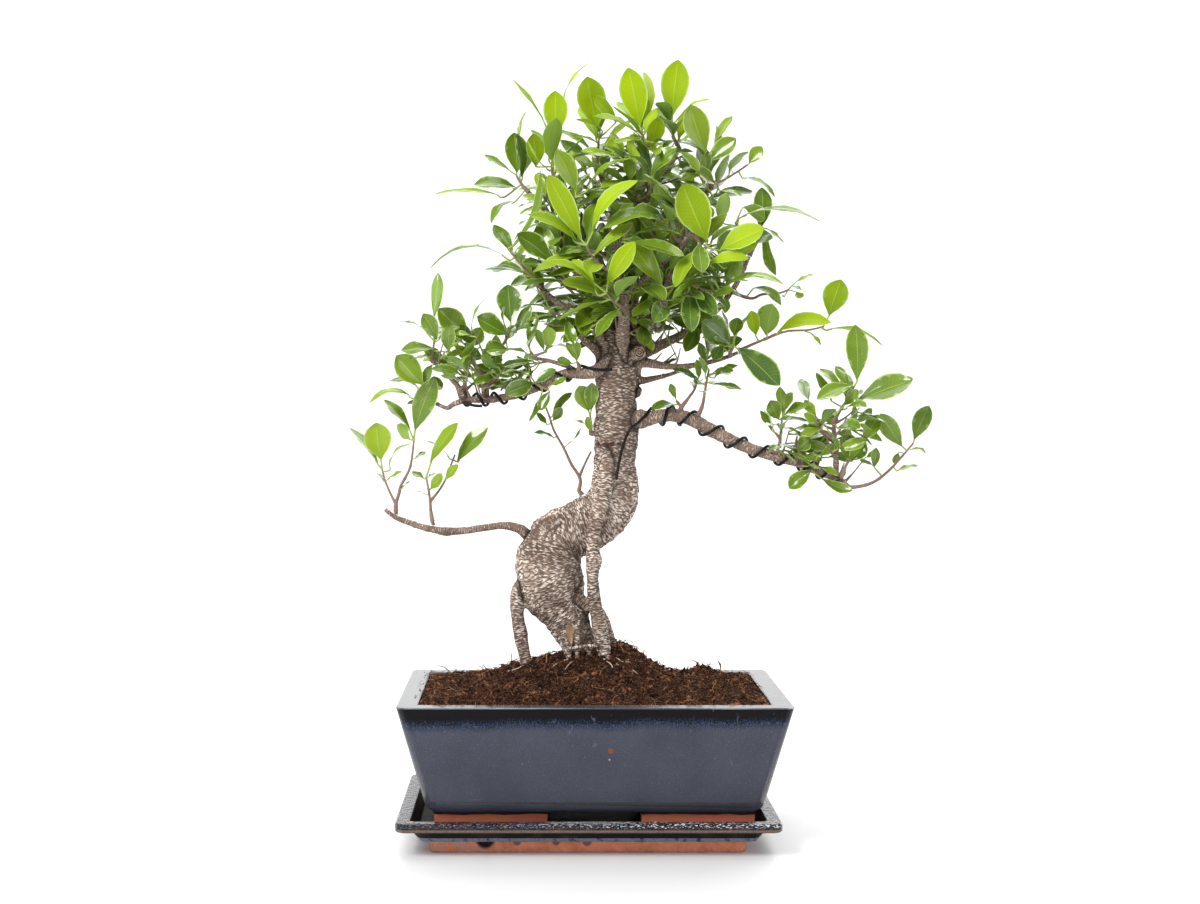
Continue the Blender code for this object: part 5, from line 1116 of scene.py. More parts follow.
class Finish(Nodes):
    """A Principled material and what feeds it. Scales are per metre, lengths are in metres."""

    def __init__(self, name, colour, roughness, **sockets):
        self.material = bpy.data.materials.new(name)
        self.material.use_nodes = True
        self.material.diffuse_color = (*colour, 1.0)
        self.tree = self.material.node_tree
        self.shader = self.tree.nodes["Principled BSDF"]
        self.shader.inputs["Base Color"].default_value = (*colour, 1.0)
        self.shader.inputs["Roughness"].default_value = roughness
        for socket, value in sockets.items():
            self.shader.inputs[socket.replace("_", " ")].default_value = value

    def place(self, scale=(1.0, 1.0, 1.0)):
        """Object coordinates in metres, stretched by the scale."""
        return self.stretch(self.add("ShaderNodeTexCoord", (), "Object"), scale)

    def stretch(self, vector, scale):
        return self.add("ShaderNodeMapping", {"Vector": vector, "Scale": scale})

    def attribute(self, name, output="Fac"):
        return self.add("ShaderNodeAttribute", (), output, attribute_name=name)

    def cloud(self, vector, scale, detail=3.0, distortion=0.0, output="Fac"):
        inputs = {"Vector": vector, "Scale": scale, "Detail": detail, "Distortion": distortion}
        return self.add("ShaderNodeTexNoise", inputs, output)

    def cells(self, vector, scale):
        return self.add("ShaderNodeTexVoronoi", {"Vector": vector, "Scale": scale}, "Distance")

    def between(self, value, low, high, start=0.0, end=1.0):
        """The value's way from low to high, clamped, as a number from start to end."""
        inputs = {"Value": value, "From Min": low, "From Max": high, "To Min": start, "To Max": end}
        return self.add("ShaderNodeMapRange", inputs, interpolation_type="SMOOTHSTEP")

    def mix(self, share, first, second, how="MIX"):
        inputs = {0: share, 6: rgba(first), 7: rgba(second)}
        return self.add("ShaderNodeMix", inputs, 2, data_type="RGBA", blend_type=how)

    def over(self, colour, other, mask, strength):
        """The colour with another laid over it by a share of the mask."""
        return self.mix(self.times(mask, strength), colour, other)

    def ramp(self, value, stops):
        colour = self.add("ShaderNodeValToRGB", {"Fac": value}, "Color")
        elements = colour.node.color_ramp.elements
        while len(elements) < len(stops):
            elements.new(0.5)
        for element, (position, shade) in zip(elements, stops):
            element.position = position
            element.color = (*shade, 1.0)
        return colour

    def relief(self, height, strength, distance, before=None):
        inputs = {"Height": height, "Strength": strength, "Distance": distance}
        if before is not None:
            inputs["Normal"] = before
        return self.add("ShaderNodeBump", inputs)

    def use(self, colour=None, roughness=None, normal=None):
        for socket, value in (("Base Color", colour), ("Roughness", roughness), ("Normal", normal)):
            if value is not None:
                self.tree.links.new(value, self.shader.inputs[socket])
        return self.material


def near_spot(finish, where, spot, radius):
    """1 inside a small round spot at a true place in millimetres, falling to 0 at its edge."""
    away = finish.vectors("DISTANCE", where, Vector(spot) * MM, "Value")
    return finish.between(away, radius * MM, radius * MM * 0.6)


def bowl_glaze(look):
    """Slate glaze with a black, blue-flecked band under the rim, an iron spot, faint scuffs and painted shade along
    the bottom of the wall.
    """
    finish = Finish("bowl_glaze", look.slate, 0.36, Specular_IOR_Level=0.11)
    where = finish.place()
    wander = finish.times(finish.cloud(finish.place((1.0, 1.0, 0.5)), 24.0, 6.0), 0.013)
    level = finish.plus(finish.part(where), wander)
    mottled = finish.mix(finish.cloud(where, 28.0, 5.0), look.slate, look.slate_pale)
    grain = finish.between(finish.cloud(where, 1100.0, 2.0), 0.52, 0.72)
    mottled = finish.over(mottled, look.slate_fleck, grain, 0.45)
    dull = finish.between(finish.cloud(where, 17.0, 4.0), 0.45, 0.75, 0.0, 0.16)
    mottled = finish.mix(dull, mottled, look.band)
    flecks = finish.between(finish.cloud(finish.place((1.0, 1.0, 0.7)), 900.0, 5.0), 0.44, 0.66)
    blue = finish.mix(flecks, look.band, look.band_fleck)
    upper = finish.mix(finish.between(level, *BLACK_BAND), blue, look.band)
    colour = finish.mix(finish.between(level, *UNDER_BAND), mottled, upper)
    scratches = finish.cloud(finish.place((1.0, 1.0, 0.45)), 75.0, 6.0, 2.2)
    scuffs = finish.between(scratches, 0.66, 0.72)
    colour = finish.over(colour, look.slate_fleck, scuffs, 0.5)
    # Painted shadow: the lowest millimetres of the wall darkened towards the dark glaze, just above the feet.
    colour = finish.over(colour, look.band, finish.between(level, *FOOT_SHADE), 0.6)
    colour = finish.mix(near_spot(finish, where, RUST_SPOT, 3.4), colour, look.rust)
    colour = finish.mix(near_spot(finish, where, CHIP_SPOT, 1.7), colour, look.clay_stain)
    normal = finish.relief(finish.cloud(where, 150.0, 5.0), 0.16, 0.003)
    rough = finish.between(level, *SHINY_BAND, 0.45, 0.2)
    return finish.use(colour, rough, normal)


def rim_glaze(look):
    """Thick, shiny glaze of the bowl's rim and of its inside."""
    finish = Finish("rim_glaze", look.rim, 0.25, Coat_Weight=0.4, Coat_Roughness=0.15, Coat_IOR=1.6)
    where = finish.place()
    worn = finish.between(finish.cloud(where, 95.0, 5.0), 0.55, 0.68)
    colour = finish.over(look.rim, look.tray_brown, worn, 0.5)
    return finish.use(colour, None, finish.relief(finish.cloud(where, 70.0, 4.0), 0.2, 0.003))


def tray_glaze(look):
    """Glossy black-brown glaze with blue flecks and painted glints on its lip, over a terracotta foot with painted
    light, stains and one long drip.
    """
    finish = Finish("tray_glaze", look.band, 0.12, Specular_IOR_Level=0.2, Coat_Weight=0.12, Coat_Roughness=0.05)
    where = finish.place()
    height = finish.part(where)
    flecks = finish.between(finish.cloud(where, 480.0, 4.0), 0.5, 0.62, 0.0, 0.7)
    low = finish.between(height, *TRAY_COVE)
    glaze = finish.over(look.band, look.band_fleck, flecks, 0.8)
    brown = finish.between(finish.cloud(finish.place((1.0, 1.0, 3.0)), 85.0, 4.0), 0.45, 0.62, 0.0, 0.6)
    brown = finish.times(brown, finish.minus(1.0, low))
    glaze = finish.mix(brown, glaze, look.tray_brown)
    streaks = finish.between(finish.cloud(finish.place((1.0, 1.0, 0.4)), 150.0, 4.0), 0.28, 0.5)
    glaze = finish.over(glaze, look.cove, finish.times(low, 0.95), streaks)
    # Painted highlights: pale glints along the top of the lip, more of them towards the right.
    highlight_mask = finish.between(finish.cloud(finish.place((0.6, 1.0, 2.0)), 520.0, 3.0), 0.55, 0.62)
    highlight_mask = finish.times(highlight_mask, finish.between(height, *TRAY_HIGHLIGHT_BAND))
    highlight_mask = finish.times(highlight_mask, finish.between(finish.part(where, "X"), -0.12, 0.12, 0.2, 1.0))
    glaze = finish.over(glaze, look.painted_glint, highlight_mask, 0.85)
    lip = finish.times(finish.between(height, *TRAY_LIP_TOP), finish.between(height, *TRAY_LIP_FOOT))
    glaze = finish.over(glaze, look.lip_tan, lip, 0.5)
    wander = finish.between(finish.cloud(finish.place((1.0, 1.0, 0.2)), 30.0, 3.0), 0.35, 0.7, 0.0, 0.0016)
    bare = finish.between(finish.plus(height, wander), *TRAY_CLAY)
    # The foot's clay is mostly the lighter terracotta: its own colour lifted by painted light where the lip shades it.
    clay = finish.mix(finish.between(finish.cloud(where, 90.0, 5.0), 0.4, 0.8, 0.0, 0.6), look.clay_with_painted_light, look.clay)
    film = near_spot(finish, where, TRAY_FILM, 34.0)
    film = finish.times(film, finish.between(finish.cloud(where, 70.0, 2.0), 0.4, 0.5))
    clay = finish.over(clay, look.clay_stain, film, 0.35)
    for spot, reach in TRAY_STAINS:
        clay = finish.over(clay, look.clay_film, near_spot(finish, where, spot, reach), 0.8)
    clay = finish.mix(near_spot(finish, where, TRAY_DRIP, 11.0), clay, look.band)
    colour = finish.mix(bare, glaze, clay)
    rough = finish.between(bare, 0.0, 1.0, 0.1, 0.8)
    normal = finish.relief(finish.cloud(where, 210.0, 3.0), 1.0, 0.004)
    return finish.use(colour, rough, normal)


def tray_well(look):
    """Dull dark glaze of the tray's inside, where water has stood."""
    finish = Finish("tray_well", look.band, 0.55, Specular_IOR_Level=0.15)
    where = finish.place()
    ring = finish.between(finish.cloud(where, 40.0, 5.0), 0.5, 0.7, 0.0, 0.5)
    normal = finish.relief(finish.cloud(where, 150.0), 0.3, 0.002)
    return finish.use(finish.mix(ring, look.band, look.tray_brown), None, normal)


def foot_clay(look):
    """Bare terracotta of the bowl's feet, dark where the glaze ends above them."""
    finish = Finish("foot_clay", look.clay, 0.8)
    where = finish.place()
    clay = finish.mix(finish.cloud(where, 120.0, 4.0), look.clay, look.clay_dark)
    wander = finish.times(finish.cloud(where, 40.0, 3.0), 0.004)
    glazed = finish.between(finish.plus(finish.part(where), wander), *FOOT_GLAZE)
    return finish.use(finish.mix(glazed, clay, look.band), finish.between(glazed, 0.0, 1.0, 0.8, 0.3))


def soil_finish(look):
    """Coir between the crumbs, near black: painted shade in the gaps and hollows under them."""
    finish = Finish("soil_ground", look.soil, 0.95, Specular_IOR_Level=0.1)
    threads = finish.cloud(finish.place((1.0, 1.0, 1.4)), 420.0, 5.0, 1.6)
    colour = finish.mix(finish.between(threads, 0.42, 0.62), look.soil_dark_and_shade, look.soil)
    colour = finish.mix(finish.between(threads, 0.56, 0.7, 0.0, 0.7), colour, look.fibre)
    return finish.use(colour, None, finish.relief(threads, 1.0, 0.003))


def damp_patches(finish, most):
    """Damp, dark patches that crumbs and fibres share, up to this share."""
    return finish.between(finish.cloud(finish.place(), 66.0, 4.0), 0.46, 0.54, 0.0, most)


def crumb_finish(look):
    """Crumbs of peat and coir, each with its own shade from near black to red brown."""
    finish = Finish("soil_crumb", look.soil, 0.9, Specular_IOR_Level=0.12)
    seed = finish.attribute("seed")
    shade = finish.ramp(seed, ((0.0, look.soil_dark_and_shade), (0.5, look.soil), (1.0, look.soil_red)))
    shade = finish.mix(damp_patches(finish, 0.93), shade, look.soil_dark_and_shade)
    return finish.use(shade, None, finish.relief(finish.cloud(finish.place(), 900.0, 2.0), 0.6, 0.001))


def fibre_finish(look):
    """Coir strands, each of its own tan or brown."""
    finish = Finish("soil_fibre", look.fibre, 0.85, Specular_IOR_Level=0.15)
    stops = ((0.0, look.soil_dark_and_shade), (0.45, look.soil), (0.8, look.fibre), (1.0, look.fibre_pale))
    shade = finish.ramp(finish.attribute("seed"), stops)
    return finish.use(finish.mix(damp_patches(finish, 0.88), shade, look.soil_dark_and_shade))


def bark_marks(finish, look, colour):
    """The bark's colour with the ring of the old scar, the knots and painted shade in the seams between limbs laid
    over it.
    """
    where = finish.place()
    scar = near_spot(finish, where, SCAR_SPOT, 24.0)
    band = finish.math("ABSOLUTE", finish.minus(finish.part(where), SCAR_SPOT[2] * MM))
    band = finish.plus(band, finish.between(finish.cloud(where, 160.0, 3.0), 0.3, 0.7, -0.0016, 0.0016))
    scar = finish.times(scar, finish.between(band, 0.0026, 0.0012))
    colour = finish.over(colour, look.scar, scar, 0.9)
    for spot, reach in KNOTS:
        away = finish.vectors("DISTANCE", where, seen(*spot) * MM, "Value")
        rings = finish.between(finish.math("SINE", finish.times(away, KNOT_RINGS)), -0.4, 0.6)
        rings = finish.mix(rings, look.bark_dark_and_shade, look.bark_warm)
        colour = finish.over(colour, rings, near_spot(finish, where, seen(*spot), reach), 0.9)
    # Painted shade in the seams where two limbs meet.
    return finish.over(colour, look.bark_dark_and_shade, finish.attribute("seam"), 0.9)


def bark_finish(look):
    """Bark with raised pale grains that lie across the limb, dense on old wood and few on young, with painted shade in
    the crevices between them.
    """
    finish = Finish("bark", look.bark_ground, 0.8, Specular_IOR_Level=0.2)
    grain, girth = finish.attribute("grain", "Vector"), finish.attribute("girth")
    wind = finish.vectors("SUBTRACT", finish.cloud(grain, 95.0, 2.0, output="Color"), (0.5, 0.5, 0.5))
    bent = finish.vectors("ADD", grain, finish.scaled(wind, 0.0045))
    cells = finish.cells(finish.stretch(bent, (0.38, 0.38, 1.25)), 540.0)
    edge = finish.between(girth, 0.1, 0.6, 0.41, 0.53)
    old, young = finish.between(girth, 0.3, 0.55), finish.cloud(grain, 42.0, 3.0)
    # Dark patches at random, and the old bark darker towards the top of the trunk
    worn = finish.between(finish.cloud(finish.place(), 21.0, 4.0, 0.8), 0.44, 0.62)
    high = finish.between(finish.part(finish.place()), *BARK_DARKER_ABOVE)
    worn = finish.math("MAXIMUM", worn, finish.times(high, old))
    depth = finish.minus(finish.minus(edge, cells), finish.times(worn, 0.07))
    grains = finish.between(depth, -0.14, 0.16)
    ground = finish.mix(finish.between(young, 0.35, 0.65), look.bark_ground, look.bark_warm)
    thin = finish.mix(finish.between(young, 0.3, 0.7), look.limb, look.bark_warm)
    ground = finish.mix(old, thin, ground)
    ground = finish.over(ground, look.bark_dark_and_shade, worn, 0.42)
    fine = finish.cloud(finish.stretch(grain, (1.0, 1.0, 2.0)), 520.0, 4.0)
    ground = finish.mix(finish.between(fine, 0.4, 0.7, 0.0, 0.55), ground, look.bark_dark_and_shade)
    warm = finish.between(finish.cloud(grain, 60.0, 4.0), 0.35, 0.68, 0.0, 0.75)
    dash = finish.mix(warm, look.bark_dash, look.bark_warm)
    dash = finish.over(dash, look.bark_warm, worn, 0.4)
    dash = finish.mix(old, look.twig_dash, dash)
    # Painted shade in the crevices between the raised grains, stronger on old wood.
    crease = finish.between(girth, 0.1, 0.6, 0.2, 0.7)
    crease = finish.times(finish.between(depth, -0.16, -0.34), crease)
    ground = finish.mix(crease, ground, look.bark_dark_and_shade)
    colour = bark_marks(finish, look, finish.over(ground, dash, grains, 0.95))
    normal = finish.relief(finish.between(depth, -0.25, 0.2), 1.0, 0.0022)
    fine = finish.cloud(finish.stretch(grain, (1.0, 1.0, 2.2)), 480.0, 4.0)
    return finish.use(colour, None, finish.relief(fine, 0.4, 0.0008, normal))


def leaf_finish(look, name, specular, coat):
    """Waxy blade: tone by its attribute, pale midrib and margin, faint side veins, paler underside, and painted shade
    towards its base and on one half of its fold.
    """
    finish = Finish(name, look.leaf_grown, 0.3, Specular_IOR_Level=specular, Coat_Weight=coat, Coat_Roughness=0.1)
    tone, seed = finish.attribute("tone"), finish.attribute("seed")
    along, under = finish.attribute("along"), finish.attribute("under")
    across = finish.math("ABSOLUTE", finish.attribute("across"))
    colour = finish.ramp(tone, ((0.0, look.leaf_old), (0.5, look.leaf_grown), (1.0, look.leaf_young)))
    colour = finish.mix(finish.between(seed, 0.0, 1.0, 0.0, 0.3), colour, look.leaf_dark_and_shade, "MULTIPLY")
    patch = finish.between(finish.cloud(finish.place(), 42.0, 3.0), 0.4, 0.7, 0.0, 0.28)
    colour = finish.mix(patch, colour, look.leaf_light)
    slant = finish.minus(along, finish.times(across, 0.14))
    veins = finish.between(finish.math("SINE", finish.times(slant, 96.0)), 0.8, 1.0)
    veins = finish.times(veins, finish.between(across, 0.95, 0.5))
    colour = finish.over(colour, look.leaf_rib, veins, 0.1)
    rib = finish.between(across, 0.045, 0.016)
    colour = finish.over(colour, look.leaf_rib, rib, 0.42)
    # Painted shade: the blade darker towards its base, and one half of the fold darker than the other.
    lit = finish.mix(finish.between(along, 0.5, 0.0, 0.0, 0.45), colour, look.leaf_dark_and_shade, "MULTIPLY")
    shaded = finish.between(finish.attribute("across"), 0.06, -0.06, 0.0, 0.22)
    colour = finish.mix(shaded, lit, look.leaf_dark_and_shade, "MULTIPLY")
    margin = finish.between(across, 0.85, 0.96)
    colour = finish.over(colour, look.leaf_rib, margin, 0.75)
    colour = finish.over(colour, look.leaf_under, under, 0.42)
    dull = finish.math("MAXIMUM", under, finish.between(tone, 0.45, 0.95))
    rough = finish.between(dull, 0.0, 1.0, 0.22, 0.5)
    relief = finish.relief(finish.plus(veins, finish.cloud(finish.place(), 260.0, 2.0)), 0.16, 0.0008)
    return finish.use(colour, rough, relief)


def plain_finish(name, colour, roughness, spread=0.0, other=None, scale=90.0, **sockets):
    """One colour, drifting towards another with a soft noise, and a faint relief."""
    finish = Finish(name, colour, roughness, **sockets)
    where = finish.place()
    mixed = finish.over(colour, other or colour, finish.cloud(where, scale, 3.0), spread)
    return finish.use(mixed, None, finish.relief(finish.cloud(where, scale * 6, 3.0), 0.12, 0.0006))


def add_piece(name, mesh, materials, slot, *nodes):
    """Stores a finished mesh as a piece of the tree that stands for the named CAD nodes."""
    mesh.name = name
    mesh.materials.clear()
    for material in materials:
        mesh.materials.append(material)
    piece = helper(name, mesh)
    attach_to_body(piece, "root")
    if nodes:
        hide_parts(*nodes)
    return piece


def rounded_edges(name, mesh, width):
    """The mesh with its sharp edges rounded by this width in metres and smooth shading between them."""
    body = helper(name, mesh)
    bevel = body.modifiers.new("worn edges", "BEVEL")
    bevel.width = width
    bevel.segments = 3
    bevel.limit_method = "ANGLE"
    bevel.angle_limit = math.radians(30)
    rounded = evaluated_mesh(body)
    remove(body)
    rounded.shade_smooth()
    rounded.set_sharp_from_angle(angle=SHARP_GLAZED)
    return rounded


def set_values(mesh, name, kind, values, domain="POINT"):
    """Stores one value for each point or face as an attribute of the mesh."""
    attribute = mesh.attributes.new(name, kind, domain)
    if kind == "FLOAT_VECTOR":
        attribute.data.foreach_set("vector", [part for value in values for part in value])
    else:
        attribute.data.foreach_set("value", list(values))


class Recipe(Nodes):
    """A Geometry Nodes tree with short calls for its nodes, and a run that leaves a plain mesh."""

    def __init__(self, name, **inputs):
        self.tree = bpy.data.node_groups.new(name, "GeometryNodeTree")
        sockets = self.tree.interface
        sockets.new_socket("Geometry", in_out="INPUT", socket_type="NodeSocketGeometry")
        self.identifiers = {}
        for label, kind in inputs.items():
            socket = sockets.new_socket(label, in_out="INPUT", socket_type="NodeSocket" + kind)
            self.identifiers[label] = socket.identifier
        sockets.new_socket("Geometry", in_out="OUTPUT", socket_type="NodeSocketGeometry")
        self.inputs = self.tree.nodes.new("NodeGroupInput").outputs

    def named(self, name, kind="FLOAT"):
        return self.add("GeometryNodeInputNamedAttribute", {"Name": name}, data_type=kind)

    def kept(self, geometry, name, value, domain):
        """Stores the value as an attribute of the geometry."""
        inputs = {"Geometry": geometry, "Name": name, "Value": value}
        return self.add("GeometryNodeStoreNamedAttribute", inputs, data_type="FLOAT", domain=domain)

    def drawn(self, low, high, seed, kind="FLOAT"):
        """A random value or vector for each point, the same in every run."""
        node = self.tree.nodes.new("FunctionNodeRandomValue")
        node.data_type = kind
        for label, value in (("Min", low), ("Max", high), ("Seed", seed)):
            socket = next(one for one in node.inputs if one.name == label and one.enabled)
            socket.default_value = value
        return next(one for one in node.outputs if one.enabled)

    def euler(self, angles):
        return self.add("FunctionNodeEulerToRotation", {0: angles})

    def turned(self, rotation, angles):
        """The rotation followed by one about its own axes."""
        inputs = {0: rotation, 1: self.euler(angles)}
        return self.add("FunctionNodeRotateRotation", inputs, rotation_space="LOCAL")

    def shape(self, label):
        """What the object of this input is made of."""
        return self.add("GeometryNodeObjectInfo", {"Object": self.inputs[label]}, "Geometry")

    def copies(self, points, shape, rotation, size):
        """The shape on every point, made real."""
        inputs = {"Points": points, "Instance": shape, "Rotation": rotation, "Scale": size}
        laid = self.add("GeometryNodeInstanceOnPoints", inputs)
        return self.add("GeometryNodeRealizeInstances", {"Geometry": laid})

    def moved(self, geometry, offset):
        return self.add("GeometryNodeSetPosition", {"Geometry": geometry, "Offset": offset})

    def rods(self, lines, radius, sides):
        """Round rods along the lines, as thick as the radius times the radius stored in the lines."""
        ring = self.add("GeometryNodeCurvePrimitiveCircle", {"Resolution": sides, "Radius": radius})
        inputs = {"Curve": lines, "Profile Curve": ring, "Scale": self.named("radius"), "Fill Caps": True}
        return self.add("GeometryNodeCurveToMesh", inputs)

    def end(self, geometry, *materials):
        """Realises what is left and gives it its materials, each with the selection that it covers."""
        geometry = self.add("GeometryNodeRealizeInstances", {"Geometry": geometry})
        for material, selection in materials:
            inputs = {"Geometry": geometry, "Material": self.inputs[material]}
            if selection is not None:
                inputs["Selection"] = selection
            geometry = self.add("GeometryNodeSetMaterial", inputs)
        self.tree.links.new(geometry, self.tree.nodes.new("NodeGroupOutput").inputs[0])
        return self

    def run(self, obj, **values):
        """The mesh that the tree makes of the object with these inputs."""
        modifier = obj.modifiers.new(self.tree.name, "NODES")
        modifier.node_group = self.tree
        for label, value in values.items():
            modifier[self.identifiers[label]] = value
        mesh = evaluated_mesh(obj)
        obj.modifiers.remove(modifier)
        mesh.shade_smooth()
        mesh.set_sharp_from_angle(angle=SHARP_GROWN)
        return mesh


def smooth_path(samples, step):
    """The path led through its (point, radius) samples on a smooth curve, about step mm apart."""
    ends = [samples[0], *samples, samples[-1]]
    path = []
    for before, start, end, after in zip(ends, ends[1:], ends[2:], ends[3:]):
        count = max(1, round((end[0] - start[0]).length / step))
        for number in range(count):
            t = number / count
            weights = (
                (-t + 2 * t**2 - t**3) / 2, (2 - 5 * t**2 + 3 * t**3) / 2,
                (t + 4 * t**2 - 3 * t**3) / 2, (t**3 - t**2) / 2,
            )
            knots = (before, start, end, after)
            point = sum((knot[0] * weight for knot, weight in zip(knots, weights)), Vector())
            radius = sum(knot[1] * weight for knot, weight in zip(knots, weights))
            path.append((point, radius))
    return path + [samples[-1]]


def glazed_tray(look, sizes):
    mesh = rounded_edges("tray_edges", drip_tray(), sizes.worn_edge)
    piece = add_piece("glazed_tray", mesh, [tray_glaze(look), tray_well(look)], "tray_glaze", "drip_tray")
    for face in piece.data.polygons:
        inside = abs(face.center.x) < TRAY_INSIDE[0][0] * MM and abs(face.center.y) < TRAY_INSIDE[0][1] * MM
        face.material_index = int(inside and face.center.z > (TRAY_FLOOR - 1) * MM)


def glazed_bowl(look, sizes):
    body = rounded_edges("bowl_edges", bowl(), sizes.worn_edge)
    materials = [bowl_glaze(look), foot_clay(look), rim_glaze(look)]
    piece = add_piece("glazed_bowl", body, materials, "bowl_glaze", "bowl")
    rim_x, rim_y = BOWL_INSIDE[0][0] * MM, BOWL_INSIDE[0][1] * MM
    for face in piece.data.polygons:
        at, inside = face.center, abs(face.center.x - BOWL_X * MM) < rim_x and abs(face.center.y) < rim_y
        if at.z < BOWL_OUTSIDE[0][3] * MM + 0.0005:
            face.material_index = 1
        elif at.z > BOWL_OUTSIDE[5][3] * MM or inside and at.z > BOWL_FLOOR * MM - 0.001:
            face.material_index = 2


def soil_relief(flat, share):
    """How far the clods and the small heap rise over the plain mound; share 1 is the bowl's wall."""
    lump = 2 * SOIL_LUMPS * noise.noise(flat * 0.09) * (1 - share**8)
    away = ((flat.x - SOIL_HEAP[0]) / SOIL_HEAP[2]) ** 2 + ((flat.y - SOIL_HEAP[1]) / SOIL_HEAP[3]) ** 2
    lump += SOIL_HEAP[4] * math.exp(-away) * (1 - share**12)
    clump = CLUMP_HEIGHT * (0.3 - abs(noise.noise(flat * 0.075 + Vector((3, 1, 9))))) * (1 - share**16)
    rough = clump + ROUGH_HEIGHT * noise.fractal(flat * 0.16, 0.7, 2.2, 5) * (1 - share**24)
    crumbs = CRUMB_HEIGHT * abs(noise.noise(flat * 0.3 + Vector((7, 3, 1)))) - 0.7
    return lump + rough + crumbs * (1 - share**40)


def soil_surface(step):
    """The planted soil as a fine closed skin, rough on top, with the mound round the roots."""
    rings = []
    sides = (round(2 * BOWL_INSIDE[0][0] / step), round(2 * BOWL_INSIDE[0][1] / step))
    for half_x, half_y, corner, height in reversed(BOWL_INSIDE[1:]):
        lift = GAP if height == BOWL_FLOOR else 0.0
        top = min(height + lift, SOIL_EDGE - 1.0)
        shrink = (height - top) * 0.18 if height > SOIL_EDGE - 1.0 else 0.0
        outline = rounded_ring(half_x - GAP - shrink, half_y - GAP - shrink, corner, sides)
        rings.append([point + Vector((BOWL_X, 0, top)) for point in outline])
    edge = rings[-1]
    peak = Vector((*SOIL_PEAK, 0))
    count = round(BOWL_INSIDE[0][0] / step)
    for number in range(1, count):
        share = 1 - number / count
        ring = []
        for point in edge:
            flat = peak + (Vector((point.x, point.y, 0)) - peak) * share
            rise = (soil_height(flat.x, flat.y) - SOIL_EDGE) * (1 - share**5)
            ring.append(Vector((flat.x, flat.y, SOIL_EDGE + rise + soil_relief(flat, share))))
        rings.append(ring)
    return loft("soil", rings, domed=True)


def crumb_shape():
    """A lumpy grain about two units across, with twenty faces."""
    work = bmesh.new()
    bmesh.ops.create_icosphere(work, subdivisions=1, radius=1.0)
    for vert in work.verts:
        vert.co *= 0.75 + 0.5 * noise.noise(vert.co * 1.7 + Vector((3, 1, 2)))
    return stored(work, "crumb")


def strand_shape():
    """A three-sided strand of unit length along x, thin at both ends."""
    rings = []
    for number in range(5):
        share = number / 4
        bend = Vector((share - 0.5, 0.09 * math.sin(share * 5.0), 0.16 * math.sin(share * math.pi)))
        radius = 0.017 * (1 - abs(2 * share - 1) ** 3 * 0.8)
        angles = [2 * math.pi * side / 3 for side in range(3)]
        rings.append([bend + radius * Vector((0, math.cos(angle), math.sin(angle))) for angle in angles])
    mesh = loft("strand", [[point / MM for point in ring] for ring in rings])
    set_values(mesh, "along", "FLOAT", [vert.index // 3 / 4 for vert in mesh.vertices])
    return mesh


def litter_recipe():
    """Scatters a shape over upward faces, each turned and sized at random and bent a little."""
    recipe = Recipe(
        "soil litter", Shape="Object", Density="Float", Smallest="Float", Largest="Float", Lift="Float",
        Tilt="Float", Bend="Float", Seed="Int", Material="Material",
    )
    inputs = recipe.inputs
    height = recipe.part(recipe.add("GeometryNodeInputPosition"))
    top = recipe.math("GREATER_THAN", height, (SOIL_EDGE - 2.5) * MM)
    points = recipe.add("GeometryNodeDistributePointsOnFaces", {
        "Mesh": inputs["Geometry"], "Selection": top, "Density": inputs["Density"], "Seed": inputs["Seed"],
    }, "Points")
    turn = points.node.outputs["Rotation"]
    turn = recipe.turned(turn, recipe.drawn((0, 0, 0), (0, 0, 6.283), 1, "FLOAT_VECTOR"))
    lean = recipe.scaled(recipe.drawn((-1, -1, 0), (1, 1, 0), 2, "FLOAT_VECTOR"), inputs["Tilt"])
    turn = recipe.turned(turn, lean)
    share = recipe.math("POWER", recipe.drawn(0.0, 1.0, 3), 2.0)
    span = {"Value": share, "To Min": inputs["Smallest"], "To Max": inputs["Largest"]}
    size = recipe.add("ShaderNodeMapRange", span)
    points = recipe.kept(points, "seed", recipe.drawn(0.0, 1.0, 4), "POINT")
    laid = recipe.copies(points, recipe.shape("Shape"), turn, size)
    wind = recipe.add("ShaderNodeTexNoise", {"Scale": 110.0, "Detail": 2.0}, "Color")
    wind = recipe.scaled(recipe.vectors("SUBTRACT", wind, (0.5, 0.5, 0.5)), inputs["Bend"])
    lift = recipe.add("ShaderNodeCombineXYZ", {"Z": inputs["Lift"]})
    return recipe.end(recipe.moved(laid, recipe.vectors("ADD", wind, lift)), ("Material", None))


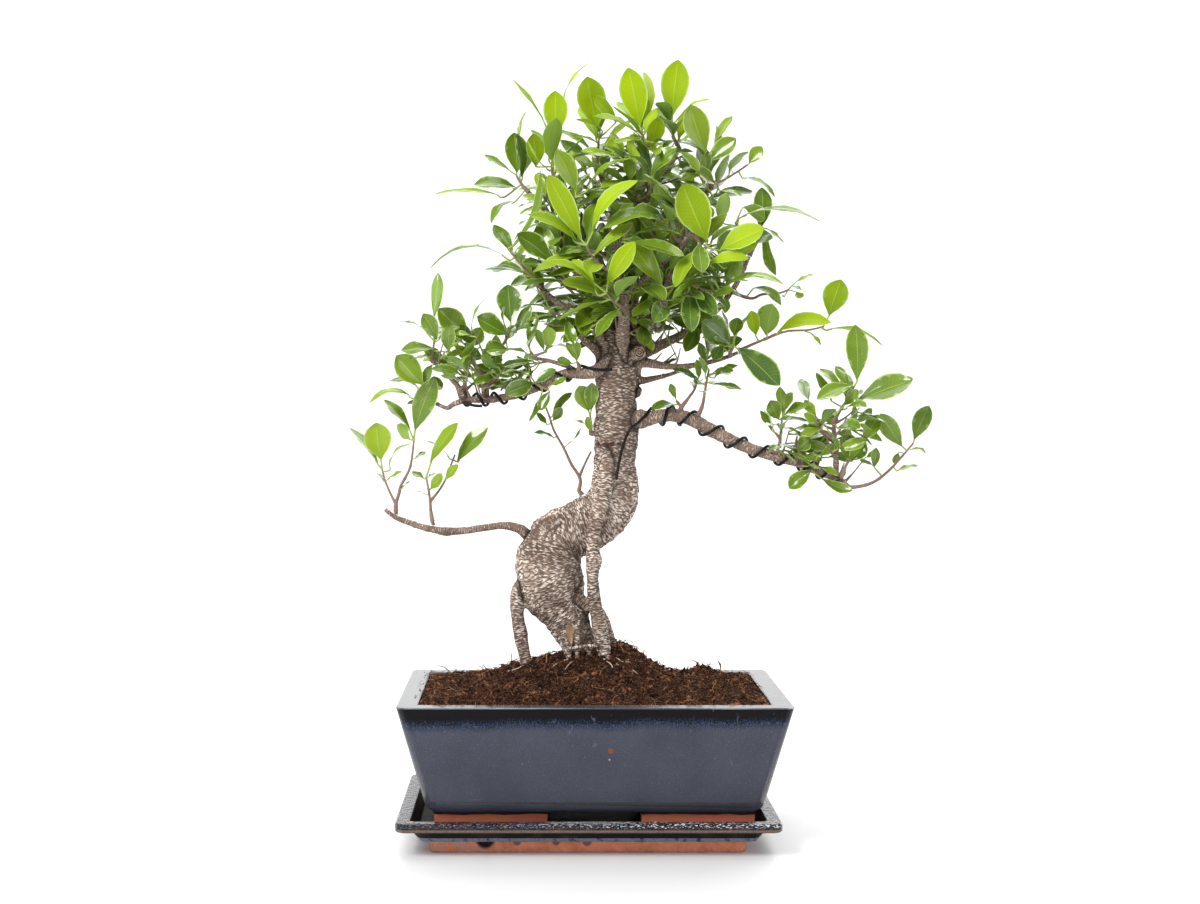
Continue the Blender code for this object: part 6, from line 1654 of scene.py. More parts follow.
def planted_soil(look, sizes):
    """The soil with its crumbs and coir fibres, and a spill on the rim."""
    ground, crumb = soil_finish(look), crumb_finish(look)
    strand = fibre_finish(look)
    mesh = soil_surface(sizes.soil_grid / MM)
    mesh.shade_smooth()
    bed = add_piece("soil_bed", mesh, [ground], "soil", "soil")
    rim = helper("spill_patch", spill_patch())
    crumb_one, strand_one = helper("crumb", crumb_shape()), helper("strand", strand_shape())
    litter = litter_recipe()
    crumbs = {"Shape": crumb_one, "Lift": 0.0, "Tilt": 1.5, "Bend": 0.0, "Material": crumb}
    fibres = {"Shape": strand_one, "Lift": 0.0005, "Tilt": 0.55, "Bend": 0.011, "Material": strand}
    layers = (
        ("soil_crumbs", bed, crumbs, sizes.crumbs, (0.0007, 0.0033), 11),
        ("soil_fibres", bed, fibres, sizes.fibres, (0.004, 0.017), 12),
        ("long_fibres", bed, fibres, sizes.fibres * 0.04, (0.018, 0.04), 15),
        ("spilled_crumbs", rim, crumbs, sizes.spill, (0.0003, 0.0011), 13),
        ("spilled_fibres", rim, fibres, sizes.spill * 0.08, (0.003, 0.008), 14),
    )
    for name, surface, plan, density, (smallest, largest), seed in layers:
        mesh = litter.run(surface, **plan, Density=density, Smallest=smallest, Largest=largest, Seed=seed)
        add_piece(name, mesh, [plan["Material"]], "soil")
    remove(rim, crumb_one, strand_one)


def root_hairs(look):
    """Thin pale roots that lie on the soil around the trunk."""
    pale = plain_finish("root_hair", look.twig_dash, 0.75, 0.7, look.bark_warm, 240.0, Specular_IOR_Level=0.2)
    paths = []
    for row in ROOT_HAIRS:
        knots = []
        for number, (x, y) in enumerate(row):
            knots.append((Vector((x, y, soil_height(x, y) + 0.9)), 0.8 - 0.18 * number))
        path = smooth_path(knots, 3.0)
        paths.append([(point + Vector((0, 0, noise.noise(point * 0.2))), radius) for point, radius in path])
    line = line_object("hairs", paths)
    mesh = wire_recipe().run(line, Radius=MM, Sides=6, Material=pale)
    remove(line)
    add_piece("root_hairs", mesh, [pale], "bark")


def spill_patch():
    """Small patches on the bowl's rim, where soil has fallen."""
    work = bmesh.new()
    rim = BOWL_INSIDE[0][3] + 0.1
    for left, right, near, far in SPILLS:
        corners = ((left, near), (right, near), (right, far), (left, far))
        work.faces.new([work.verts.new(Vector((x, y, rim)) * MM) for x, y in corners])
    return stored(work, "spill_patch")


Frame = namedtuple("Frame", "point radius heading side other travel limb")


def travels(points):
    """How far along the path each of its points lies."""
    lengths = [0.0]
    for start, end in zip(points, points[1:]):
        lengths.append(lengths[-1] + (end - start).length)
    return lengths


def limb_frames(path, limb):
    """A frame at each (point, radius) of a limb's path, turned along the path without twist."""
    points = [point for point, _ in path]
    frames, side = [], Vector((1, 0, 0))
    for number, ((point, radius), travel) in enumerate(zip(path, travels(points))):
        heading = (points[min(len(path) - 1, number + 1)] - points[max(0, number - 1)]).normalized()
        side = (side - heading * side.dot(heading)).normalized()
        frames.append(Frame(point, radius, heading, side, heading.cross(side), travel, limb))
    return frames


def knotted(path, draw):
    """The path with the small swellings that a twig has where leaves once grew."""
    due = draw.uniform(4, 12)
    result = []
    for (point, radius), travel in zip(path, travels([point for point, _ in path])):
        if travel > due:
            due = travel + draw.uniform(9, 17)
        near = math.exp(-(((due - travel) / 1.6) ** 2))
        result.append((point, radius * (0.95 + 0.22 * near)))
    return result


def collared(path, swell):
    """The path thickened by a share, and more where it grows out of its limb."""
    start = path[0][0]
    return [(point, radius * (swell + 0.7 * math.exp(-(point - start).length / 6))) for point, radius in path]


def merged(meshes):
    """One mesh of several, in their order."""
    work = bmesh.new()
    for mesh in meshes:
        work.from_mesh(mesh)
    return stored(work, "merged")


def grown_wood(grid):
    """All limbs and roots as one skin: the thick ones melt into each other, the thin ones stay round."""
    draw = random.Random(5)
    thick, thin, frames = [], [], []
    for number, (name, rows) in enumerate(LIMBS.items()):
        path = smooth_path(limb_samples(rows), LIMB_STEP)
        flat = TRUNK_FLAT if name == "trunk" else 1.0
        if flat != 1.0:
            path = [(Vector((point.x, point.y / flat, point.z)), radius) for point, radius in path]
        heavy = [sample for sample in path if sample[1] >= FINE_LIMB]
        light = path[max(0, len(heavy) - 3):] if len(heavy) > 1 else path
        if len(heavy) > 1:
            thick.append(tube(name, heavy, 5, flat))
        if len(light) > 3:
            thin.append(tube(name, knotted(light, draw), 3))
        frames += limb_frames(path, number)
    body = helper("thick_wood", merged(thick))
    remesh = body.modifiers.new("melt", "REMESH")
    remesh.mode = "VOXEL"
    remesh.voxel_size = grid
    soften = body.modifiers.new("soften", "SMOOTH")
    soften.factor = 0.5
    soften.iterations = 3
    skin = evaluated_mesh(body)
    remove(body)
    return skin, merged(thin), frames


def travelled(frames, number, point):
    """How far along its limb a point lies: between the planes of its frame and of the next one on its side."""
    frame_at = frames[number]
    ahead = (point - frame_at.point).dot(frame_at.heading)
    following = number + 1 if ahead > 0 else number - 1
    if 0 <= following < len(frames) and frames[following].limb == frame_at.limb:
        beyond = (point - frames[following].point).dot(frames[following].heading)
        if ahead * beyond < 0:
            return frame_at.travel + (frames[following].travel - frame_at.travel) * ahead / (ahead - beyond)
    return frame_at.travel + ahead


def add_grain(mesh, frames, lumps):
    """Pushes the skin into lumps and ridges and stores where each point lies on its limb."""
    tree = KDTree(len(frames))
    for number, frame_at in enumerate(frames):
        tree.insert(frame_at.point, number)
    tree.balance()
    old = [number for number, name in enumerate(LIMBS) if "root" in name or name in PALE_LIMBS or name == "trunk"]
    grain, girths, seams, places = [], [], [], []
    for vert in mesh.vertices:
        point = vert.co / MM
        depths = {}
        for _, number, gap in tree.find_n(point, NEAR_FRAMES):
            limb, depth = frames[number].limb, gap - frames[number].radius
            if limb not in depths or depth < depths[limb][0]:
                depths[limb] = (depth, number)
        ranked = sorted(depths.values())
        near = frames[ranked[0][1]]
        away, radius = point - near.point, near.radius
        along = travelled(frames, ranked[0][1], point) + near.limb * GRAIN_STRIDE
        flat = Vector((away.dot(near.side), away.dot(near.other), along))
        grain.append(flat * MM)
        girths.append(max(0.7, radius / 20) if near.limb in old else 0.02 * radius)
        # Where another limb lies nearly as close, the skin sinks into a seam, and the bark gets painted shade there.
        seam = 0.0
        if len(ranked) > 1:
            apart = ranked[1][0] - ranked[0][0]
            seam = max(0.0, 1 - apart / SEAM_WIDTH) * min(1.0, frames[ranked[1][1]].radius / 6)
        seams.append(seam)
        body = noise.fractal(point * 0.055, 1.0, 2.0, 3) * min(2.0, radius * 0.1)
        ridge = noise.noise(Vector((flat.x * 0.1, flat.y * 0.1, flat.z * 0.27))) * min(1.2, radius * 0.06)
        pebble = noise.noise(Vector((flat.x * 0.22, flat.y * 0.22, flat.z * 0.55))) * min(0.5, radius * 0.03)
        push = (body + ridge + pebble) * lumps - seam * min(2.0, radius * 0.14)
        places.append(vert.co + vert.normal * push * MM)
    mesh.vertices.foreach_set("co", [part for place_at in places for part in place_at])
    set_values(mesh, "grain", "FLOAT_VECTOR", grain)
    set_values(mesh, "girth", "FLOAT", girths)
    set_values(mesh, "seam", "FLOAT", seams)
    mesh.update()
    mesh.shade_smooth()


def bark_pieces(look, sizes):
    """The trunk with its aerial roots and limbs."""
    skin, twigs, frames = grown_wood(sizes.bark_grid)
    add_grain(skin, frames, sizes.bark_relief)
    add_grain(twigs, frames, 0.0)
    bark = bark_finish(look)
    add_piece("bark", skin, [bark], "bark", "trunk")
    add_piece("thin_limbs", twigs, [bark], "bark")
    root_hairs(look)


def wire_recipe():
    """Sweeps a round section along a path."""
    recipe = Recipe("wire", Radius="Float", Sides="Int", Material="Material")
    inputs = recipe.inputs
    return recipe.end(recipe.rods(inputs["Geometry"], inputs["Radius"], inputs["Sides"]), ("Material", None))


def line_object(name, paths):
    return helper(name, poly_curve(name, paths))


def training_wires(look, sizes):
    """The two black wires, and the short end of an older one on the trunk."""
    coated = plain_finish("wire_coat", look.wire, 0.42, 0.5, look.wire_worn, 160.0, Specular_IOR_Level=0.2)
    recipe = wire_recipe()
    paths = {}
    for name, plan in WIRES.items():
        path = wire_path(limb_samples(LIMBS[plan["limb"]]), plan, 18)
        first = len(plan["lead"])
        for number in [*range(max(1, first - 1), first + 5)] * 6:
            path[number] = (path[number - 1] + path[number] * 2 + path[number + 1]) / 4
        paths[name] = smooth_path([(point, 1.0) for point in path], 2.0)
    paths["wire_end"] = smooth_path([(seen(*point), 1.0) for point in WIRE_END], 2.0)
    for name, path in paths.items():
        line = line_object(name, [path])
        mesh = recipe.run(line, Radius=sizes.wire / 2, Sides=14, Material=coated)
        remove(line)
        nodes = (name,) if name in WIRES else ()
        add_piece("training_" + name, mesh, [coated], "wire", *nodes)


def leaf_template():
    """A blade of unit length along x and unit width along y, closed, with a fold along its midrib."""
    columns = (-1.0, -0.5, 0.0, 0.5, 1.0)
    points, values, faces, under = [], [], [], []
    rows = len(LEAF_OUTLINE)
    index = {}
    for layer in (0, 1):
        for row, (along, share) in enumerate(LEAF_OUTLINE):
            for column, across in enumerate(columns):
                shared = abs(across) == 1.0 or row in (0, rows - 1)
                if layer and shared:
                    index[layer, row, column] = index[0, row, column]
                    continue
                fold = LEAF_FOLD * (abs(across) ** 1.25 - 1) * min(1.0, share * 1.4)
                groove = -0.0004 if across == 0.0 else 0.0
                thick = -LEAF_THICK * (1.6 if across == 0.0 else 1.0) if layer else 0.0
                index[layer, row, column] = len(points)
                points.append((along, across * share / 2, fold + thick + (0.0 if layer else groove)))
                values.append((along, across))
    for row in range(rows - 1):
        for column in range(len(columns) - 1):
            corners = [(row, column), (row + 1, column), (row + 1, column + 1), (row, column + 1)]
            faces.append([index[0, *corner] for corner in corners])
            faces.append([index[1, *corner] for corner in reversed(corners)])
            under += [0.0, 1.0]
    mesh = bpy.data.meshes.new("leaf_template")
    mesh.from_pydata(points, [], faces)
    set_values(mesh, "along", "FLOAT", [along for along, _ in values])
    set_values(mesh, "across", "FLOAT", [across for _, across in values])
    set_values(mesh, "under", "FLOAT", under, "FACE")
    return mesh


def spray_recipe():
    """Sets a blade on every point by its attributes, bows it, and adds the stems and leaf stalks."""
    recipe = Recipe(
        "leafy spray", Leaf="Object", Stems="Object", Stalks="Object", Ripple="Float",
        Blade="Material", Twig="Material", Stalk="Material",
    )
    inputs = recipe.inputs
    turn = recipe.euler(recipe.named("turn", "FLOAT_VECTOR"))
    size = recipe.named("size", "FLOAT_VECTOR")
    blades = recipe.copies(inputs["Geometry"], recipe.shape("Leaf"), turn, size)
    along, across, seed = recipe.named("along"), recipe.named("across"), recipe.named("seed")
    rise = recipe.times(recipe.times(along, recipe.minus(1.0, along)), 4.0)
    bow = recipe.scaled(recipe.named("bow", "FLOAT_VECTOR"), rise)
    phase = recipe.plus(recipe.times(along, 11.0), recipe.times(seed, 40.0))
    wave = recipe.math("SINE", recipe.plus(phase, recipe.times(across, 1.3)))
    wave = recipe.times(wave, recipe.math("POWER", recipe.math("ABSOLUTE", across), 2.0))
    wave = recipe.times(recipe.times(wave, rise), inputs["Ripple"])
    flutter = recipe.scaled(recipe.named("up", "FLOAT_VECTOR"), wave)
    parts = [recipe.moved(blades, recipe.vectors("ADD", bow, flutter))]
    for label, mark in (("Stems", 1.0), ("Stalks", 2.0)):
        rods = recipe.rods(recipe.shape(label), MM, STEM_SIDES)
        parts.append(recipe.kept(rods, "woody", mark, "FACE"))
    joined = recipe.add("GeometryNodeJoinGeometry", {"Geometry": parts[::-1]})
    woody = recipe.named("woody")
    stem, stalk = (recipe.math("GREATER_THAN", woody, mark - 0.5) for mark in (1.0, 2.0))
    return recipe.end(joined, ("Blade", None), ("Twig", stem), ("Stalk", stalk))


def leaf_points(name, leaves, tone, draw, given=0):
    """One point for each leaf with all that the recipe needs to set it."""
    mesh = bpy.data.meshes.new(name)
    bases, turns, sizes, bows, ups, tones, seeds = [], [], [], [], [], [], []
    for number, leaf in enumerate(leaves):
        run = leaf["tip"] - leaf["base"]
        along = run.normalized()
        up = (leaf["up"] - along * leaf["up"].dot(along)).normalized()
        side = up.cross(along)
        bases.append(leaf["base"] * MM)
        turns.append(Matrix((along, side, up)).transposed().to_euler())
        sizes.append((run.length * MM, leaf["width"] * 1.04 * MM, leaf["width"] / 25))
        sway = draw.uniform(-0.03, 0.03)
        bows.append((up * leaf["arch"] + side * sway) * run.length * MM)
        ups.append(up)
        # Painted light: leaves higher in the crown get a brighter tone.
        height = (leaf["tip"].z - CROWN_CENTRE.z) / CROWN_REACH.z
        lit = 0.16 * height if name.startswith(("crown", "back", "inner")) else 0.0
        age = tone if number < given else tone * 0.5 + 0.05
        age = 1.2 if (name, number) in YOUNG_LEAVES else age
        tones.append(max(0.0, min(1.0, age + lit + draw.uniform(-0.26, 0.26))))
        seeds.append(draw.random())
    mesh.from_pydata(bases, [], [])
    for label, values in (("turn", turns), ("size", sizes), ("bow", bows), ("up", ups)):
        set_values(mesh, label, "FLOAT_VECTOR", values)
    set_values(mesh, "tone", "FLOAT", tones)
    set_values(mesh, "seed", "FLOAT", seeds)
    return mesh


def stalk_path(leaf):
    """The leaf stalk, bent from its stem into the blade and fading under the midrib."""
    run = leaf["tip"] - leaf["base"]
    up = leaf["up"] - run * (leaf["up"].dot(run) / run.length_squared)
    sink = up.normalized() * LEAF_FOLD / MM * leaf["width"] / 25
    start = leaf["base"] - sink * 0.9
    into = leaf["base"] + run * 0.1 + up.normalized() * leaf["arch"] * run.length * 0.36 - sink * 1.2
    wide = min(0.95, 0.5 + run.length * 0.008)
    return smooth_path([(leaf["root"], wide * 1.15), (start, wide), (into, wide * 0.45)], 2.5)


def grow_tree(share):
    """Stems and leaves by the same rules and draws as the part's source, then the crown's inner twigs."""
    limbs = {name: limb_samples(rows) for name, rows in LIMBS.items()}
    wood = {}
    for name, samples in limbs.items():
        wood[name] = tube(name, samples, limb_bevel(name), TRUNK_FLAT if name == "trunk" else 1.0)
    space = Space()
    for name, mesh in wood.items():
        space.add_mesh(name, "wood", mesh)
    for name, plan in WIRES.items():
        path = wire_path(limbs[plan["limb"]], plan)
        space.add_mesh(name, "wire", tube(name, [(point, WIRE_RADIUS) for point in path], 0))
    paths, kept = {}, {}
    for name, plan in SPRAYS.items():
        paths[name] = place_stems(space, name, plan, limbs[plan["limb"]], wood[plan["limb"]])
    for place in (place_given, place_ruled):
        for name, plan in SPRAYS.items():
            place(space, name, plan, paths[name], kept)
    return paths, kept, inner_sprays(space, limbs, share)


def inner_sprays(space, limbs, share):
    """Short twigs with small leaves along the crown's limbs, inside the outline of the large leaves."""
    draw = random.Random(31)
    sprays = {}
    for limb, spacing in INNER_LIMBS.items():
        name = "inner_" + limb
        path = smooth_path(limbs[limb], 3.0)
        lengths = travels([point for point, _ in path])
        twigs, leaves = [], []
        due, turn = 10.0, draw.uniform(0, 6.28)
        for (before, _), (point, radius), travel in zip(path, path[1:], lengths[1:]):
            if travel < due:
                continue
            bare = point.z < INNER_FLOOR and limb not in PAD_LIMBS
            due = travel + spacing / share * draw.uniform(0.75, 1.25) * (0.7 if bare else 1.0)
            along = (point - before).normalized()
            for _ in range(INNER_TRIES):
                turn += GOLDEN_ANGLE
                twig = inner_twig(draw, point, radius, along, turn, bare)
                if not inner_room(twig[-1][0], limb):
                    continue
                mesh = tube("twig", twig[2:], 0)
                if space.free(*points_and_faces(mesh), {(limb, "wood")}):
                    twigs.append(twig)
                    space.add_mesh(name, "stem", mesh)
                    leaves += [] if bare else inner_leaves(draw, space, name, twig, limb)
                    break
        if twigs:
            sprays[name] = (twigs, leaves)
    return sprays


def inner_twig(draw, point, radius, along, turn, bare):
    """The path of one short twig that leaves its limb at the point; a bare one strays more."""
    radial = Matrix.Rotation(turn, 3, along) @ along.orthogonal().normalized()
    heading = (radial + along * draw.uniform(0.2, 0.7) + Vector((0, 0, 0.25))).normalized()
    reach = draw.uniform(16, 38)
    stray = Vector((draw.uniform(-0.7, 0.7), draw.uniform(-0.7, 0.7), 0.6))
    heading = (heading + (along * draw.uniform(0, 2) + stray) * bare).normalized()
    middle = point + heading * reach * 0.5 + Vector((draw.uniform(-2, 2), draw.uniform(-2, 2), 0))
    tip = point + heading * reach + Vector((0, 0, reach * 0.18))
    return smooth_path([(point, min(1.5, radius * 0.8)), (middle, 1.0), (tip, 0.75)], 4.0)


def inner_leaves(draw, space, name, twig, limb):
    """The leaves of one short twig."""
    leaves, turn = [], draw.uniform(0, 6.28)
    for _ in range(draw.randint(3, 6)):
        for attempt in range(INNER_LEAF_TRIES):
            turn += GOLDEN_ANGLE
            size = draw.uniform(0.6, 1.2) * (1 - 0.5 * attempt / INNER_LEAF_TRIES)
            leaf = ruled_leaf(draw, "crown_inner", twig, turn, size)
            if inner_room(leaf["tip"], limb) and leaf_fits(space, name, leaf):
                keep_leaf(space, name, leaf, {})
                leaves.append(leaf)
                break
    return leaves


def inner_room(tip, limb):
    """True inside the outline that the photograph's large leaves give."""
    centre, reach = PAD_LIMBS.get(limb, (INNER_CENTRE, INNER_REACH))
    away = tip - centre
    return (away.x / reach.x) ** 2 + (away.y / reach.y) ** 2 + (away.z / reach.z) ** 2 < 1


def leafy_sprays(look, sizes):
    """Every spray with its stems, leaf stalks and blades, and the crown's inner twigs."""
    paths, kept, inner = grow_tree(sizes.inner_share)
    young = leaf_finish(look, "leaf_young", 0.12, 0.0)
    old = leaf_finish(look, "leaf_old", 0.2, look.leaf_gloss)
    twig = plain_finish("twig", look.twig, 0.7, 0.8, look.twig_pale, 170.0, Specular_IOR_Level=0.2)
    stalk = plain_finish("leaf_stalk", look.stalk, 0.45, 0.7, look.stalk_dark, 120.0)
    recipe = spray_recipe()
    template = helper("leaf_template", leaf_template())
    plans = {}
    for name in SPRAYS:
        plans[name] = (paths[name], kept.get(name, []), SPRAYS[name]["tone"], ("spray_" + name,))
    for name, (twigs, leaves) in inner.items():
        plans[name] = (twigs, leaves, "inner", ())
    for name, (lines, leaves, tone, nodes) in plans.items():
        draw = random.Random("looks " + name)
        given = len(SPRAYS[name]["leaves"]) if name in SPRAYS else len(leaves)
        blade = young if tone == "bright" else old
        points = helper(name, leaf_points(name, leaves, LEAF_TONES[tone], draw, given))
        swell = 0.85 if tone == "inner" else 1.15
        lines = [collared(smooth_path(line, 2.5), swell) for line in lines]
        stems = line_object("stems", [knotted(line, draw) for line in lines])
        stalks = line_object("stalks", [stalk_path(leaf) for leaf in leaves])
        mesh = recipe.run(
            points, Leaf=template, Stems=stems, Stalks=stalks, Ripple=sizes.leaf_ripple,
            Blade=blade, Twig=twig, Stalk=stalk,
        )
        remove(points, stems, stalks)
        slot = LEAF_SLOTS.get(tone, "leaf_dark")
        add_spray(name, mesh, slot, nodes, (blade, twig, stalk))
    remove(template)


def add_spray(name, mesh, slot, nodes, materials):
    """Stores a spray, each face keeping the material that the recipe gave it."""
    names = [material.name for material in materials]
    given = [names.index(material.name) if material else 0 for material in mesh.materials]
    numbers = [given[face.material_index] for face in mesh.polygons]
    add_piece("leaves_" + name, mesh, materials, slot, *nodes)
    mesh.polygons.foreach_set("material_index", numbers)
    mesh.update()


def drain_screens(look):
    """The plastic screens keep their CAD shape and get a moulded finish."""
    plastic = plain_finish("screen_plastic", look.wire, 0.55, 0.5, look.wire_worn, 200.0)
    for name in ("drain_screen_left", "drain_screen_right"):
        node = bpy.data.objects[name]
        node.data.materials.clear()
        node.data.materials.append(plastic)


def fallen_leaf(look, sizes):
    """The dry leaf that leans on the roots."""
    dry = plain_finish("dry_leaf", look.dry_leaf, 0.7, 0.6, look.twig, 150.0)
    base, tip = (seen(*point) for point in DRY_LEAF)
    leaf = {
        "root": base + (base - tip) * 0.12, "base": base, "tip": tip,
        "up": Vector((0.5, -1, 0.1)), "width": 9.0, "arch": -0.1,
    }
    points = helper("dry_point", leaf_points("dry_leaf", [leaf], 0.5, random.Random(3), 1))
    template = helper("leaf_template", leaf_template())
    stalks = line_object("stalks", [stalk_path(leaf)])
    mesh = spray_recipe().run(
        points, Leaf=template, Stems=stalks, Stalks=stalks, Ripple=sizes.leaf_ripple * 2,
        Blade=dry, Twig=dry, Stalk=dry,
    )
    remove(points, template, stalks)
    add_piece("dry_leaf", mesh, [dry], "leaf_dark")


def stage_sweep(look):
    """The pale floor, curved up into the backdrop behind."""
    profile = [(STAGE_FRONT, 0.0), (STAGE_BACK, 0.0)]
    for step in range(1, STAGE_STEPS + 1):
        angle = math.pi / 2 * step / STAGE_STEPS
        profile.append((STAGE_BACK + STAGE_CURVE * math.sin(angle), STAGE_CURVE - STAGE_CURVE * math.cos(angle)))
    profile.append((STAGE_BACK + STAGE_CURVE, STAGE_TOP))
    work = bmesh.new()
    lines = [[work.verts.new((x, y, z)) for x in (-STAGE_HALF, STAGE_HALF)] for y, z in profile]
    for low, high in zip(lines, lines[1:]):
        work.faces.new((low[0], low[1], high[1], high[0]))
    mesh = stored(work, "stage")
    mesh.materials.append(plain_finish("stage_paper", look.stage, 0.35, 0.04, (0.9, 0.9, 0.9), 2.0))
    mesh.shade_smooth()
    helper("stage", mesh)


def stage_lamps(look, light):
    """Light from all round and the five soft lamps."""
    world = bpy.data.worlds.new("soft_room")
    world.use_nodes = True
    background = world.node_tree.nodes["Background"]
    background.inputs["Color"].default_value = (*look.room, 1.0)
    background.inputs["Strength"].default_value = light.room
    bpy.context.scene.world = world
    for name, place_at, aim, size, power in LIGHTS:
        lamp = bpy.data.lights.new(name, "AREA")
        lamp.energy = power * light.power
        lamp.shape = "RECTANGLE"
        lamp.size, lamp.size_y = size
        obj = helper(name, lamp)
        obj.location = place_at
        obj.rotation_euler = (Vector(aim) - Vector(place_at)).to_track_quat("-Z", "Y").to_euler()


def stage(look, light):
    """Pale floor and backdrop, soft lights and the photograph's camera."""
    stage_sweep(look)
    stage_lamps(look, light)
    camera = bpy.data.cameras.new("camera")
    camera.lens, camera.sensor_width = CAMERA_LENS, CAMERA_SENSOR
    camera.shift_x, camera.shift_y = CAMERA_SHIFT
    view = helper("camera", camera)
    view.location = Vector((EYE_X, -EYE_DISTANCE, EYE_Z)) * MM
    view.rotation_euler = (math.pi / 2, 0, 0)
    scene = bpy.context.scene
    scene.camera = view
    scene.view_settings.view_transform = "Standard"
    scene.view_settings.exposure = light.exposure


def tint(name, text, value):
    return bpy.props.FloatVectorProperty(
        name=name, description=text, default=value, subtype="COLOR", size=3, min=0.0, max=1.0
    )


def length(name, text, value):
    return bpy.props.FloatProperty(name=name, description=text, default=value, unit="LENGTH", subtype="DISTANCE")


def number(name, text, value, low=0.0, high=100.0):
    return bpy.props.FloatProperty(name=name, description=text, default=value, min=low, max=high)


class BonsaiColours(bpy.types.PropertyGroup):
    """Colours of the tree, its pot and the stage."""

    slate: tint("Slate glaze", "Ground colour of the bowl's wall", (0.052, 0.055, 0.076))
    slate_pale: tint("Pale slate", "Lighter clouds in the slate glaze", (0.074, 0.079, 0.104))
    slate_fleck: tint("Slate flecks", "Fine pale flecks in the slate glaze", (0.13, 0.15, 0.2))
    rim: tint("Rim glaze", "Thick glaze of the rim", (0.05, 0.052, 0.06))
    band: tint("Dark glaze", "Near-black glaze of the band, rim and tray", (0.004, 0.004, 0.006))
    band_fleck: tint("Blue flecks", "Blue flecks in the dark glaze", (0.045, 0.075, 0.17))
    tray_brown: tint("Brown glaze", "Brown runs in the tray's glaze", (0.05, 0.026, 0.018))
    rust: tint("Rust spot", "Iron spot on the front of the bowl", (0.21, 0.08, 0.04))
    clay: tint("Clay", "Bare terracotta", (0.5, 0.14, 0.068))
    # Painted highlights: pale glints along the tray's lip
    painted_glint: tint("Glints", "Pale specks along the tray's lip", (0.85, 0.85, 0.88))
    # The tray foot's terracotta with painted light: lighter than the clay, standing in for light under the lip
    clay_with_painted_light: tint("Pale clay", "Lit terracotta of the tray's foot", (0.9, 0.33, 0.19))
    clay_dark: tint("Dark clay", "Darker clouds in the terracotta", (0.36, 0.085, 0.04))
    clay_stain: tint("Clay stain", "Grey lime stains on the terracotta", (0.42, 0.36, 0.34))
    clay_film: tint("Clay film", "Half-round marks where the tray was dipped", (0.12, 0.075, 0.07))
    lip_tan: tint("Lip edge", "Thin tan line along the lower edge of the tray's lip", (0.3, 0.19, 0.12))
    cove: tint("Tray cove", "Blue streaks of glaze under the tray's lip", (0.18, 0.195, 0.26))
    soil: tint("Soil", "Ground colour of the soil", (0.125, 0.053, 0.029))
    soil_red: tint("Red peat", "Redder crumbs of the soil", (0.29, 0.125, 0.066))
    # The darkest crumbs and damp patches, and painted shade on the ground between the crumbs
    soil_dark_and_shade: tint("Damp soil", "Dark hollows of the soil", (0.012, 0.005, 0.003))
    fibre: tint("Coir", "Coir fibres in the soil", (0.38, 0.18, 0.095))
    fibre_pale: tint("Pale coir", "The palest fibres", (0.44, 0.23, 0.11))
    bark_ground: tint("Bark", "Ground colour of the bark", (0.295, 0.205, 0.16))
    bark_warm: tint("Warm bark", "Browner patches of the bark", (0.43, 0.305, 0.24))
    # Dark knot rings and patches, and painted shade in the bark's crevices and in the seams between limbs
    bark_dark_and_shade: tint("Bark hollows", "Dark hollows of the bark", (0.07, 0.044, 0.032))
    bark_dash: tint("Bark dashes", "Raised pale dashes across the bark", (1.0, 0.87, 0.76))
    scar: tint("Scar", "Reddish ring where a limb was wired", (0.07, 0.017, 0.012))
    limb: tint("Limb", "Young bark of the crown's limbs", (0.29, 0.195, 0.155))
    twig: tint("Twig", "Young bark of thin limbs and twigs", (0.16, 0.1, 0.075))
    twig_pale: tint("Pale twig", "Paler lengths of the twigs", (0.36, 0.265, 0.2))
    twig_dash: tint("Twig dashes", "Pale marks on young bark", (0.66, 0.53, 0.42))
    leaf_young: tint("Young leaf", "Blades at the ends of shoots", (0.345, 0.475, 0.001))
    leaf_grown: tint("Grown leaf", "Blades between young and old", (0.155, 0.25, 0.011))
    leaf_old: tint("Old leaf", "Dark blades inside the crown", (0.05, 0.113, 0.019))
    # Darkens blades at random, and gives painted shade towards their base and on one half of their fold
    leaf_dark_and_shade: tint("Leaf shade", "What blades are darkened with", (0.5, 0.6, 0.48))
    leaf_light: tint("Leaf patches", "Paler patches of a blade", (0.25, 0.37, 0.03))
    leaf_rib: tint("Leaf rib", "Midrib, side veins and margin", (0.5, 0.64, 0.16))
    leaf_under: tint("Leaf underside", "Paler lower face of a blade", (0.26, 0.42, 0.12))
    stalk: tint("Leaf stalk", "Leaf stalks", (0.36, 0.46, 0.08))
    stalk_dark: tint("Old leaf stalk", "Older leaf stalks", (0.2, 0.26, 0.06))
    dry_leaf: tint("Dry leaf", "The fallen leaf at the roots", (0.52, 0.33, 0.19))
    wire: tint("Wire", "Coating of the training wire", (0.004, 0.0035, 0.003))
    wire_worn: tint("Worn wire", "Dull patches of the training wire", (0.014, 0.013, 0.012))
    stage: tint("Stage", "Floor and backdrop", (0.83, 0.83, 0.83))
    room: tint("Room", "Light that comes from all round", (1.0, 1.0, 1.0))
    leaf_gloss: number("Leaf gloss", "Strength of the waxy coat on the blades", 0.62, 0.0, 1.0)


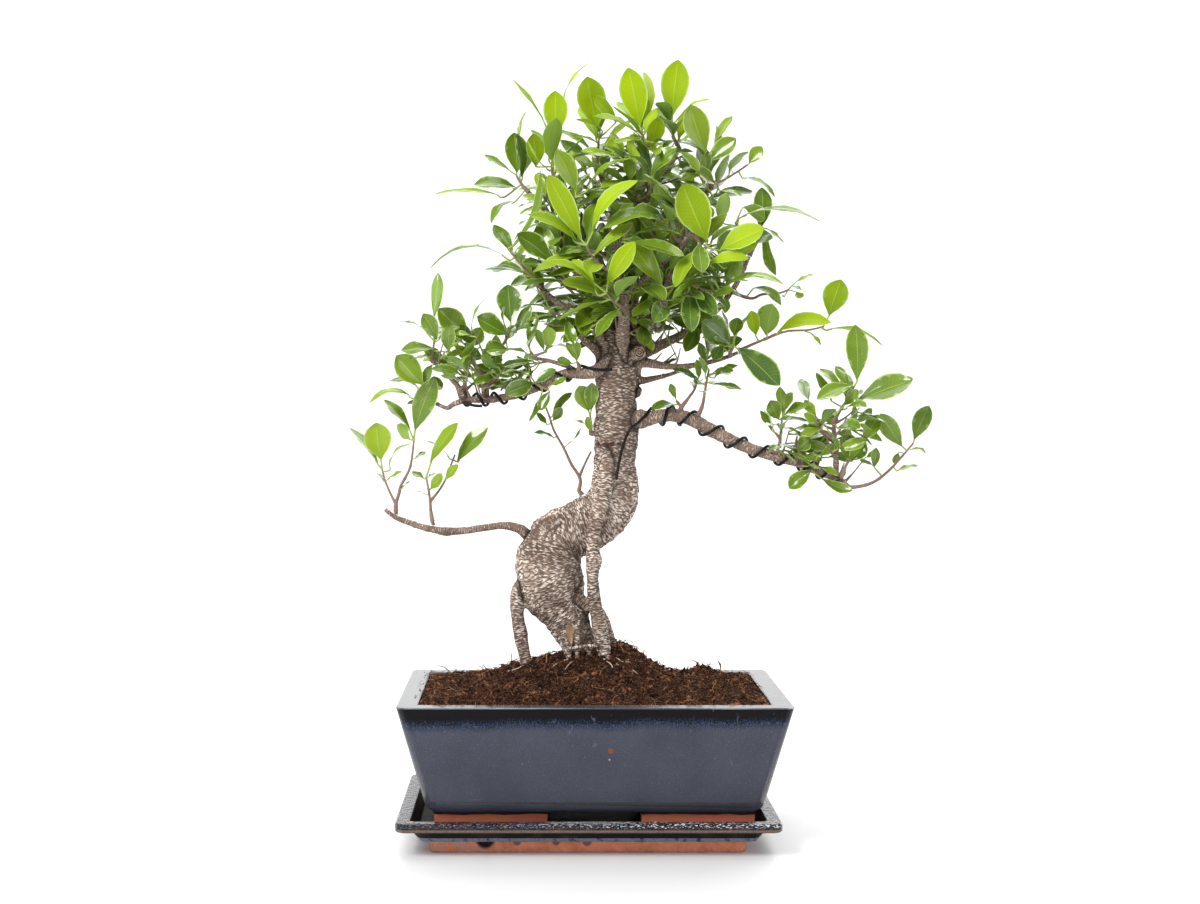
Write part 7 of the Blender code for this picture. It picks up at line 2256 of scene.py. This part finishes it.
class BonsaiSizes(bpy.types.PropertyGroup):
    """Sizes and amounts of the fine detail."""

    wire: length("Wire diameter", "Diameter of the training wire", 2 * WIRE_RADIUS * MM)
    worn_edge: length("Worn edge", "Rounding of the glazed edges", 0.9 * MM)
    bark_grid: length("Bark grid", "Spacing of the points on the bark", 1.5 * MM)
    bark_relief: number("Bark relief", "Height of the bark's lumps and ridges, as a share", 1.0, 0.0, 2.0)
    leaf_ripple: length("Leaf ripple", "Waves along the margin of a blade", 0.9 * MM)
    inner_share: number("Inner leaves", "Amount of small leaves inside the crown, as a share", 1.0, 0.1, 2.0)
    soil_grid: length("Soil grid", "Spacing of the points on the soil", 1.9 * MM)
    crumbs: number("Soil crumbs", "Crumbs on a square metre of soil", 30000.0, 0.0, 200000.0)
    fibres: number("Soil fibres", "Coir fibres on a square metre of soil", 34000.0, 0.0, 200000.0)
    spill: number("Spilled crumbs", "Crumbs on a square metre of the spill", 30000.0, 0.0, 200000.0)


class BonsaiLight(bpy.types.PropertyGroup):
    """Light of the stage."""

    power: number("Lamp power", "Share of each lamp's own power", 1.0, 0.0, 10.0)
    room: number("Room light", "Strength of the light from all round", 0.5, 0.0, 10.0)
    exposure: number("Exposure", "Exposure of the picture in stops", 0.0, -5.0, 5.0)


class BONSAI_OT_drip_tray(bpy.types.Operator):
    """Make the glazed drip tray with its bare clay foot"""

    bl_idname = "bonsai.drip_tray"
    bl_label = "Drip tray"

    def execute(self, context):
        glazed_tray(context.scene.bonsai_colours, context.scene.bonsai_sizes)
        return {"FINISHED"}


class BONSAI_OT_bowl(bpy.types.Operator):
    """Make the glazed bowl with its four clay feet"""

    bl_idname = "bonsai.bowl"
    bl_label = "Bowl"

    def execute(self, context):
        glazed_bowl(context.scene.bonsai_colours, context.scene.bonsai_sizes)
        return {"FINISHED"}


class BONSAI_OT_drain_screens(bpy.types.Operator):
    """Finish the plastic screens over the drain holes"""

    bl_idname = "bonsai.drain_screens"
    bl_label = "Drain screens"

    def execute(self, context):
        drain_screens(context.scene.bonsai_colours)
        return {"FINISHED"}


class BONSAI_OT_soil(bpy.types.Operator):
    """Make the soil with its crumbs, fibres and spill"""

    bl_idname = "bonsai.soil"
    bl_label = "Soil"

    def execute(self, context):
        planted_soil(context.scene.bonsai_colours, context.scene.bonsai_sizes)
        return {"FINISHED"}


class BONSAI_OT_bark(bpy.types.Operator):
    """Make the trunk, its aerial roots and its limbs"""

    bl_idname = "bonsai.bark"
    bl_label = "Trunk and limbs"

    def execute(self, context):
        bark_pieces(context.scene.bonsai_colours, context.scene.bonsai_sizes)
        return {"FINISHED"}


class BONSAI_OT_wires(bpy.types.Operator):
    """Make the training wires"""

    bl_idname = "bonsai.wires"
    bl_label = "Training wires"

    def execute(self, context):
        training_wires(context.scene.bonsai_colours, context.scene.bonsai_sizes)
        return {"FINISHED"}


class BONSAI_OT_leaves(bpy.types.Operator):
    """Make every leafy spray and the fallen leaf"""

    bl_idname = "bonsai.leaves"
    bl_label = "Leaves"

    def execute(self, context):
        leafy_sprays(context.scene.bonsai_colours, context.scene.bonsai_sizes)
        fallen_leaf(context.scene.bonsai_colours, context.scene.bonsai_sizes)
        return {"FINISHED"}


class BONSAI_OT_stage(bpy.types.Operator):
    """Make the floor, backdrop, lights and camera"""

    bl_idname = "bonsai.stage"
    bl_label = "Stage"

    def execute(self, context):
        stage(context.scene.bonsai_colours, context.scene.bonsai_light)
        return {"FINISHED"}


STEPS = (
    BONSAI_OT_drip_tray, BONSAI_OT_bowl, BONSAI_OT_drain_screens, BONSAI_OT_soil, BONSAI_OT_bark,
    BONSAI_OT_wires, BONSAI_OT_leaves, BONSAI_OT_stage,
)


class BONSAI_PT_panel(bpy.types.Panel):
    """Lists the steps and the settings"""

    bl_idname = "BONSAI_PT_panel"
    bl_label = "Potted bonsai fig"
    bl_space_type = "VIEW_3D"
    bl_region_type = "UI"
    bl_category = "Bonsai"

    def draw(self, context):
        for step in STEPS:
            self.layout.operator(step.bl_idname)
        for group in (context.scene.bonsai_sizes, context.scene.bonsai_light, context.scene.bonsai_colours):
            for setting in group.__annotations__:
                self.layout.prop(group, setting)


CLASSES = (BonsaiColours, BonsaiSizes, BonsaiLight, *STEPS, BONSAI_PT_panel)


def register():
    for one in CLASSES:
        bpy.utils.register_class(one)
    bpy.types.Scene.bonsai_colours = bpy.props.PointerProperty(type=BonsaiColours)
    bpy.types.Scene.bonsai_sizes = bpy.props.PointerProperty(type=BonsaiSizes)
    bpy.types.Scene.bonsai_light = bpy.props.PointerProperty(type=BonsaiLight)


def unregister():
    del bpy.types.Scene.bonsai_colours, bpy.types.Scene.bonsai_sizes, bpy.types.Scene.bonsai_light
    for one in reversed(CLASSES):
        bpy.utils.unregister_class(one)


def main():
    register()
    bpy.ops.bonsai.drip_tray()
    bpy.ops.bonsai.bowl()
    bpy.ops.bonsai.drain_screens()
    bpy.ops.bonsai.soil()
    bpy.ops.bonsai.bark()
    bpy.ops.bonsai.wires()
    bpy.ops.bonsai.leaves()
    bpy.ops.bonsai.stage()


if __name__ == "__main__":
    main()
